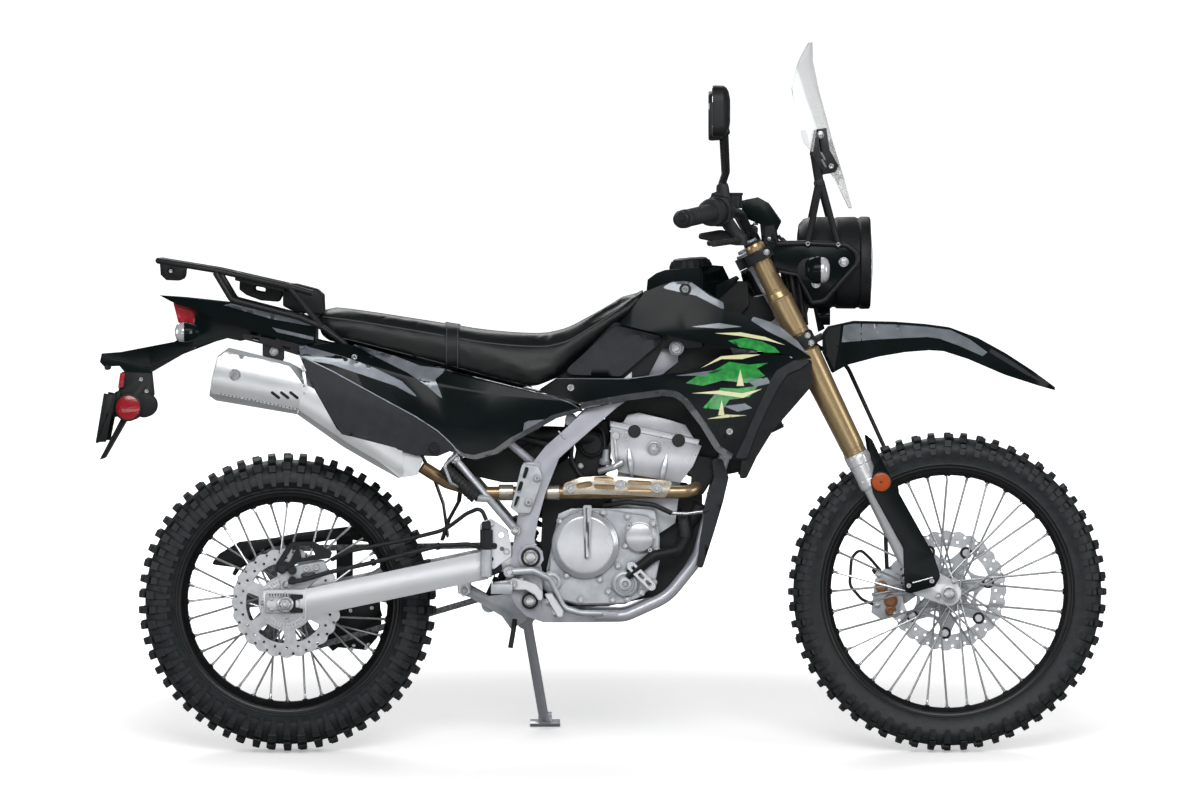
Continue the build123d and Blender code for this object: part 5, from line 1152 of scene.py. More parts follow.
def sheet(outline, height, lift=0.4, sink=0.6, grid=8.0, side=-1, holes=()):
    """Thin closed sheet from its outline in side view, at the height that a function gives over it."""
    outline = [tuple(p) for p in outline]
    if signed_area(outline) < 0:
        outline = outline[::-1]
    loops = [even_loop(outline, grid)]
    loops += [even_loop(hole if signed_area(hole) < 0 else hole[::-1], grid) for hole in holes]
    points = []
    xs, zs = [p[0] for p in outline], [p[1] for p in outline]
    row, z = 0, min(zs) + grid / 2
    while z < max(zs):
        x = min(xs) + (grid / 2 if row % 2 else 0)
        while x < max(xs):
            if inside((x, z), outline) and all(edge_distance((x, z), loop) > grid * 0.5 for loop in loops):
                points.append((x, z))
            x += grid
        row, z = row + 1, z + grid * 0.87
    flat, faces, edges, sources = flat_faces(loops, points, outline, holes)
    top, bottom = [], []
    for p in flat:
        y = height(p.x, p.y)
        top.append(Vector((p.x, y + side * lift, p.y)))
        bottom.append(Vector((p.x, y - side * sink, p.y)))
    count = len(top)
    flip = side > 0
    made = [tuple(reversed(f)) if flip else tuple(f) for f in faces]
    made += [tuple(i + count for i in (f if flip else reversed(f))) for f in faces]
    where = {origin: i for i, origins in enumerate(sources) for origin in origins}
    for a, b in edges:
        wall = (where[a], where[a] + count, where[b] + count, where[b])
        made.append(tuple(reversed(wall)) if flip else wall)
    return top + bottom, made


def height_at(tree, x, z, side=-1):
    hit = tree.ray_cast(Vector((x, side * 500, z)), Vector((0, -side, 0)))[0]
    return hit.y if hit else tree.find_nearest(Vector((x, side * 170, z)))[0].y


def laid(outline, tree, lift=0.4, sink=0.6, grid=8.0, side=-1, holes=()):
    """Sheet that follows the outside of a surface."""
    return sheet(outline, lambda x, z: height_at(tree, x, z, side), lift, sink, grid, side, holes)


def ribbon(points, width, taper=0.0):
    """Outline of a strip along a line of points, narrowed at its ends if asked."""
    points = [Vector(p) for p in points]
    near, far = [], []
    for i, p in enumerate(points):
        way = (points[min(i + 1, len(points) - 1)] - points[max(i - 1, 0)]).normalized()
        share = i / (len(points) - 1)
        half = width / 2 * (1 - taper * abs(2 * share - 1))
        near.append((p.x - way.y * half, p.y + way.x * half))
        far.append((p.x + way.y * half, p.y - way.x * half))
    return near + far[::-1]


def flat_path(points, radius):
    return [(p.x, p.z) for p in smooth_path([(x, 0, z) for x, z in points], radius)]


# ---------- Bodywork ----------
SILVER_TRIM = [(815, 1012), (837, 1024), (865, 1027), (881, 1024), (920, 995), (949, 981), (952, 964), (891, 995),
               (854, 1003)]
SILVER_STRIP = [(1015, 950), (1049, 939), (1078, 924), (1110, 897), (1136, 864), (1123, 874), (1083, 900),
                (1046, 918), (1009, 942)]
SIDE_BLADE_LOW = [(31, 880), (44, 886), (126, 864), (194, 839), (253, 810), (293, 771), (239, 800), (171, 823),
                  (103, 846), (35, 859)]
SIDE_BLADE_HIGH = [(135, 895), (239, 864), (293, 843), (352, 836), (325, 814), (343, 769), (307, 800), (266, 828),
                   (194, 864)]
SIDE_PLATE = [(34, 864), (103, 829), (194, 779), (284, 730), (330, 700), (357, 674), (374, 653), (357, 660), (330, 649),
              (284, 651), (123, 696), (105, 724), (82, 765), (60, 806)]
SIDE_SEAM = [(28, 868), (103, 832), (194, 782), (284, 733), (330, 703), (357, 678), (379, 653)]
SIDE_HEM = [(366, 664), (384, 650), (411, 645), (458, 658), (496, 685), (584, 733), (630, 746), (640, 750)]
FRONT_BAND = [(1142, 857), (1115, 837), (1088, 826), (1070, 800), (1049, 760), (1020, 698), (1001, 643), (974, 642),
              (998, 690), (1009, 718), (1038, 782), (1052, 813), (1065, 834), (1101, 855)]
DUCT = [(1141, 857), (1141, 800), (1100, 752), (1057, 703), (1022, 646), (1000, 600), (984, 598), (990, 640),
        (1006, 700), (1050, 800), (1090, 842)]
LOWER_HEM = [(640, 756), (742, 775), (818, 785), (847, 782), (868, 766), (905, 718), (938, 664), (968, 646)]
# Generic splash of colour: finish, lift off the panel, outlines
UPPER_SPLASH = [
    ("green_film", 0.4, [
        [(960, 898), (996, 904), (1034, 896), (1060, 884), (1072, 872), (1040, 872), (1010, 880), (984, 884)]]),
    ("cream_film", 0.5, [
        [(930, 914), (986, 916), (1040, 906), (1084, 888), (1044, 898), (986, 908)]]),
    ("silver", 0.4, [
        [(880, 928), (940, 936), (990, 928), (944, 924)]]),
]
LOWER_SPLASH = [
    ("green_film", 0.4, [
        [(868, 806), (905, 800), (948, 812), (1000, 806), (1040, 822), (1022, 838), (1046, 850), (1004, 846),
         (962, 852), (930, 834), (900, 826)],
        [(905, 752), (948, 748), (962, 770), (1006, 776), (1024, 800), (980, 794), (944, 796), (926, 776)]]),
    ("cream_film", 0.5, [
        [(880, 784), (940, 790), (990, 784), (1034, 794), (992, 774), (936, 782)],
        [(900, 838), (946, 858), (990, 858), (1030, 868), (990, 868), (944, 864)],
        [(914, 728), (956, 738), (1000, 736), (956, 731)],
        [(938, 736), (946, 770), (952, 736)],
        [(978, 800), (986, 836), (994, 800)]]),
    ("silver", 0.4, [
        [(846, 822), (900, 830), (960, 838), (912, 822)],
        [(1000, 812), (1044, 818), (1052, 806), (1018, 798)],
        [(950, 756), (996, 762), (1012, 752), (980, 744)]]),
]


def splash(piece, panel, rows):
    for finish, lift, outlines in rows:
        for outline in outlines:
            piece.pair(laid(outline, panel, lift), finish)


def upper_shrouds():
    shroud = tree_of("upper_shrouds")
    piece = refined("upper_shrouds", "chassis", "gloss_black", "gloss")
    piece.pair(laid(round_outline(SILVER_TRIM, 5), shroud, 0.8), "silver")
    piece.pair(laid(round_outline(SILVER_STRIP, 4), shroud, 0.6), "silver")
    piece.pair(laid(circle((867, 1009), 13, 24), shroud, 1.6), "matte")
    piece.pair(laid(inset_loop(round_outline([(606, 828), (718, 927), (819, 903), (726, 824)], 8), 3.5), shroud, 1.2,
        grid=12), "grained")
    splash(piece, shroud, UPPER_SPLASH)
    piece.pair(cap_screw(8.5, 5, side_place(867, 1009, height_at(shroud, 867, 1009) - 1.0)), "steel")
    piece.done(bevel=1.0)


def lower_shrouds():
    shroud = tree_of("lower_shrouds")
    piece = refined("lower_shrouds", "chassis", "gloss_black", "gloss")
    piece.pair(laid(round_outline(FRONT_BAND, 6), shroud, 1.4, grid=10), "grained")
    piece.pair(laid(ribbon(flat_path(LOWER_HEM, 30), 14), shroud, 1.0), "dark_film")
    piece.pair(laid(ribbon(flat_path([(589, 815.5), (742, 815), (780, 820), (812, 824)], 40), 3.2, 0.6), shroud, 0.5),
        "silver")
    piece.pair(laid(round_outline([(936, 712), (976, 714), (970, 690), (944, 688)], 8), shroud, 1.0), "matte")
    piece.pair(laid(round_outline(DUCT, 6), shroud, -4, 8, grid=14), "matte")
    splash(piece, shroud, LOWER_SPLASH)
    for x, z, radius in ((619, 796, 8), (963, 701, 7.5)):
        piece.pair(cap_screw(radius, 4, side_place(x, z, height_at(shroud, x, z))), "steel")
    piece.done(bevel=1.0)


def side_covers():
    cover = tree_of("side_covers")
    piece = refined("side_covers", "chassis", "gloss_black", "gloss")
    piece.pair(laid(round_outline(SIDE_PLATE, 4), cover, 1.6, grid=14), "grained")
    piece.pair(laid(ribbon(flat_path(SIDE_SEAM, 60), 2.6), cover, 2.2, grid=10), "silver")
    piece.pair(laid(ribbon(flat_path(SIDE_HEM, 30), 13, 0.5), cover, 1.0), "dark_film")
    piece.pair(laid(round_outline(SIDE_BLADE_LOW, 3), cover), "silver")
    piece.pair(laid(round_outline(SIDE_BLADE_HIGH, 3), cover), "silver")
    piece.pair(laid([(515, 697), (518, 719), (527, 724), (562, 727), (556, 718)], cover), "silver")
    piece.pair(laid(ribbon(flat_path([(350, 834), (548, 785), (616, 764), (640, 750)], 30), 2.4, 0.5), cover, 0.5),
        "silver")
    y = height_at(cover, 323, 665)
    piece.pair(post(side_place(323, 665, y - 1.6), 13, -1, 3.2, 1.2), "matte")
    piece.pair(cap_screw(8, 5.5, side_place(323, 665, y - 1.6)), "coated")
    piece.done(bevel=1.0)


def tail_cover():
    tail = tree_of("tail_cover")
    piece = refined("tail_cover", "chassis", "gloss_black", "gloss")
    piece.pair(laid([(-136, 974), (-120, 978), (-30, 956), (60, 936), (60, 928), (-30, 944)], tail, 0.5), "silver")
    piece.pair(laid([(-30, 926), (60, 905), (60, 898), (-20, 916)], tail, 0.5), "silver")
    piece.done(bevel=1.2)


def front_fender():
    fender = refined("front_fender", "steering", "gloss_black", "gloss")
    skin = tree_of("front_fender")
    # Silver film along the top of the fender: a painted highlight where the top faces the lamps
    fender.pair(laid([(1208, 893), (1287, 900), (1394, 905), (1421, 901), (1465, 885), (1514, 863), (1524, 872),
        (1486, 900), (1445, 920), (1394, 927), (1327, 932), (1236, 934), (1212, 930)], skin, 0.5, grid=10), "silver")
    fender.pair(laid([(1172, 905), (1182, 924), (1206, 930), (1202, 888), (1192, 832), (1176, 866)], skin, 1.2),
        "matte")
    fender.pair(laid([(1528, 872), (1564, 850), (1610, 822), (1650, 803), (1610, 832), (1570, 858), (1532, 880)], skin,
        0.8), "grained")
    fender.done(bevel=1.0)


def fuel_tank():
    refined("fuel_tank", "chassis", "gloss_black", "gloss").done(bevel=9.0, segments=4, sharp=25)
    cap = redrawn("fuel_cap", "chassis", "matte_black")
    place = towards((880, 0, 1056.4), (-0.07, 0, 1))
    ribs = [(44.0 + (1.4 if k % 2 else 0), k) for k in range(48)]
    grip = [[(r * s * cos(2 * pi * k / 48), r * s * sin(2 * pi * k / 48), h) for r, k in ribs] for h,
        s in ((-2, 1.04), (4, 1.04), (15, 0.92))]
    cap.add(moved(loft([ring[::-1] for ring in grip]), place), "matte")
    cap.add(turned(place, [(0, 19.4), (22, 19.4), (24, 21.4), (34, 20), (38.5, 17), (38, 14), (0, 14)], 48), "matte")
    cap.add(post(place, 9, 18, 21.8, 1), "steel")
    cap.done(sharp=30)


for make in (upper_shrouds, lower_shrouds, side_covers, tail_cover, front_fender, fuel_tank):
    make()

# Nodes that keep their own shape, with their edges rounded: node, body, slot, finish, bevel
KEPT = [("subframe", "chassis", "frame_paint", "frame_paint", 0.8),
        ("shock_linkage", "chassis", "cast_alloy", "cast", 1.0),
        ("rear_hose", "chassis", "soft_rubber", "rubber", 0.0),
        ("front_hose", "steering", "soft_rubber", "rubber", 0.0)]


# ---------- Engine and exhaust ----------
CASE_FACE = -80                                # the right side of the engine cases
CASE_SKIN = [(572, 400), (575, 440), (588, 492), (622, 528), (700, 530), (790, 516), (810, 470), (812, 420), (802, 372),
             (770, 340), (737, 326), (634, 324), (594, 336), (572, 362)]
CASE_BOLTS = [(610, 387), (585, 430), (596, 505), (682, 378), (640, 334), (700, 352), (710, 334), (742, 336),
    (772, 350), (798, 372), (806, 440), (798, 500), (742, 515), (690, 524), (640, 522), (738, 452), (745, 490),
    (722, 408)]
HEADER = [(893, -24, 621.5), (903, -40, 588), (880, -84, 568), (560, -84, 567), (430, -90, 566), (350, -112, 590),
          (296, -122, 624)]
SHIELD = [(600, 572), (606, 588), (640, 600), (690, 604), (742, 600), (800, 596), (840, 592), (832, 570), (824, 556),
          (740, 562), (650, 564), (602, 562)]
SHIELD_SLOTS = [((648, 584), 10, 22, 6.5), ((690, 597), -1, 36, 4), ((692, 580), -3, 36, 5), ((768, 589), -3, 42, 4.5),
                ((768, 572), -3, 42, 5)]


def lens_rib(low, high, width, y, rise):
    """Tapered rib, widest in the middle, standing on a side face."""
    rings = []
    low, high = Vector((low[0], y, low[1])), Vector((high[0], y, high[1]))
    out = Vector((0, -rise, 0))
    along = (high - low).normalized()
    across = Vector((along.z, 0, -along.x))
    for k in range(9):
        share = k / 8
        half = width / 2 * max(sin(pi * share), 0.08) ** 0.8
        middle = low.lerp(high, share)
        rings.append([middle - across * half + Vector((0, 3, 0)), middle - across * half * 0.4 + out * sin(pi * share),
            middle + across * half * 0.4 + out * sin(pi * share), middle + across * half + Vector((0, 3, 0))])
    return loft(rings)


def engine_covers():
    covers = redrawn("engine_covers", "chassis", "cover_alloy")
    skin = slab(CASE_SKIN, 18, -89, -79, 2.0)
    covers.add(skin, "cast")
    clutch = lathe([(0, 0), (73, 0), (73, 14), (71.6, 17), (70, 18), (63.5, 25.2), (61, 26.4), (58, 26.8), (0, 27.4)],
        96)
    covers.add(moved(clutch, towards((650, CASE_FACE, 453), RIGHT)), "cover")
    covers.add(turned(towards((768, CASE_FACE, 469), RIGHT), [
        (0, 20), (27, 20), (30, 18.5), (31, 12), (35, 10), (35, 0), (0, 0)], 64), "cover")
    for x, z in around(768, 469, 35, 2, 130):
        covers.add(cap_screw(5, 5, side_place(x, z, -91)), "steel")
    pump = [(0, 0), (30, 0), (30, 12), (27, 14), (26, 18), (21, 19), (20, 16.5), (15, 16.5), (14, 21), (7, 22), (6, 18),
        (0, 18)]
    covers.add(turned(towards((737, CASE_FACE, 369), RIGHT), pump[::-1], 48), "cast")
    cap = [(0, 0), (24, 0), (24, 10), (21, 12), (20, 17), (14, 18), (13, 15.5), (0, 15.5)]
    covers.add(turned(towards((577, CASE_FACE, 373), RIGHT), cap[::-1], 40), "cast")
    slot = [(-9, 0), (9, 0), (6, 118), (-6, 118)]
    groove = [(655 + x, 540 - z) for x, z in slot]
    covers.add(sheet(round_outline(groove, 4), lambda x, z: -108.6, 1.6, 12, grid=20), "cast")
    covers.add(sheet(round_outline([(655 + x * 0.45, 536 - z * 0.92) for x, z in slot], 2), lambda x, z: -110.2, 0.8, 2,
        grid=20), "cover")
    for x, z in CASE_BOLTS:
        covers.add(post(side_place(x, z, -88.6), 8.5, 0, 2.5, 1.0, 20), "cast")
        covers.add(hex_bolt(4.6, 5.5, side_place(x, z, -91)), "steel")
    stator = lathe([(0, 18), (30, 18), (50, 16), (54, 12), (54, 0), (0, 0)], 64)
    covers.add(moved(stator, towards((694, 78, 430), LEFT)), "cover")
    for x, z in around(694, 430, 47, 6):
        covers.add(hex_bolt(4.6, 5, side_place(x, z, 90)), "steel")
    bracket = slot_outline((772, 386), -45, 62, 10)
    holes = [slot_outline((772 + d * 0.707, 386 - d * 0.707), -45, 9, 3.4) for d in (-22, 0, 22)]
    covers.add(prism(bracket, -106, -102, 0.6, holes), "steel")
    covers.add(post(side_place(750, 408, -102), 5, -8, 0, 0.6, 12), "steel")
    covers.add(post(side_place(794, 364, -102), 5, -12, 0, 0.6, 12), "steel")
    covers.done(sharp=32)


def cylinder_head():
    head = refined("cylinder_head", "chassis", "cover_alloy", "cover")
    for y in (-77.5, 77.5):
        side = 1 if y > 0 else -1
        head.add(prism([(703, 710), (896, 669), (898, 678), (899, 682), (704, 723)], min(y, y - side * 5),
            max(y, y - side * 5), 1.2), "cover")
        for x, z in ((757, 700), (853, 680)):
            head.add(post(side_place(x, z, y), 14, -4, 2.5, 1.5, 28), "rubber")
        head.add(turned(side_place(799, 663, y), [(0, 2), (11.5, 2), (12.5, 4), (15, 3), (15, 0), (0, 0)], 32), "cast")
        head.add(hex_bolt(7, 6, side_place(799, 663, y + side * 2)), "steel")
    head.pair(lens_rib((752, 596), (744, 668), 20, -75, 9), "cover")
    head.pair(lens_rib((812, 578), (828, 652), 20, -75, 9), "cover")
    head.pair(lens_rib((722, 612), (712, 700), 12, -74, 6), "cover")
    oil = smooth_path([(690, -70, 538), (740, -88, 546), (800, -90, 540), (838, -88, 522)], 40)
    head.add(tube(oil, 5.5, sides=12), "rubber")
    head.add(pipe([(838, -88, 522), (870, -88, 521), (906, -84, 526)], 30, 4, 10), "steel")
    head.add(pipe([(906, -84, 526), (926, -78, 534), (938, -64, 556)], 20, 6, 10), "rubber")
    head.pair(post(side_place(716, 690, -70), 9, -1, 8, 1, 20), "cast")
    head.add(pipe([(680, -72, 612), (712, -84, 622), (732, -84, 634)], 12, 7, 12), "cover")
    head.add(turned(towards((694, -50, 628), (0.1, -0.2, 1)), [(0, 34), (5, 34), (9, 30), (10, 14), (14, 10), (14, 0),
        (0, 0)], 20), "cast")
    head.done(bevel=2.5, segments=3)


def exhaust_header():
    exhaust = redrawn("exhaust_header", "chassis", "bronze_steel")
    exhaust.add(tube(smooth_path(HEADER, 60, 12), 14, sides=28), "header")
    for x, radius, low, high in ((580, 16.5, -14, 14), (478, 17.5, -16, 16), (505, 16, -5, 5)):
        exhaust.add(post(towards((x, -85.5, 567), (1, 0.03, 0)), radius, low, high, 1.5, 36), "shield_steel")
    exhaust.add(post(towards((896, -26, 614), (0.3, -0.45, -1)), 27, -3, 3, 1, 24), "header")
    bulge = lambda x, z: -99.5 - 3.5 * (1 - min(1, abs(z - 578) / 24) ** 2)
    holes = [slot_outline(at, angle, length, radius) for at, angle, length, radius in SHIELD_SLOTS]
    exhaust.add(sheet(round_outline(SHIELD, 7), bulge, 0.8, 0.8, 7, holes=holes), "shield_steel")
    exhaust.add(sheet(round_outline(SHIELD, 7), lambda x, z: bulge(x, z) + 6, 0.5, 0.5, 7), "header")
    for x, z in ((619, 577), (727, 585), (806, 577)):
        exhaust.add(post(side_place(x, z, bulge(x, z) - 0.6), 10.5, -0.5, 1.5, 0.8, 28), "steel")
        exhaust.add(hex_bolt(5.5, 5, side_place(x, z, bulge(x, z) - 1.8)), "steel")
        exhaust.add(post(side_place(x, z, bulge(x, z)), 5, -16, 0, 0.5, 12), "steel")
    exhaust.done(sharp=35)


def can_side(x, z):
    """Side of the silencer can: bowed outwards between its top and its foot."""
    return -160.2 - 8 * max(0, 1 - ((z - 826 + 0.2 * (x + 150)) / 47) ** 2)


def cone_side(x, z):
    """Side of the cone behind the can: almost round."""
    off = ((z - 794) + (x - 17) * 0.647) / 1.19
    return -160 + max(0, x - 120) * 0.09 - 11 * max(0, 1 - (off / 50) ** 2)


def muffler():
    piece = refined("muffler", "chassis", "satin_steel", "brushed")
    shell = [(-158, 784), (-154, 812), (-143, 858), (-124, 871), (-40, 856), (10, 842), (38, 806), (34, 748),
        (-60, 770)]
    piece.add(sheet(round_outline(shell, 8), can_side, 0.6, 4, 9), "brushed")
    cap = [(-160, 784), (-156, 814), (-144, 861), (-126, 875), (-114, 872), (-130, 852), (-140, 812), (-145, 781)]
    piece.add(sheet(round_outline(cap, 4), lambda x, z: can_side(x, z) - 1.8, 0.6, 5, 9), "brushed")
    cone = [(30, 748), (38, 806), (64, 794), (112, 708), (124, 696), (254, 662), (258, 604), (150, 668)]
    piece.add(sheet(round_outline(cone, 6), cone_side, 0.6, 12, 10), "brushed")
    for k in range(3):
        slot = slot_outline((-20 + 20 * k, 780), -38, 18, 3.2)
        piece.add(sheet(slot, lambda x, z: can_side(x, z) - 0.4, 0.6, 2, 6), "coated")
    strip = ribbon([(-152, 786), (-60, 768), (34, 748)], 5)
    piece.add(sheet(strip, lambda x, z: -162.4, 0.6, 6, 12), "steel")
    for k in range(22):
        x = -146 + 8.2 * k
        piece.add(post(side_place(x, 785.6 - 0.2 * (x + 152), -162.9), 1.5, -1, 0.5, 0.3, 8), "coated")
    piece.add(sheet(ribbon([(38, 846), (46, 800), (38, 742)], 6), lambda x, z: can_side(36, z) - 2, 0.6, 6, 12),
        "brushed")
    for k in range(6):
        x, z = 39 + (3 if k in (2, 3) else 0), 752 + 16 * k
        piece.add(post(side_place(x, z, can_side(36, z) - 2.6), 2.6, -1, 1.6, 0.8, 12), "steel")
    piece.add(cap_screw(9, 5, side_place(-108, 824, can_side(-108, 824) - 0.4)), "steel")
    piece.add(post(side_place(-108, 824, can_side(-108, 824) - 0.2), 13, -1, 1, 0.6, 32), "steel")
    piece.add(prism([(-50, 904), (-3, 894), (-3, 858), (-12, 846), (-40, 852), (-50, 866)], -117.5, -102.5, 1.5),
        "coated")
    piece.add(hex_bolt(7, 6, side_place(-25, 874, -119)), "steel")
    piece.done(bevel=9.0, segments=4, sharp=30)


# ---------- Frame, swingarm and suspension ----------
def main_frame():
    piece = refined("main_frame", "chassis", "frame_paint", "frame_paint")
    for (x, z), radius in (((532, 428), 21), ((530, 333), 18)):
        for side in (-1, 1):
            ring = lathe([(0, 4), (radius - 6, 4), (radius - 5, 6.5), (radius - 2, 6.5), (radius, 5), (radius, 0),
                (0, 0)], 40)
            piece.add(moved(ring, side_place(x, z, side * 127.6)), "coated")
            piece.add(hex_bolt(radius * 0.62, 9, side_place(x, z, side * 131)), "steel")
    plate = round_outline([(514, 632), (549, 625), (558, 599), (531, 523), (504, 523), (490, 534), (494, 556),
        (510, 618)], 7)
    slots = [slot_outline((x, z), 74, 17, 4.2) for x, z in ((521, 611), (509, 580), (502, 548))]
    piece.add(prism(plate, -132, -128.6, 1.0, slots), "cast")
    # Black sheet just behind the slotted plate: painted shade that shows dark through its slots
    piece.add(prism(plate, -128.5, -127.5), "matte")
    for x, z in ((546, 600), (527, 547)):
        piece.add(post(side_place(x, z, -132), 9.5, -0.5, 2.5, 1, 24), "cast")
        piece.add(cap_screw(6.5, 5, side_place(x, z, -134)), "steel")
    piece.pair(turned(side_place(848, 881, -104), [(0, 3.5), (12, 3.5), (13, 6), (16, 4), (16, 0), (0, 0)], 32),
        "frame_paint")
    piece.pair(hex_bolt(8, 7, side_place(848, 881, -107)), "steel")
    for x, z in ((586, 307), (570, 330), (664, 303)):
        piece.pair(hex_bolt(6.5, 6, side_place(x, z, -124)), "steel")
    for a, b in (((592, 702), (606, 684)), ((511, 450), (545, 455))):
        weld = [(a[0] + (b[0] - a[0]) * k / 10, -124.5, a[1] + (b[1] - a[1]) * k / 10) for k in range(11)]
        piece.pair(tube(weld, 2, [1.6 + 0.7 * (k % 2) for k in range(11)], 8), "frame_paint")
    shroud = [(989, 1042), (1008, 1050), (1038, 994), (1052, 970), (1064, 944), (1044, 932), (1002, 940), (986, 960),
        (1004, 992)]
    piece.pair(laid(round_outline(shroud, 5), tree_of("main_frame"), 0.8, grid=8), "matte")
    piece.done(bevel=2.2, segments=3)
    stub = Piece("drain_stub", "chassis", "soft_rubber")
    stub.add(tube([(497, -60, 290), (494, -66, 268), (487, -68, 228)], 5.5, sides=14), "rubber")
    stub.done()


def swingarm():
    piece = refined("swingarm", "chassis", "polished_alloy", "drawn")
    block = round_outline([(-44, 306), (-44, 349), (24, 350), (30, 340), (30, 314), (22, 305)], 5)
    piece.pair(prism(block, -125.5, -121, 1.2), "cast")
    piece.pair(prism(slot_outline((-6, 326), 0, 46, 13), -127, -125, 0.8), "cover")
    nut = lathe([(0, 4), (16, 4), (17.5, 3), (17.5, 0), (0, 0)], 32)
    piece.pair(moved(nut, side_place(0, REAR_RADIUS, -134)), "steel")
    piece.pair(hex_bolt(14, 11, side_place(0, REAR_RADIUS, -137), False), "steel")
    piece.pair(post(side_place(0, REAR_RADIUS, -137), 6, 0, 15, 1, 18), "steel")
    for z in (315, 337):
        piece.pair(hex_bolt(4.5, 4, side_place(-30, z, -125.5)), "steel")
    fork_end = [(10, 347), (38, 347), (38, 338), (22, 335), (22, 319), (38, 316), (38, 307), (10, 307)]
    piece.pair(slab(fork_end, 3, -128, -124, 0.8), "coated")
    for k in range(9):
        piece.pair(prism(slot_outline((-34 + 6 * k, 346), 90, 4, 0.9, 3), -126.2, -125), "coated")
    piece.pair(hex_bolt(6, 5, towards((-48, -107, 327), (-1, 0, 0))), "steel")
    for k in range(4):
        x = 160 + 62 * k
        piece.add(post(towards((x, -108, 377 + (x - 160) * 0.211), (0, -0.1, 1)), 5, -2, 6, 0.8, 14), "coated")
    piece.pair(prism(ribbon([(42, 296), (44, 360)], 3), -123, -121, 0.6), "drawn")
    piece.pair(slab([(440, 430), (466, 448), (470, 396), (440, 384)], 6, -124.5, -90, 1.5), "matte")
    piece.done(bevel=4.5, segments=4, sharp=30)


def rear_shock():
    top, foot = Vector((612, 0, 690)), Vector((440, 0, 320))
    way = (top - foot).normalized()
    place = towards(foot, way)
    shock = redrawn("rear_shock", "chassis", "black_steel")
    shock.add(turned(place, [(0, 392), (20, 392), (22, 348), (34, 344), (34, 334), (20, 330), (20, 182), (34, 180),
        (33, 172), (20, 167), (9, 165), (9, 62), (17, 60), (17, 14), (0, 14)], 40), "coated")
    spring = run_tree(COIL, ([Vector((0, 0, 0))], []), {"Turns": 7.5, "Radius": 28.5, "Length": 152.0, "Wire": 5.6,
        "Finish": FINISH["coated"]})
    shock.add(moved(spring, place @ Matrix.Translation((0, 0, 180))), "coated")
    for at, radius, half in ((foot, 17, 22), (top, 15, 23)):
        eye = lathe([(7.3, half), (radius, half), (radius, -half), (7.3, -half)], 32, True)
        shock.add(moved(eye, towards(at, LEFT)), "cast")
    can = lathe([(0, 40), (20, 40), (23, 37), (23, -37), (20, -40), (0, -40)], 32)
    shock.add(moved(can, towards(foot + way * 352 + Vector((-38, 0, 10)), way)), "coated")
    shock.add(post(towards(foot + way * 376 + Vector((-38, 0, 10)), (1, 0, 0.2)), 12, 0, 40, 1, 20), "cast")
    shock.done(sharp=35)


def radiators():
    core = refined("radiators", "chassis", "matte_black", "matte")
    guard = round_outline([(925, 642), (948, 640), (962, 600), (950, 548), (930, 480), (905, 402), (893, 405),
        (900, 470), (916, 560), (930, 600)], 8)
    core.pair(sheet(guard, lambda x, z: -84, 1.5, 1.5, 14), "grained")
    core.pair(sheet(round_outline([(885, 648), (925, 642), (930, 600), (905, 560), (880, 570)], 8), lambda x, z: -66,
        1.5, 1.5, 16), "matte")
    core.pair(tube([(915, -84, 470), (915, -58, 470)], 6), "coated")
    core.pair(tube([(938, -84, 590), (938, -45, 590)], 6), "coated")
    fins = moved(joined(*[prism([(-134, 842 + 9 * k), (-92, 842 + 9 * k), (-92, 843 + 9 * k), (-134, 843 + 9 * k)],
        -122, -64) for k in range(13)]), STEER)
    core.pair(fins, "radiator_core")
    core.add(pipe([(850, -50, 430), (868, -66, 470), (862, -60, 524)], 30, 13, 16), "rubber")
    core.add(pipe([(900, -52, 540), (880, -40, 500), (860, -40, 470)], 24, 13, 16), "rubber")
    core.done(bevel=1.2)


def chain_link():
    """Two pitches of chain: an outer link, then an inner one."""
    half = CHAIN_PITCH / 2
    shapes = []
    for y in (-6.4, 6.4):
        shapes.append(prism(slot_outline((0, 0), 0, CHAIN_PITCH, 6.6, 4), y - 0.8, y + 0.8))
    for y in (-4.4, 4.4):
        shapes.append(prism(slot_outline((CHAIN_PITCH, 0), 0, CHAIN_PITCH, 6.6, 4), y - 0.8, y + 0.8))
    for x in (-half, half):
        shapes.append(post(towards((x, 0, 0), LEFT), 4.8, -4.4, 4.4, 0.3, 12))
        shapes.append(post(towards((x, 0, 0), LEFT), 2.4, -8.2, 8.2, 0.5, 8))
    return joined(*shapes)


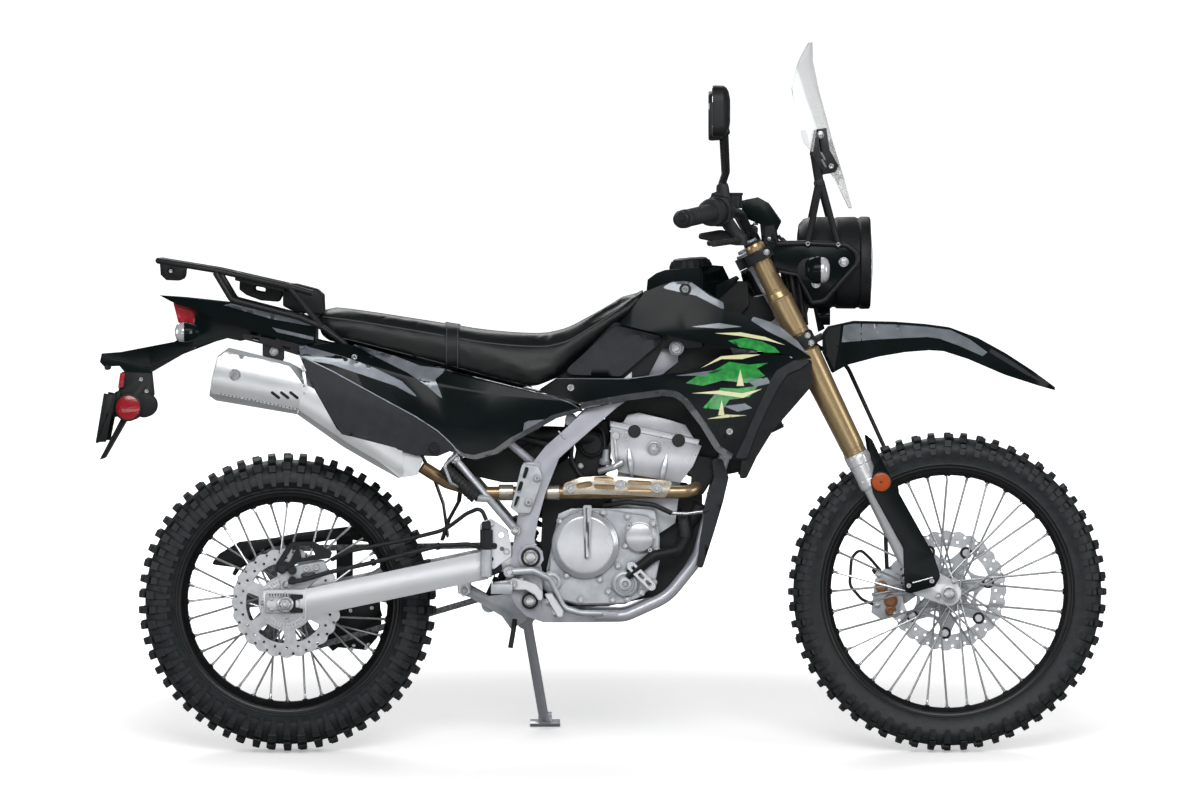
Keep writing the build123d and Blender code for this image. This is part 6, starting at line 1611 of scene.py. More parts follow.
def drive_chain():
    rear, front = Vector((0, CHAIN_Y, REAR_RADIUS)), Vector((FRONT_SPROCKET[0], CHAIN_Y, FRONT_SPROCKET[1]))
    apart = hypot(front.x - rear.x, front.z - rear.z)
    slope = atan2(front.z - rear.z, front.x - rear.x)
    open_angle = acos((REAR_PITCH_RADIUS - FRONT_PITCH_RADIUS) / apart)
    piece = redrawn("drive_chain", "chassis", "chain_steel")
    link = chain_link()
    for side in (1, -1):
        angle = slope + side * open_angle
        out = Vector((cos(angle), 0, sin(angle)))
        start, end = rear + out * REAR_PITCH_RADIUS, front + out * FRONT_PITCH_RADIUS
        run = end - start
        count = round(run.length / CHAIN_PITCH / 2)
        turn = Matrix.Translation(start) @ Matrix.Rotation(-atan2(run.z, run.x), 4, "Y")
        piece.row(moved(link, turn @ Matrix.Translation((CHAIN_PITCH / 2, 0, 0))), "oiled", count, run / count)
    for centre, radius, first, sweep in ((rear, REAR_PITCH_RADIUS, slope + open_angle, 2 * pi - 2 * open_angle),
                                         (front, FRONT_PITCH_RADIUS, slope - open_angle, 2 * open_angle)):
        count = round(radius * sweep / CHAIN_PITCH / 2)
        middle = first + sweep / count / 4
        place = Matrix.Translation((radius * cos(middle), 0, radius * sin(middle)))
        lay = place @ Matrix.Rotation(-(middle + pi / 2), 4, "Y")
        piece.ring(moved(link, lay), "oiled", count, centre, -sweep / count)
    teeth = [(x + FRONT_SPROCKET[0], z + FRONT_SPROCKET[1]) for x, z in tooth_outline(FRONT_PITCH_RADIUS - 3, 13, 3)]
    piece.add(prism(teeth, CHAIN_Y - 3, CHAIN_Y + 3, 0.6), "oiled")
    piece.add(post(towards(front, LEFT), 14, -3, 9, 1, 24), "steel")
    piece.done(sharp=40)


refined("engine_cases", "chassis", "cast_alloy", "cast").done(bevel=4.0, segments=3)
for make in (engine_covers, cylinder_head, exhaust_header, muffler, main_frame, swingarm, rear_shock,
             radiators, drive_chain):
    make()


# ---------- Fork, front brake and cockpit ----------
LEG = STEER @ Matrix.Translation((LEG_OFFSET, -LEG_Y, 0))       # Z runs up the right leg from the ground
LAMP_HEIGHT = 1066.0
BAR_POINTS = [(1008, 0, 1128), (1008, 84, 1128), (985, 165, 1172), (948, 250, 1181), (862, 410, 1161)]
FRONT_REFLECTOR, REAR_REFLECTOR = (1292, 591), (-345, 751)
FRONT_SIGNAL, REAR_SIGNAL = (-160, 1051), (-128, 916)           # y and z of the right one
BRACKET_FACE = -109
GRIP_START, GRIP_END = 292.0, 410.0
MIRROR_MIDDLE = (936.0, 385.0, 1392.0)


def on_leg(*profile, count=56):
    """Turned part on both fork legs, from (radius, distance up the steering axis) points."""
    return both(turned(LEG, list(profile), count))


def along_x(profile, y, z, count=64):
    """Turned part about a line along X, from (radius, x) points."""
    return turned(Matrix(((0, 0, 1, 0), (1, 0, 0, y), (0, 1, 0, z), (0, 0, 0, 1))), profile, count)


def fork_tubes():
    tubes = redrawn("fork_tubes", "steering", "gold_alloy")
    tubes.add(on_leg((0, 715), (23.4, 715), (24.2, 717), (24.2, 722), (23.6, 723), (23.8, 728), (24.2, 729),
        (26.6, 850), (29.2, 938), (29.5, 944), (29.5, 962), (27.5, 966), (22, 968), (22, 1003), (26.5, 1004),
        (27.4, 1007), (27.4, 1012), (26.8, 1013), (26.8, 1086), (27.4, 1087), (27.4, 1091), (25.4, 1094), (24, 1104),
        (23.4, 1106), (23.4, 1112), (22.2, 1114), (22, 1216), (20.5, 1222), (0, 1222)), "gold_anodised")
    tubes.add(on_leg((0, 1221), (18, 1221), (18.5, 1222), (18.5, 1226), (17, 1228), (0, 1228)), "black_anodised")
    tubes.pair(hex_bolt(11, 6, LEG @ Matrix.Translation((0, 0, 1228)), False), "cast")
    tubes.add(on_leg((20, 634), (24.6, 637), (25.9, 641), (25.9, 654), (25.4, 655.5), (25.4, 690), (26.4, 692),
        (26.4, 708), (25.6, 711), (25.4, 714.9), (20, 714.95)), "drawn")
    tubes.done(sharp=12)


def fork_sliders():
    legs = refined("fork_sliders", "steering", "polished_alloy", "drawn")
    centre = STEER.inverted() @ FRONT_AXLE
    for a, s in ((centre.x + 22, centre.z + 20), (centre.x - 24, centre.z + 6)):
        legs.pair(hex_bolt(5.5, 5, STEER @ towards((a, -114, s), RIGHT)), "steel")
    legs.pair(turned(side_place(FRONT_AXLE.x, FRONT_AXLE.z, -117), [(0, 0), (18, 0), (18, 3), (15, 4.5), (12, 4.5),
        (11, 2.5), (0, 2.5)], 40), "cast")
    legs.add(hex_bolt(13, 8, side_place(FRONT_AXLE.x, FRONT_AXLE.z, -119), False), "steel")
    legs.done(bevel=3.0, segments=3, sharp=32)


def fork_guards():
    guard = redrawn("fork_guards", "steering", "matte_black")
    shape = [(1262, 690, 5), (1272, 684), (1292, 642), (1327, 574), (1406, 433), (1421, 386, 16), (1408, 364, 8),
        (1356, 349, 8), (1344, 352), (1341, 400), (1340, 447), (1274, 566, 16), (1270, 590), (1276, 625), (1270, 640)]
    guard.pair(slab(shape, 14, -126.5, -121.6, 1.8), "gloss")
    guard.pair(slab([(1322, 574), (1401, 433), (1414, 390), (1404, 378), (1392, 430), (1316, 564)], 5, -123, -104, 1),
        "gloss")
    guard.pair(turned(side_place(*FRONT_REFLECTOR, -125), [(0, 0), (22.5, 0), (22.5, 4), (20.5, 5), (0, 5)], 40),
               "coated")
    guard.pair(turned(side_place(*FRONT_REFLECTOR, -125), [(0, 3), (20, 3), (20, 6.2), (17, 7.4), (0, 7.8)], 40),
        "orange_lens")
    guard.pair(post(side_place(*FRONT_REFLECTOR, -131.6), 2.6, 0, 1.6, 0.5, 16), "coated")
    for x, z in ((1402, 376), (1352, 366)):
        guard.pair(cap_screw(5.5, 4, side_place(x, z, -126)), "steel")
    guard.pair(tube([(1360, -126.5, 372), (1404, -126.5, 384)], 1.8, sides=8), "steel")
    guard.done(bevel=4.0, segments=3, sharp=30)


def front_caliper():
    brake = refined("front_caliper", "steering", "cast_alloy", "cast")
    for x, z, radius in ((1298, 357, 10.5), (1318, 326, 12.5), (1318, 304, 9.5)):
        brake.add(turned(towards((x, 42, z), RIGHT), [(0, -1), (radius + 3, -1), (radius + 3, 1.5), (radius, 1.6),
            (radius, 3.2), (radius - 3, 4), (radius - 4, 2.2), (0, 2.2)], 32), "brown_piston")
    for x, z in ((1288, 318), (1292, 384), (1334, 378), (1328, 298)):
        brake.add(hex_bolt(6, 5, towards((x, 42, z), RIGHT)), "steel")
        brake.add(hex_bolt(6, 5, towards((x, 66, z), LEFT)), "steel")
    brake.add(tube([(1276, 40, 340), (1340, 40, 352)], 3.2, sides=10), "steel")
    brake.add(post(towards((1286, 56, 386), (-0.6, 0, 1)), 5, 0, 12, 1, 16), "rubber")
    loop = smooth_path([(1296, 46, 392), (1272, 44, 420), (1250, 44, 440), (1232, 44, 420), (1228, 44, 360),
        (1254, 44, 330), (1280, 44, 318)], 26)
    brake.add(tube(loop, 3.4, sides=10), "rubber")
    brake.done(bevel=3.0, segments=3, sharp=32)


def triple_clamps():
    clamp = refined("triple_clamps", "steering", "clamp_alloy", "black_anodised")
    for s in (976, 994, 1195):
        for y in (-112, 112):
            clamp.add(hex_bolt(6, 6, STEER @ towards((LEG_OFFSET - 25, y, s), (-1, 0, 0))), "steel")
            clamp.add(hex_bolt(5, 5, STEER @ towards((LEG_OFFSET + 18, y * 1.13, s), (0, y, 0))), "steel")
    clamp.add(moved(joined(lathe([(0, 1206), (24, 1206), (24, 1212), (21, 1214), (0, 1214)], 40),
        hex_bolt(17, 9, Matrix.Translation((0, 0, 1213)), False)), STEER), "cast")
    for y in (-45, 45):
        for x in (-13, 13):
            clamp.add(cap_screw(5, 6, towards((1008 + x, y, 1148), UP)), "steel")
        clamp.add(slab([(990, 1128), (990, 1147), (1026, 1147), (1026, 1128)], 9, y - 13, y + 13, 1.2,
            [circle((1008, 1128), 11.2, 28)]), "black_anodised")
    clamp.done(bevel=3.0, segments=3)


def grip_line(y):
    inner, outer = Vector(BAR_POINTS[3]), Vector(BAR_POINTS[4])
    return inner.lerp(outer, (y - inner.y) / (outer.y - inner.y))


def hand_controls():
    hands = refined("hand_controls", "steering", "soft_rubber", "rubber")
    start, end = grip_line(GRIP_START), grip_line(GRIP_END)
    way, length = (end - start).normalized(), (end - start).length
    ribs = [(11.6, -1), (28.5, -1), (29.5, 1), (28.5, 5), (20, 7), (18.5, 10)]
    for k in range(14):
        at = 14 + k * (length - 34) / 14
        ribs += [(18.0, at), (19.2, at + 1.2), (19.2, at + 3.6), (18.0, at + 4.8)]
    ribs += [(18.2, length - 12), (20.2, length - 10), (20.4, length - 1), (19.0, length + 1.5), (0, length + 2)]
    hands.pair(turned(towards(start, way), [(0, -1)] + ribs, 40), "rubber")
    hands.pair(moved(joined(disc_shape(16.5, 0, 9, 2.5, 32), disc_shape(5, 8, 10.4, 0.6, 20)),
        towards(end + way * 2, way)), "coated")
    for back, radius, long in ((8, 31, 16), (27, 30, 14), (43, 28, 6)):
        hands.pair(post(towards(start - way * back, way), radius, -long / 2, long / 2, 2.5, 40), "matte")
    box = start - way * 24
    hands.pair(moved(slab([(-26, -30), (-26, 20), (-8, 34), (22, 30), (30, 8), (26, -24), (8, -34)], 8, -17, 17, 3),
        Matrix.Translation(box)), "matte")
    hands.pair(slab([(box.x - 12, box.z + 28), (box.x - 8, box.z + 42), (box.x + 20, box.z + 40),
        (box.x + 26, box.z + 24)], 5, box.y - 18, box.y + 10, 2), "matte")
    hands.pair(cap_screw(4, 3, towards(box + Vector((-20, 16, 14)), (-0.7, 0, 0.7))), "steel")
    hands.pair(slab([(900, 1130), (946, 1138), (972, 1128), (986, 1112), (976, 1104), (930, 1112), (898, 1118)], 7, 214,
        226, 2), "coated")
    reservoir = joined(disc_shape(21, -14, 16, 2, 36), disc_shape(23, 14, 20, 1.5, 36))
    hands.add(moved(reservoir, Matrix.Translation((968, -232, 1198))), "matte")
    hands.done(bevel=2.0, sharp=34)


def mirrors():
    glass = redrawn("mirrors", "steering", "mirror_shell")
    x, y, z = MIRROR_MIDDLE
    face = round_outline([(-74, -50), (-70, 52), (70, 56), (74, -44), (52, -56), (-54, -56)], 38, 6)
    rings = []
    for depth, scale in ((-15, 0.955), (-14, 0.985), (-8, 1.0), (8, 0.985), (15, 0.9), (20, 0.74), (23, 0.45)):
        rings.append([(x + depth + 2, y + u * scale, z + v * scale) for u, v in face])
    glass.pair(loft(rings), "matte")
    rings = [[(x - 12.4 - k, y + u * 0.93, z + v * 0.93) for u, v in face] for k in (-1.5, 1.0)]
    glass.pair(loft(rings), "mirror_glass")
    knee, low = (948, 276, 1238), (952, 363, 1344)
    foot = (grip_line(272).x + 16, 272, grip_line(272).z + 24)
    glass.pair(pipe([foot, knee, (956, 300, 1262), low, (946, 372, 1366)], 26, 6, 16), "coated")
    glass.pair(turned(towards(foot, Vector(knee) - Vector(foot)), [(0, -6), (12, -6), (13, 0), (11.5, 4), (11, 26),
        (9.5, 34), (7, 37), (0, 37)], 28), "rubber")
    glass.pair(hex_bolt(9, 8, towards(foot, Vector(knee) - Vector(foot)), False), "coated")
    glass.pair(post(towards((950, 368, 1350), (0.9, 0.2, 0.3)), 11, -9, 9, 3, 24), "matte")
    glass.done(sharp=34)


def instrument_panel():
    dash = refined("instrument_panel", "steering", "gloss_black", "gloss")
    dash.add(slab([(994, 1170), (996, 1203), (1026, 1209), (1050, 1196), (1078, 1156), (1070, 1150), (1044, 1184),
        (1022, 1196), (1003, 1190)], 4, -60, 60, 2), "gauge_glass")
    for y in (-58, 58):
        dash.add(hex_bolt(5, 5, side_place(1050, 1118, y + (8 if y > 0 else -8))), "steel")
        dash.add(slab([(1036, 1100), (1040, 1146), (1062, 1150), (1070, 1110)], 5, min(y, y * 1.17), max(y, y * 1.17),
            2), "matte")
    dash.done(bevel=3.5, segments=3, sharp=30)


def headlight():
    lamp_piece = redrawn("headlight", "steering", "matte_black")
    shell = [(0, 1112), (62, 1112), (84, 1115), (96, 1126), (100, 1142), (100, 1184), (97, 1189), (97, 1194),
        (100, 1198), (100.5, 1238), (98, 1242), (98, 1246), (101, 1250), (101, 1266), (99.5, 1270), (95, 1271.5),
        (93, 1268), (60, 1215), (0, 1200)]
    lamp_piece.add(along_x(shell, 0, LAMP_HEIGHT, 96), "matte")
    cover = [(0, 1276.5), (30, 1276), (62, 1273.5), (84, 1270), (93, 1266.5), (93, 1263), (84, 1266), (62, 1270),
        (30, 1272.5), (0, 1273)]
    lamp_piece.add(along_x(cover[::-1], 0, LAMP_HEIGHT, 96), "lamp_glass")
    bowl = [(0, 1212), (24, 1214), (56, 1226), (78, 1244), (90, 1262), (88, 1263), (74, 1244), (50, 1222), (0, 1208)]
    lamp_piece.add(along_x(bowl, 0, LAMP_HEIGHT, 64), "reflector")
    lamp_piece.add(along_x([(0, 1212), (11, 1214), (11, 1240), (7, 1244), (0, 1245)], 0, LAMP_HEIGHT, 24), "reflector")
    for k in range(4):
        angle = radians(45 + 90 * k)
        lamp_piece.add(hex_bolt(4, 4, towards((1112, 50 * cos(angle), LAMP_HEIGHT + 50 * sin(angle)), (-1, 0, 0))),
            "steel")
    lamp_piece.done(sharp=34)


def headlight_bracket():
    plates = refined("headlight_bracket", "steering", "black_steel", "gloss")
    rim = smooth_path([(1066, -110, 1108), (1133, -110, 1109), (1218, -110, 1105), (1242, -110, 1086),
        (1240, -110, 1064), (1189, -110, 1008), (1168, -110, 984), (1142, -110, 980)], 18)
    plates.pair(tube(rim, 6, sides=14), "coated")
    plates.pair(tube([(1142, -110, 980), (1112, -110, 1040), (1070, -110, 1048)], 4, sides=12), "coated")
    plates.pair(post(side_place(1136, 1052, BRACKET_FACE), 26, -1, 2.5, 1, 40), "matte")
    for x, z, radius in ((1211, 1068, 8), (1151, 1021, 7)):
        plates.pair(post(side_place(x, z, BRACKET_FACE), radius + 3, -1, 3.5, 1, 28), "steel")
        plates.pair(hex_bolt(radius, 7, side_place(x, z, BRACKET_FACE - 2), False), "steel")
    cables = [(1086, -92, 955), (1100, -74, 948), (1076, -58, 940), (1108, -46, 930), (1092, -30, 925)]
    for k, (x, y, low) in enumerate(cables):
        line = [(x - 30, y * 0.7, 1128 - 3 * k), (x + 4, y, 1086), (x + 16, y, 1010), (x + 24, y * 0.9, low)]
        cable = pipe(line, 40, 4.2 - 0.3 * (k % 3), 10)
        plates.add(cable if k in (1, 3) else both(cable), "rubber")
    plates.add(slab([(1072, 1112), (1078, 1020), (1096, 950), (1130, 940), (1142, 990), (1112, 1060), (1104, 1112)], 10,
        -40, 40, 3), "matte")
    plates.done(bevel=1.5, segments=2)


def front_signals():
    lens = redrawn("front_signals", "steering", "gloss_black")
    body = [(0, 1126), (14, 1126), (20, 1129), (27, 1138), (30, 1150), (30, 1158), (28.5, 1160), (0, 1160)]
    face = [(0, 1159), (28, 1159), (28.6, 1161), (27, 1170), (22, 1176), (12, 1179.5), (0, 1180)]
    lens.pair(along_x(body, *FRONT_SIGNAL, 40), "gloss")
    lens.pair(along_x(face, *FRONT_SIGNAL, 40), "clear_lens")
    lens.pair(tube([(1148, -108, 1051), (1148, -136, 1051)], 8, sides=20), "rubber")
    for k in range(3):
        lens.pair(post(towards((1148, -114 - 7 * k, 1051), LEFT), 9.6, -1.5, 1.5, 0.8, 24), "rubber")
    lens.done(sharp=34)


def screen():
    refined("windscreen", "steering", "clear_screen", "clear_screen").done(bevel=0.6, sharp=25)
    stay = refined("screen_stay", "steering", "black_steel", "coated")
    for x, z, angle in ((1168, 1282, -62), (1166, 1298, -62)):
        stay.pair(prism(slot_outline((x, z), angle, 15, 2.2), -108.4, -106.8, 0.3), "silver")
    stay.pair(hex_bolt(6, 5, side_place(1160, 1344, -107)), "steel")
    stay.pair(cap_screw(6, 4, side_place(1184, 1276, -107)), "steel")
    stay.pair(post(side_place(1160, 1240, -98), 10, -8, 8, 2, 24), "coated")
    for x, z in ((1133, 1108), (1199, 1106)):
        stay.pair(post(side_place(x, z, -106), 9, -7, 7, 2, 24), "coated")
        stay.pair(cap_screw(5, 3, side_place(x, z, -113)), "steel")
    stay.done(bevel=1.5)


for make in (fork_tubes, fork_sliders, fork_guards, front_caliper, triple_clamps):
    make()
refined("handlebar", "steering", "black_steel", "coated").done(sharp=45)
for make in (hand_controls, mirrors, instrument_panel, headlight, headlight_bracket, front_signals, screen):
    make()


# ---------- Seat, tail and stand ----------
SEAT_TOP = [(65, 970), (148, 961), (300, 938), (380, 925), (426, 918), (502, 911), (559, 910), (584, 914), (616, 923),
            (647, 939), (710, 975), (774, 1019), (779, 1021)]
SEAT_FOOT = [(65, 904), (135, 893), (332, 843), (426, 817), (502, 798), (543, 787), (584, 811), (603, 829), (647, 871),
             (679, 898), (717, 929), (755, 965), (779, 993)]
SEAT_HALF = [(65, 92), (150, 104), (430, 114), (600, 108), (700, 84), (779, 59)]
SEAT_SWELL = 5.0                               # how far the pad is drawn inside the seat before it is blown up
SEAT_CELL, SEAT_PRESSURE, SEAT_FRAMES = 0.006, 4.0, 20
STRAP = (345.0, 377.0)


def seat_section(x, shrink):
    """Ring of the seat at a station: a crowned top, full sides and a flat foot."""
    (top,), (foot,), (half,) = smoothly(x, SEAT_TOP), between(x, SEAT_FOOT), between(x, SEAT_HALF)
    top, foot, half = top - shrink * 0.6, foot + shrink * 0.6, half - shrink
    height = top - foot
    ring = []
    for k in range(28):
        angle = pi * k / 27
        u, v = cos(angle), sin(angle)
        y = half * (abs(u) ** 0.55) * (1 if u > 0 else -1)
        ring.append(Vector((x, y * (0.94 + 0.06 * v), foot + height * (0.12 + 0.88 * v ** 0.62))))
    return [Vector((x, half * 0.92, foot))] + ring + [Vector((x, -half * 0.92, foot))]


def seat():
    """Seat pad: blown up as a cushion inside its cover, then sewn and strapped."""
    stations = [70, 78] + [90 + 20 * k for k in range(34)] + [765, 774]
    shrink = SEAT_SWELL
    rings = [seat_section(x, shrink) for x in stations]
    for ring, share in ((rings[0], 0.82), (rings[1], 0.95), (rings[-1], 0.8), (rings[-2], 0.95)):
        middle = sum(ring, Vector()) / len(ring)
        for p in ring:
            p.y *= share
            p.z = middle.z + (p.z - middle.z) * share
    pad = redrawn("seat", "chassis", "seat_vinyl")
    pad.add(loft(rings), "seat_vinyl")
    shown = pad.done(sharp=60)
    puffed(shown, SEAT_CELL, SEAT_PRESSURE, SEAT_FRAMES, SEAT_SWELL * 1.3)
    soften = shown.modifiers.new("smooth", "SUBSURF")
    soften.levels = soften.render_levels = 1
    apply_modifiers(shown)
    shown.data.polygons.foreach_set("use_smooth", [True] * len(shown.data.polygons))

    skin = bmesh.new()
    skin.from_mesh(shown.data)
    skin.transform(UPRIGHT.inverted())
    tree = BVHTree.FromBMesh(skin)
    skin.free()
    trim = Piece("seat_trim", "chassis", "seat_vinyl")
    line = []
    for k in range(46):
        x = 80 + 15 * k
        z = smoothly(x, SEAT_TOP)[0] - between(x, [(80, 20), (400, 24), (600, 26), (760, 16)])[0]
        line.append(Vector((x, height_at(tree, x, z) + 0.2, z)))
    trim.pair(tube(line, 1.5, sides=8), "seat_thread")
    hem = []
    for k in range(32):
        x = 85 + 14.5 * k
        z = between(x, SEAT_FOOT)[0] + 7
        hem.append(Vector((x, height_at(tree, x, z) + 0.2, z)))
    trim.pair(tube(hem, 1.2, sides=8), "seat_thread")
    strap = []
    for grow in (0.4, 3.4):
        for x in STRAP:
            loop = []
            for k in range(41):
                angle = radians(-28 + 236 * k / 40)
                way = Vector((0, cos(angle), sin(angle)))
                start = Vector((x, 0, 880)) + way * 300
                hit = tree.ray_cast(start, -way)[0]
                loop.append((hit or Vector((x, 0, 880)) + way * 60) + way * grow)
            strap.append(loop)
    inner_low, inner_high, outer_low, outer_high = strap
    ends = [[a, b, c, d] for a, b, c, d in zip(inner_low, inner_high, outer_high, outer_low)]
    trim.add(loft(ends), "matte")
    for x in (STRAP[0] + 4, STRAP[1] - 4):
        share = (x - STRAP[0]) / (STRAP[1] - STRAP[0])
        path = [a.lerp(b, share) for a, b in zip(outer_low, outer_high)]
        trim.add(tube(path, 0.8, sides=6), "seat_thread")
    trim.done(sharp=40)


def puffed(shown, voxel, pressure, frames, cap):
    """Blows a closed mesh up as cloth with air in it, no point moving further than a cap in millimetres."""
    remesh = shown.modifiers.new("even", "REMESH")
    remesh.mode, remesh.voxel_size = "VOXEL", voxel
    apply_modifiers(shown)
    start = [v.co.copy() for v in shown.data.vertices]
    sim = shown.modifiers.new("cover", "CLOTH")
    sim.settings.quality = 4
    sim.settings.use_pressure = True
    sim.settings.uniform_pressure_force = pressure
    sim.settings.effector_weights.gravity = 0
    sim.settings.tension_stiffness = sim.settings.compression_stiffness = 20
    sim.point_cache.frame_start, sim.point_cache.frame_end = 1, frames
    scene = bpy.context.scene
    for step in range(1, frames + 1):
        scene.frame_set(step)
    result = bpy.data.meshes.new_from_object(shown.evaluated_get(bpy.context.evaluated_depsgraph_get()))
    shown.modifiers.clear()
    limit = cap / 1000
    for vert, old in zip(result.vertices, start):
        push = vert.co - old
        if push.length > limit:
            vert.co = old + push.normalized() * limit
    old = shown.data
    shown.data = result
    bpy.data.meshes.remove(old)
    result.name = shown.name
    scene.frame_set(1)


def rear_fender():
    fender = refined("rear_fender", "chassis", "matte_black", "gloss")
    skin = tree_of("rear_fender")
    fender.pair(laid(ribbon([(-385, 856), (-300, 842), (-230, 868), (-150, 898)], 5, 0.5), skin, 1.2), "matte")
    fender.pair(post(side_place(-392, 838, height_at(skin, -392, 838)), 6, -1, 2, 0.8, 20), "coated")
    fender.done(bevel=3.0, segments=3)


def tail_light():
    lamp_piece = refined("tail_light", "chassis", "lamp_red", "red_lens")
    lamp_piece.add(slab([(-238, 972), (-203, 962), (-204, 936), (-232, 940)], 4, -45.2, 45.2, 0.8), "red_lens")
    lamp_piece.done(bevel=3.0)


def plate_holder():
    plate = refined("plate_holder", "chassis", "matte_black", "matte")
    plate.pair(turned(side_place(*REAR_REFLECTOR, -58), [(0, -1), (27, -1), (27, 1.6), (25, 2.6), (0, 2.9)], 48),
               "red_lens")
    plate.pair(turned(side_place(*REAR_REFLECTOR, -58), [
        (26, -1), (30, -1), (30, 2.2), (28.6, 3.2), (27, 3.2), (26, 2)], 48, True), "coated")
    plate.add(slab([(-363, 826), (-352, 827), (-356, 796), (-368, 792)], 3, -42, 42, 1), "red_lens")
    plate.pair(prism([(-396, 783), (-371, 778), (-391, 677), (-414, 676)], -89, -85), "matte")
    for x, z in ((-318, 812), (-306, 786)):
        plate.pair(cap_screw(5, 3, side_place(x, z, -30)), "steel")
    plate.done(bevel=1.2)


def rear_signals():
    signals = redrawn("rear_signals", "chassis", "gloss_black")
    body = [(0, -185), (9, -186), (15, -192), (20, -203), (22, -214), (22, -219), (0, -219)]
    lens = [(0, -218), (21, -218), (21.4, -220), (20.6, -230), (16, -236), (8, -238.6), (0, -239)]
    signals.pair(along_x(body[::-1], *REAR_SIGNAL, 36), "gloss")
    signals.pair(along_x(lens[::-1], *REAR_SIGNAL, 36), "clear_lens")
    signals.pair(tube([(-207, -66, 916), (-207, -110, 916)], 8, sides=18), "rubber")
    signals.pair(cap_screw(3, 1.5, side_place(-204, 916, -147)), "steel")
    signals.done(sharp=34)


def luggage_rack():
    rack = refined("luggage_rack", "chassis", "black_steel", "coated")
    rack.pair(slab([(-275, 1062), (-272, 1064), (-224, 1054), (-224, 1032), (-236, 1027), (-262, 1028), (-275, 1040)],
        5, -40, -34, 1, [circle((-253, 1048), 6.5, 24)]), "matte")
    rack.pair(post(side_place(-253, 1048, -33), 5, -1, 1.5, 0.6, 18), "steel")
    rack.add(slab([(-102, 1030), (-14, 1012), (-8, 1000), (-18, 981), (-56, 984), (-88, 996), (-103, 1008)], 5, -52, 52,
        1.5, [slot_outline((-58, 1009), -11, 16, 4.5)]), "matte")
    rack.add(slab([(-8, 1020), (20, 1021), (66, 1009), (80, 997), (82, 952), (20, 958), (-8, 972)], 6, -56, 56, 3),
        "matte")
    for k in range(4):
        x = -96 + 28 * k
        rack.add(prism(slot_outline((x + 6, 1034 - 0.226 * (x + 116)), -12.8, 16, 1.6), -90, 90, 0.6), "matte")
    for x, z in ((-150, 1047), (6, 1014), (-117, 987), (30, 949)):
        rack.pair(post(towards((x, -112, z), (1, 0, -0.25)), 7.6, -2.2, 2.2, 1, 20), "coated")
    rack.pair(cap_screw(7, 6, side_place(150, 862, -129)), "steel")
    rack.done(bevel=1.2, sharp=34)


def strap_and_shade_sheets():
    rest = Piece("strap_and_shade_sheets", "chassis", "matte_black")
    strap = [(-94, 914), (-90, 900), (-50, 890), (14, 870), (32, 864), (30, 886), (-40, 904)]
    rest.pair(slab(strap, 4, -122.5, -118, 1, [slot_outline((-64, 901), -14, 12, 2.5),
        slot_outline((2, 882), -14, 14, 2.5)]), "coated")
    # Flat black sheets inside the bike, between frame, engine and bodywork: painted shade that fills the shaded gaps
    rest.pair(prism([(690, 700), (700, 790), (800, 820), (900, 820), (1000, 800), (985, 610), (938, 600), (880, 640),
        (860, 700)], -30, -24), "matte")
    rest.pair(prism([(560, 790), (612, 827), (722, 926), (955, 905), (975, 860), (975, 812), (900, 800), (700, 786)],
        -74, -69), "matte")
    rest.pair(slab([(938, 985), (946, 958), (984, 946), (1008, 975), (1004, 1026), (982, 1026)], 6, -52, -46, 1.5),
        "matte")
    rest.pair(prism([(548, 345), (560, 600), (610, 640), (700, 600), (870, 585), (905, 560), (905, 470), (862, 400),
        (830, 345), (700, 318), (580, 318)], -40, -34), "matte")
    rest.pair(slab([(375, 640), (440, 646), (500, 680), (560, 700), (590, 650), (560, 598), (520, 588), (470, 588),
        (400, 604)], 10, -60, -52, 2), "matte")
    rest.pair(prism(ribbon([(380, 590), (374, 545), (352, 505), (338, 462)], 8), -76, -64, 2), "matte")
    rest.pair(prism([(580, 800), (606, 827), (712, 936), (765, 937), (830, 904), (775, 796)], -110, -106), "matte")
    rest.pair(prism([(330, 838), (426, 811), (540, 781), (556, 768), (430, 796), (330, 824)], -103, -99), "matte")
    rest.pair(prism([(60, 900), (330, 838), (330, 815), (60, 880)], -96, -92), "matte")
    rest.done()


def rear_caliper():
    """Rear caliper under its black guard, on the plate that holds it to the arm."""
    brake = redrawn("rear_caliper", "chassis", "cast_alloy")
    brake.add(slab([(26, 384), (24, 416), (40, 424), (84, 419), (82, 388), (58, 380)], 6, -80, -46, 3), "cast")
    brake.add(slab([(34, 390), (36, 412), (74, 410), (72, 392)], 6, -83, -78, 2), "cover")
    brake.add(slab([(-14, 352), (-12, 404), (30, 410), (84, 420), (90, 392), (60, 372), (40, 350)], 8, -92, -84, 1.5,
        [circle((0, 366), 7, 20), slot_outline((48, 388), 10, 22, 5)]), "cast")
    guard = round_outline([(-24, 396), (-22, 412), (2, 450), (12, 460), (60, 461), (101, 438), (96, 424), (74, 422),
        (28, 416), (6, 400), (-8, 390)], 5)
    gaps = [round_outline([(-4, 418), (14, 448), (24, 449), (6, 414)], 2),
        round_outline([(28, 452), (52, 452), (64, 432), (34, 424)], 3)]
    brake.add(prism(guard, -98, -93, 1.2, gaps), "coated")
    for x, z, radius in ((-8, 402, 10), (14, 398, 9), (14, 376, 9)):
        brake.add(post(side_place(x, z, -95), radius, -4, 6, 1.5, 24), "rubber")
    for x, z in ((44, 401), (66, 404)):
        brake.add(cap_screw(6, 4, side_place(x, z, -94)), "steel")
    hose = [(5, -104, 372), (40, -106, 378), (92, -108, 394), (169, -108, 411), (250, -108, 431), (333, -108, 452),
        (400, -110, 456), (452, -108, 436)]
    brake.add(pipe(hose, 60, 5, 12), "rubber")
    for k in range(4):
        x = 120 + 70 * k
        brake.add(post(towards((x, -108, 399 + (x - 120) * 0.247), (1, 0, 0.247)), 8, -5, 5, 1, 20), "coated")
    brake.done(sharp=34)


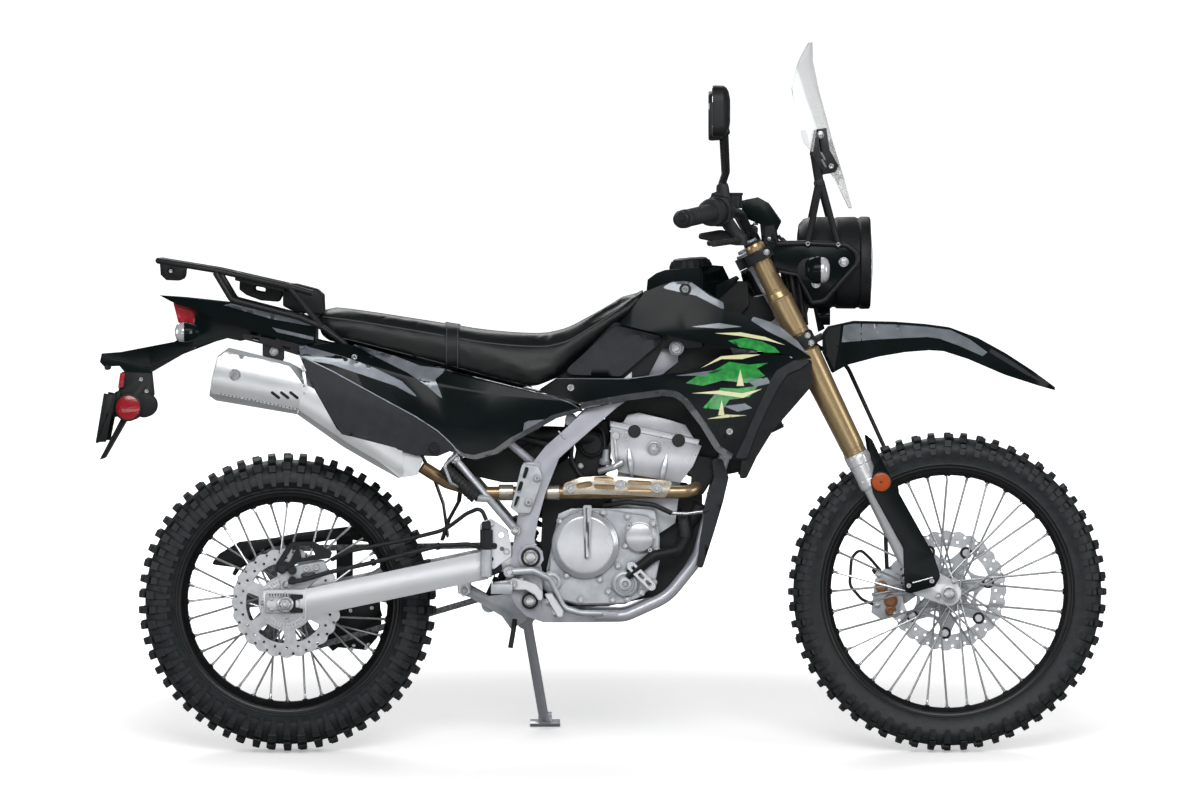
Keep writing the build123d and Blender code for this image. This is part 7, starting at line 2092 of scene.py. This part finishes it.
def airbox():
    box = refined("airbox", "chassis", "matte_black", "matte")
    box.pair(slab([(612, 706), (640, 724), (700, 724), (704, 690), (690, 640), (700, 606), (650, 596), (622, 620),
        (630, 660)], 8, -44, -30, 3), "matte")
    box.add(post(towards((664, 0, 672), LEFT), 30, -56, 30, 3, 36), "coated")
    box.add(post(towards((664, -20, 672), RIGHT), 24, 30, 44, 3, 36), "matte")
    box.pair(pipe([(640, -44, 706), (622, -50, 680), (618, -50, 640), (640, -48, 600), (690, -48, 586)], 30, 5, 10),
        "rubber")
    box.pair(pipe([(668, -50, 720), (690, -56, 700), (694, -56, 650), (684, -52, 612)], 24, 4, 10), "rubber")
    box.pair(pipe([(470, -70, 720), (500, -74, 690), (560, -66, 672), (612, -50, 668)], 30, 8, 12), "rubber")
    box.pair(slab([(430, 660), (520, 668), (560, 700), (520, 740), (420, 760), (380, 700)], 16, -72, -60, 4), "matte")
    for x, z in ((646, 700), (690, 668), (640, 624)):
        box.pair(hex_bolt(4.5, 4, side_place(x, z, -44)), "steel")
    box.done(bevel=3.0)


def footpegs():
    pegs = refined("footpegs", "chassis", "cast_alloy", "cast")
    tooth = prism([(-2.2, 0), (2.2, 0), (0.8, 5), (-0.8, 5)], -1.5, 1.5)
    for x in (449, 491):
        for side in (-1, 1):
            row = moved(tooth, Matrix.Translation((x, side * 146, 372)) @ Matrix.Rotation(pi / 2, 4, "Z"))
            pegs.row(row, "cast", 10, Vector((0, side * 8, 0)))
    boot = [(414, -154, 557), (342, -154, 624)]
    way = (Vector(boot[1]) - Vector(boot[0])).normalized()
    pegs.pair(tube(boot, 13.5, sides=20), "rubber")
    for k in range(9):
        pegs.pair(post(towards(Vector(boot[0]) + way * (12 + 9.5 * k), way), 15, -1.6, 1.6, 1, 24), "rubber")
    loop = smooth_path([(400, -150, 575), (360, -168, 588), (345, -168, 628), (372, -150, 652)], 14)
    pegs.pair(tube(loop, 4, sides=10), "steel")
    for x, z in ((499, 486), (368, 642)):
        pegs.pair(hex_bolt(8, 7, side_place(x, z, -142 if z < 500 else -146)), "steel")
    pegs.done(bevel=2.0, sharp=34)


def chain_guards():
    guards = refined("chain_guards", "chassis", "matte_black", "matte")
    for x, z in ((122, 460), (-60, 440), (150, 318)):
        guards.add(hex_bolt(5, 4, towards((x, 98 if x == 122 else 85, z), LEFT)), "steel")
    fin = [(-172, 404), (-153, 428), (-109, 454), (-5, 466), (136, 487), (169, 483), (196, 462), (190, 450), (114, 462),
        (60, 452), (0, 443), (-60, 426), (-104, 396)]
    guards.add(slab(fin, 6, 87, 91, 1), "matte")
    lower_fin = [(60, 226), (109, 302), (136, 314), (199, 330), (203, 276), (193, 243), (169, 216), (142, 219)]
    guards.add(slab(lower_fin, 6, 87, 91, 1), "matte")
    for x, z in ((140, 310), (186, 316), (142, 226), (174, 229)):
        guards.pair(cap_screw(4, 3, side_place(x, z, -86)), "steel")
    guards.done(bevel=1.5)


def side_stand():
    stand = refined("side_stand", "side_stand", "frame_paint", "frame_paint")
    stand.add(hex_bolt(9, 8, towards((520, 155, 285), LEFT)), "steel")
    stand.done(bevel=1.5)


for make in (seat, rear_fender, tail_light, plate_holder, rear_signals, luggage_rack, strap_and_shade_sheets, rear_caliper,
             airbox, footpegs, chain_guards, side_stand):
    make()


# ---------- Foot controls ----------
def brake_pedal_arm():
    """Flat arm of the brake pedal and the root of its tip, over the frame's pivot boss."""
    piece = Piece("brake_pedal_arm", "chassis", "cast_alloy")
    arm = [(482, 374), (493, 384), (522, 378), (544, 371), (558, 354), (560, 337), (550, 332), (540, 346), (522, 357),
        (493, 357)]
    piece.add(slab(arm, 6, -147, -139, 2), "cover")
    piece.add(slab([(560, 350), (578, 352), (604, 312), (602, 298), (590, 298)], 5, -150, -142, 2), "cover")
    piece.add(hex_bolt(8, 6, side_place(494, 370, -147)), "steel")
    piece.done()


def foot_controls():
    piece = redrawn("foot_controls", "chassis", "black_steel")
    heel = round_outline([(421, 500), (446, 512), (482, 488), (490, 452), (490, 430), (450, 400), (424, 430)], 6)
    holes = [circle((468, 476), 6, 20), circle((452, 452), 7, 20), circle((470, 446), 4.5, 20),
        circle((441, 482), 6, 20), circle((446, 424), 5, 20)]
    piece.add(prism(heel, -131, -127, 0.8, holes), "cover")
    piece.add(post(towards((436, -134, 384), UP), 12, 0, 62, 2, 28), "cast")
    piece.add(post(towards((436, -134, 384), UP), 14, 62, 104, 2, 28), "coated")
    piece.add(post(towards((436, -134, 384), UP), 10, 104, 122, 2, 24), "rubber")
    for x, z in ((446, 500), (480, 440)):
        piece.add(hex_bolt(5.5, 5, side_place(x, z, -131)), "steel")
    arm = smooth_path([(486, -136, 396), (540, -137, 399), (574, -137, 380), (604, -137, 318), (640, -139, 307),
        (690, -141, 306)], 26)
    piece.add(tube(arm, 7, [9 - 2.5 * min(1, k / 12) for k in range(len(arm))], 16), "cast")
    piece.add(post(side_place(486, 396, -127), 13, -1, 14, 1.5, 28), "cast")
    piece.add(hex_bolt(7, 6, side_place(486, 396, -141)), "steel")
    teeth = prism([(-1.5, 0), (1.5, 0), (0, 5)], -171, -133)
    piece.add(slab([(688, 303), (722, 305), (722, 311), (688, 312)], 3, -171, -134, 1), "cast")
    piece.row(moved(teeth, Matrix.Translation((693, 0, 311))), "cast", 6, Vector((5.2, 0, 0)))
    lever = smooth_path([(600, 50, 352), (600, 134, 352), (712, 138, 352), (712, 172, 352)], 14)
    piece.add(tube(lever, 6, sides=14), "cast")
    piece.add(tube([(712, 140, 352), (712, 171, 352)], 8.5, sides=18), "rubber")
    piece.done(sharp=34)


foot_controls()
brake_pedal_arm()


def kept():
    for node, body, slot, finish, bevel in KEPT:
        refined(node, body, slot, finish).done(bevel=bevel)


kept()
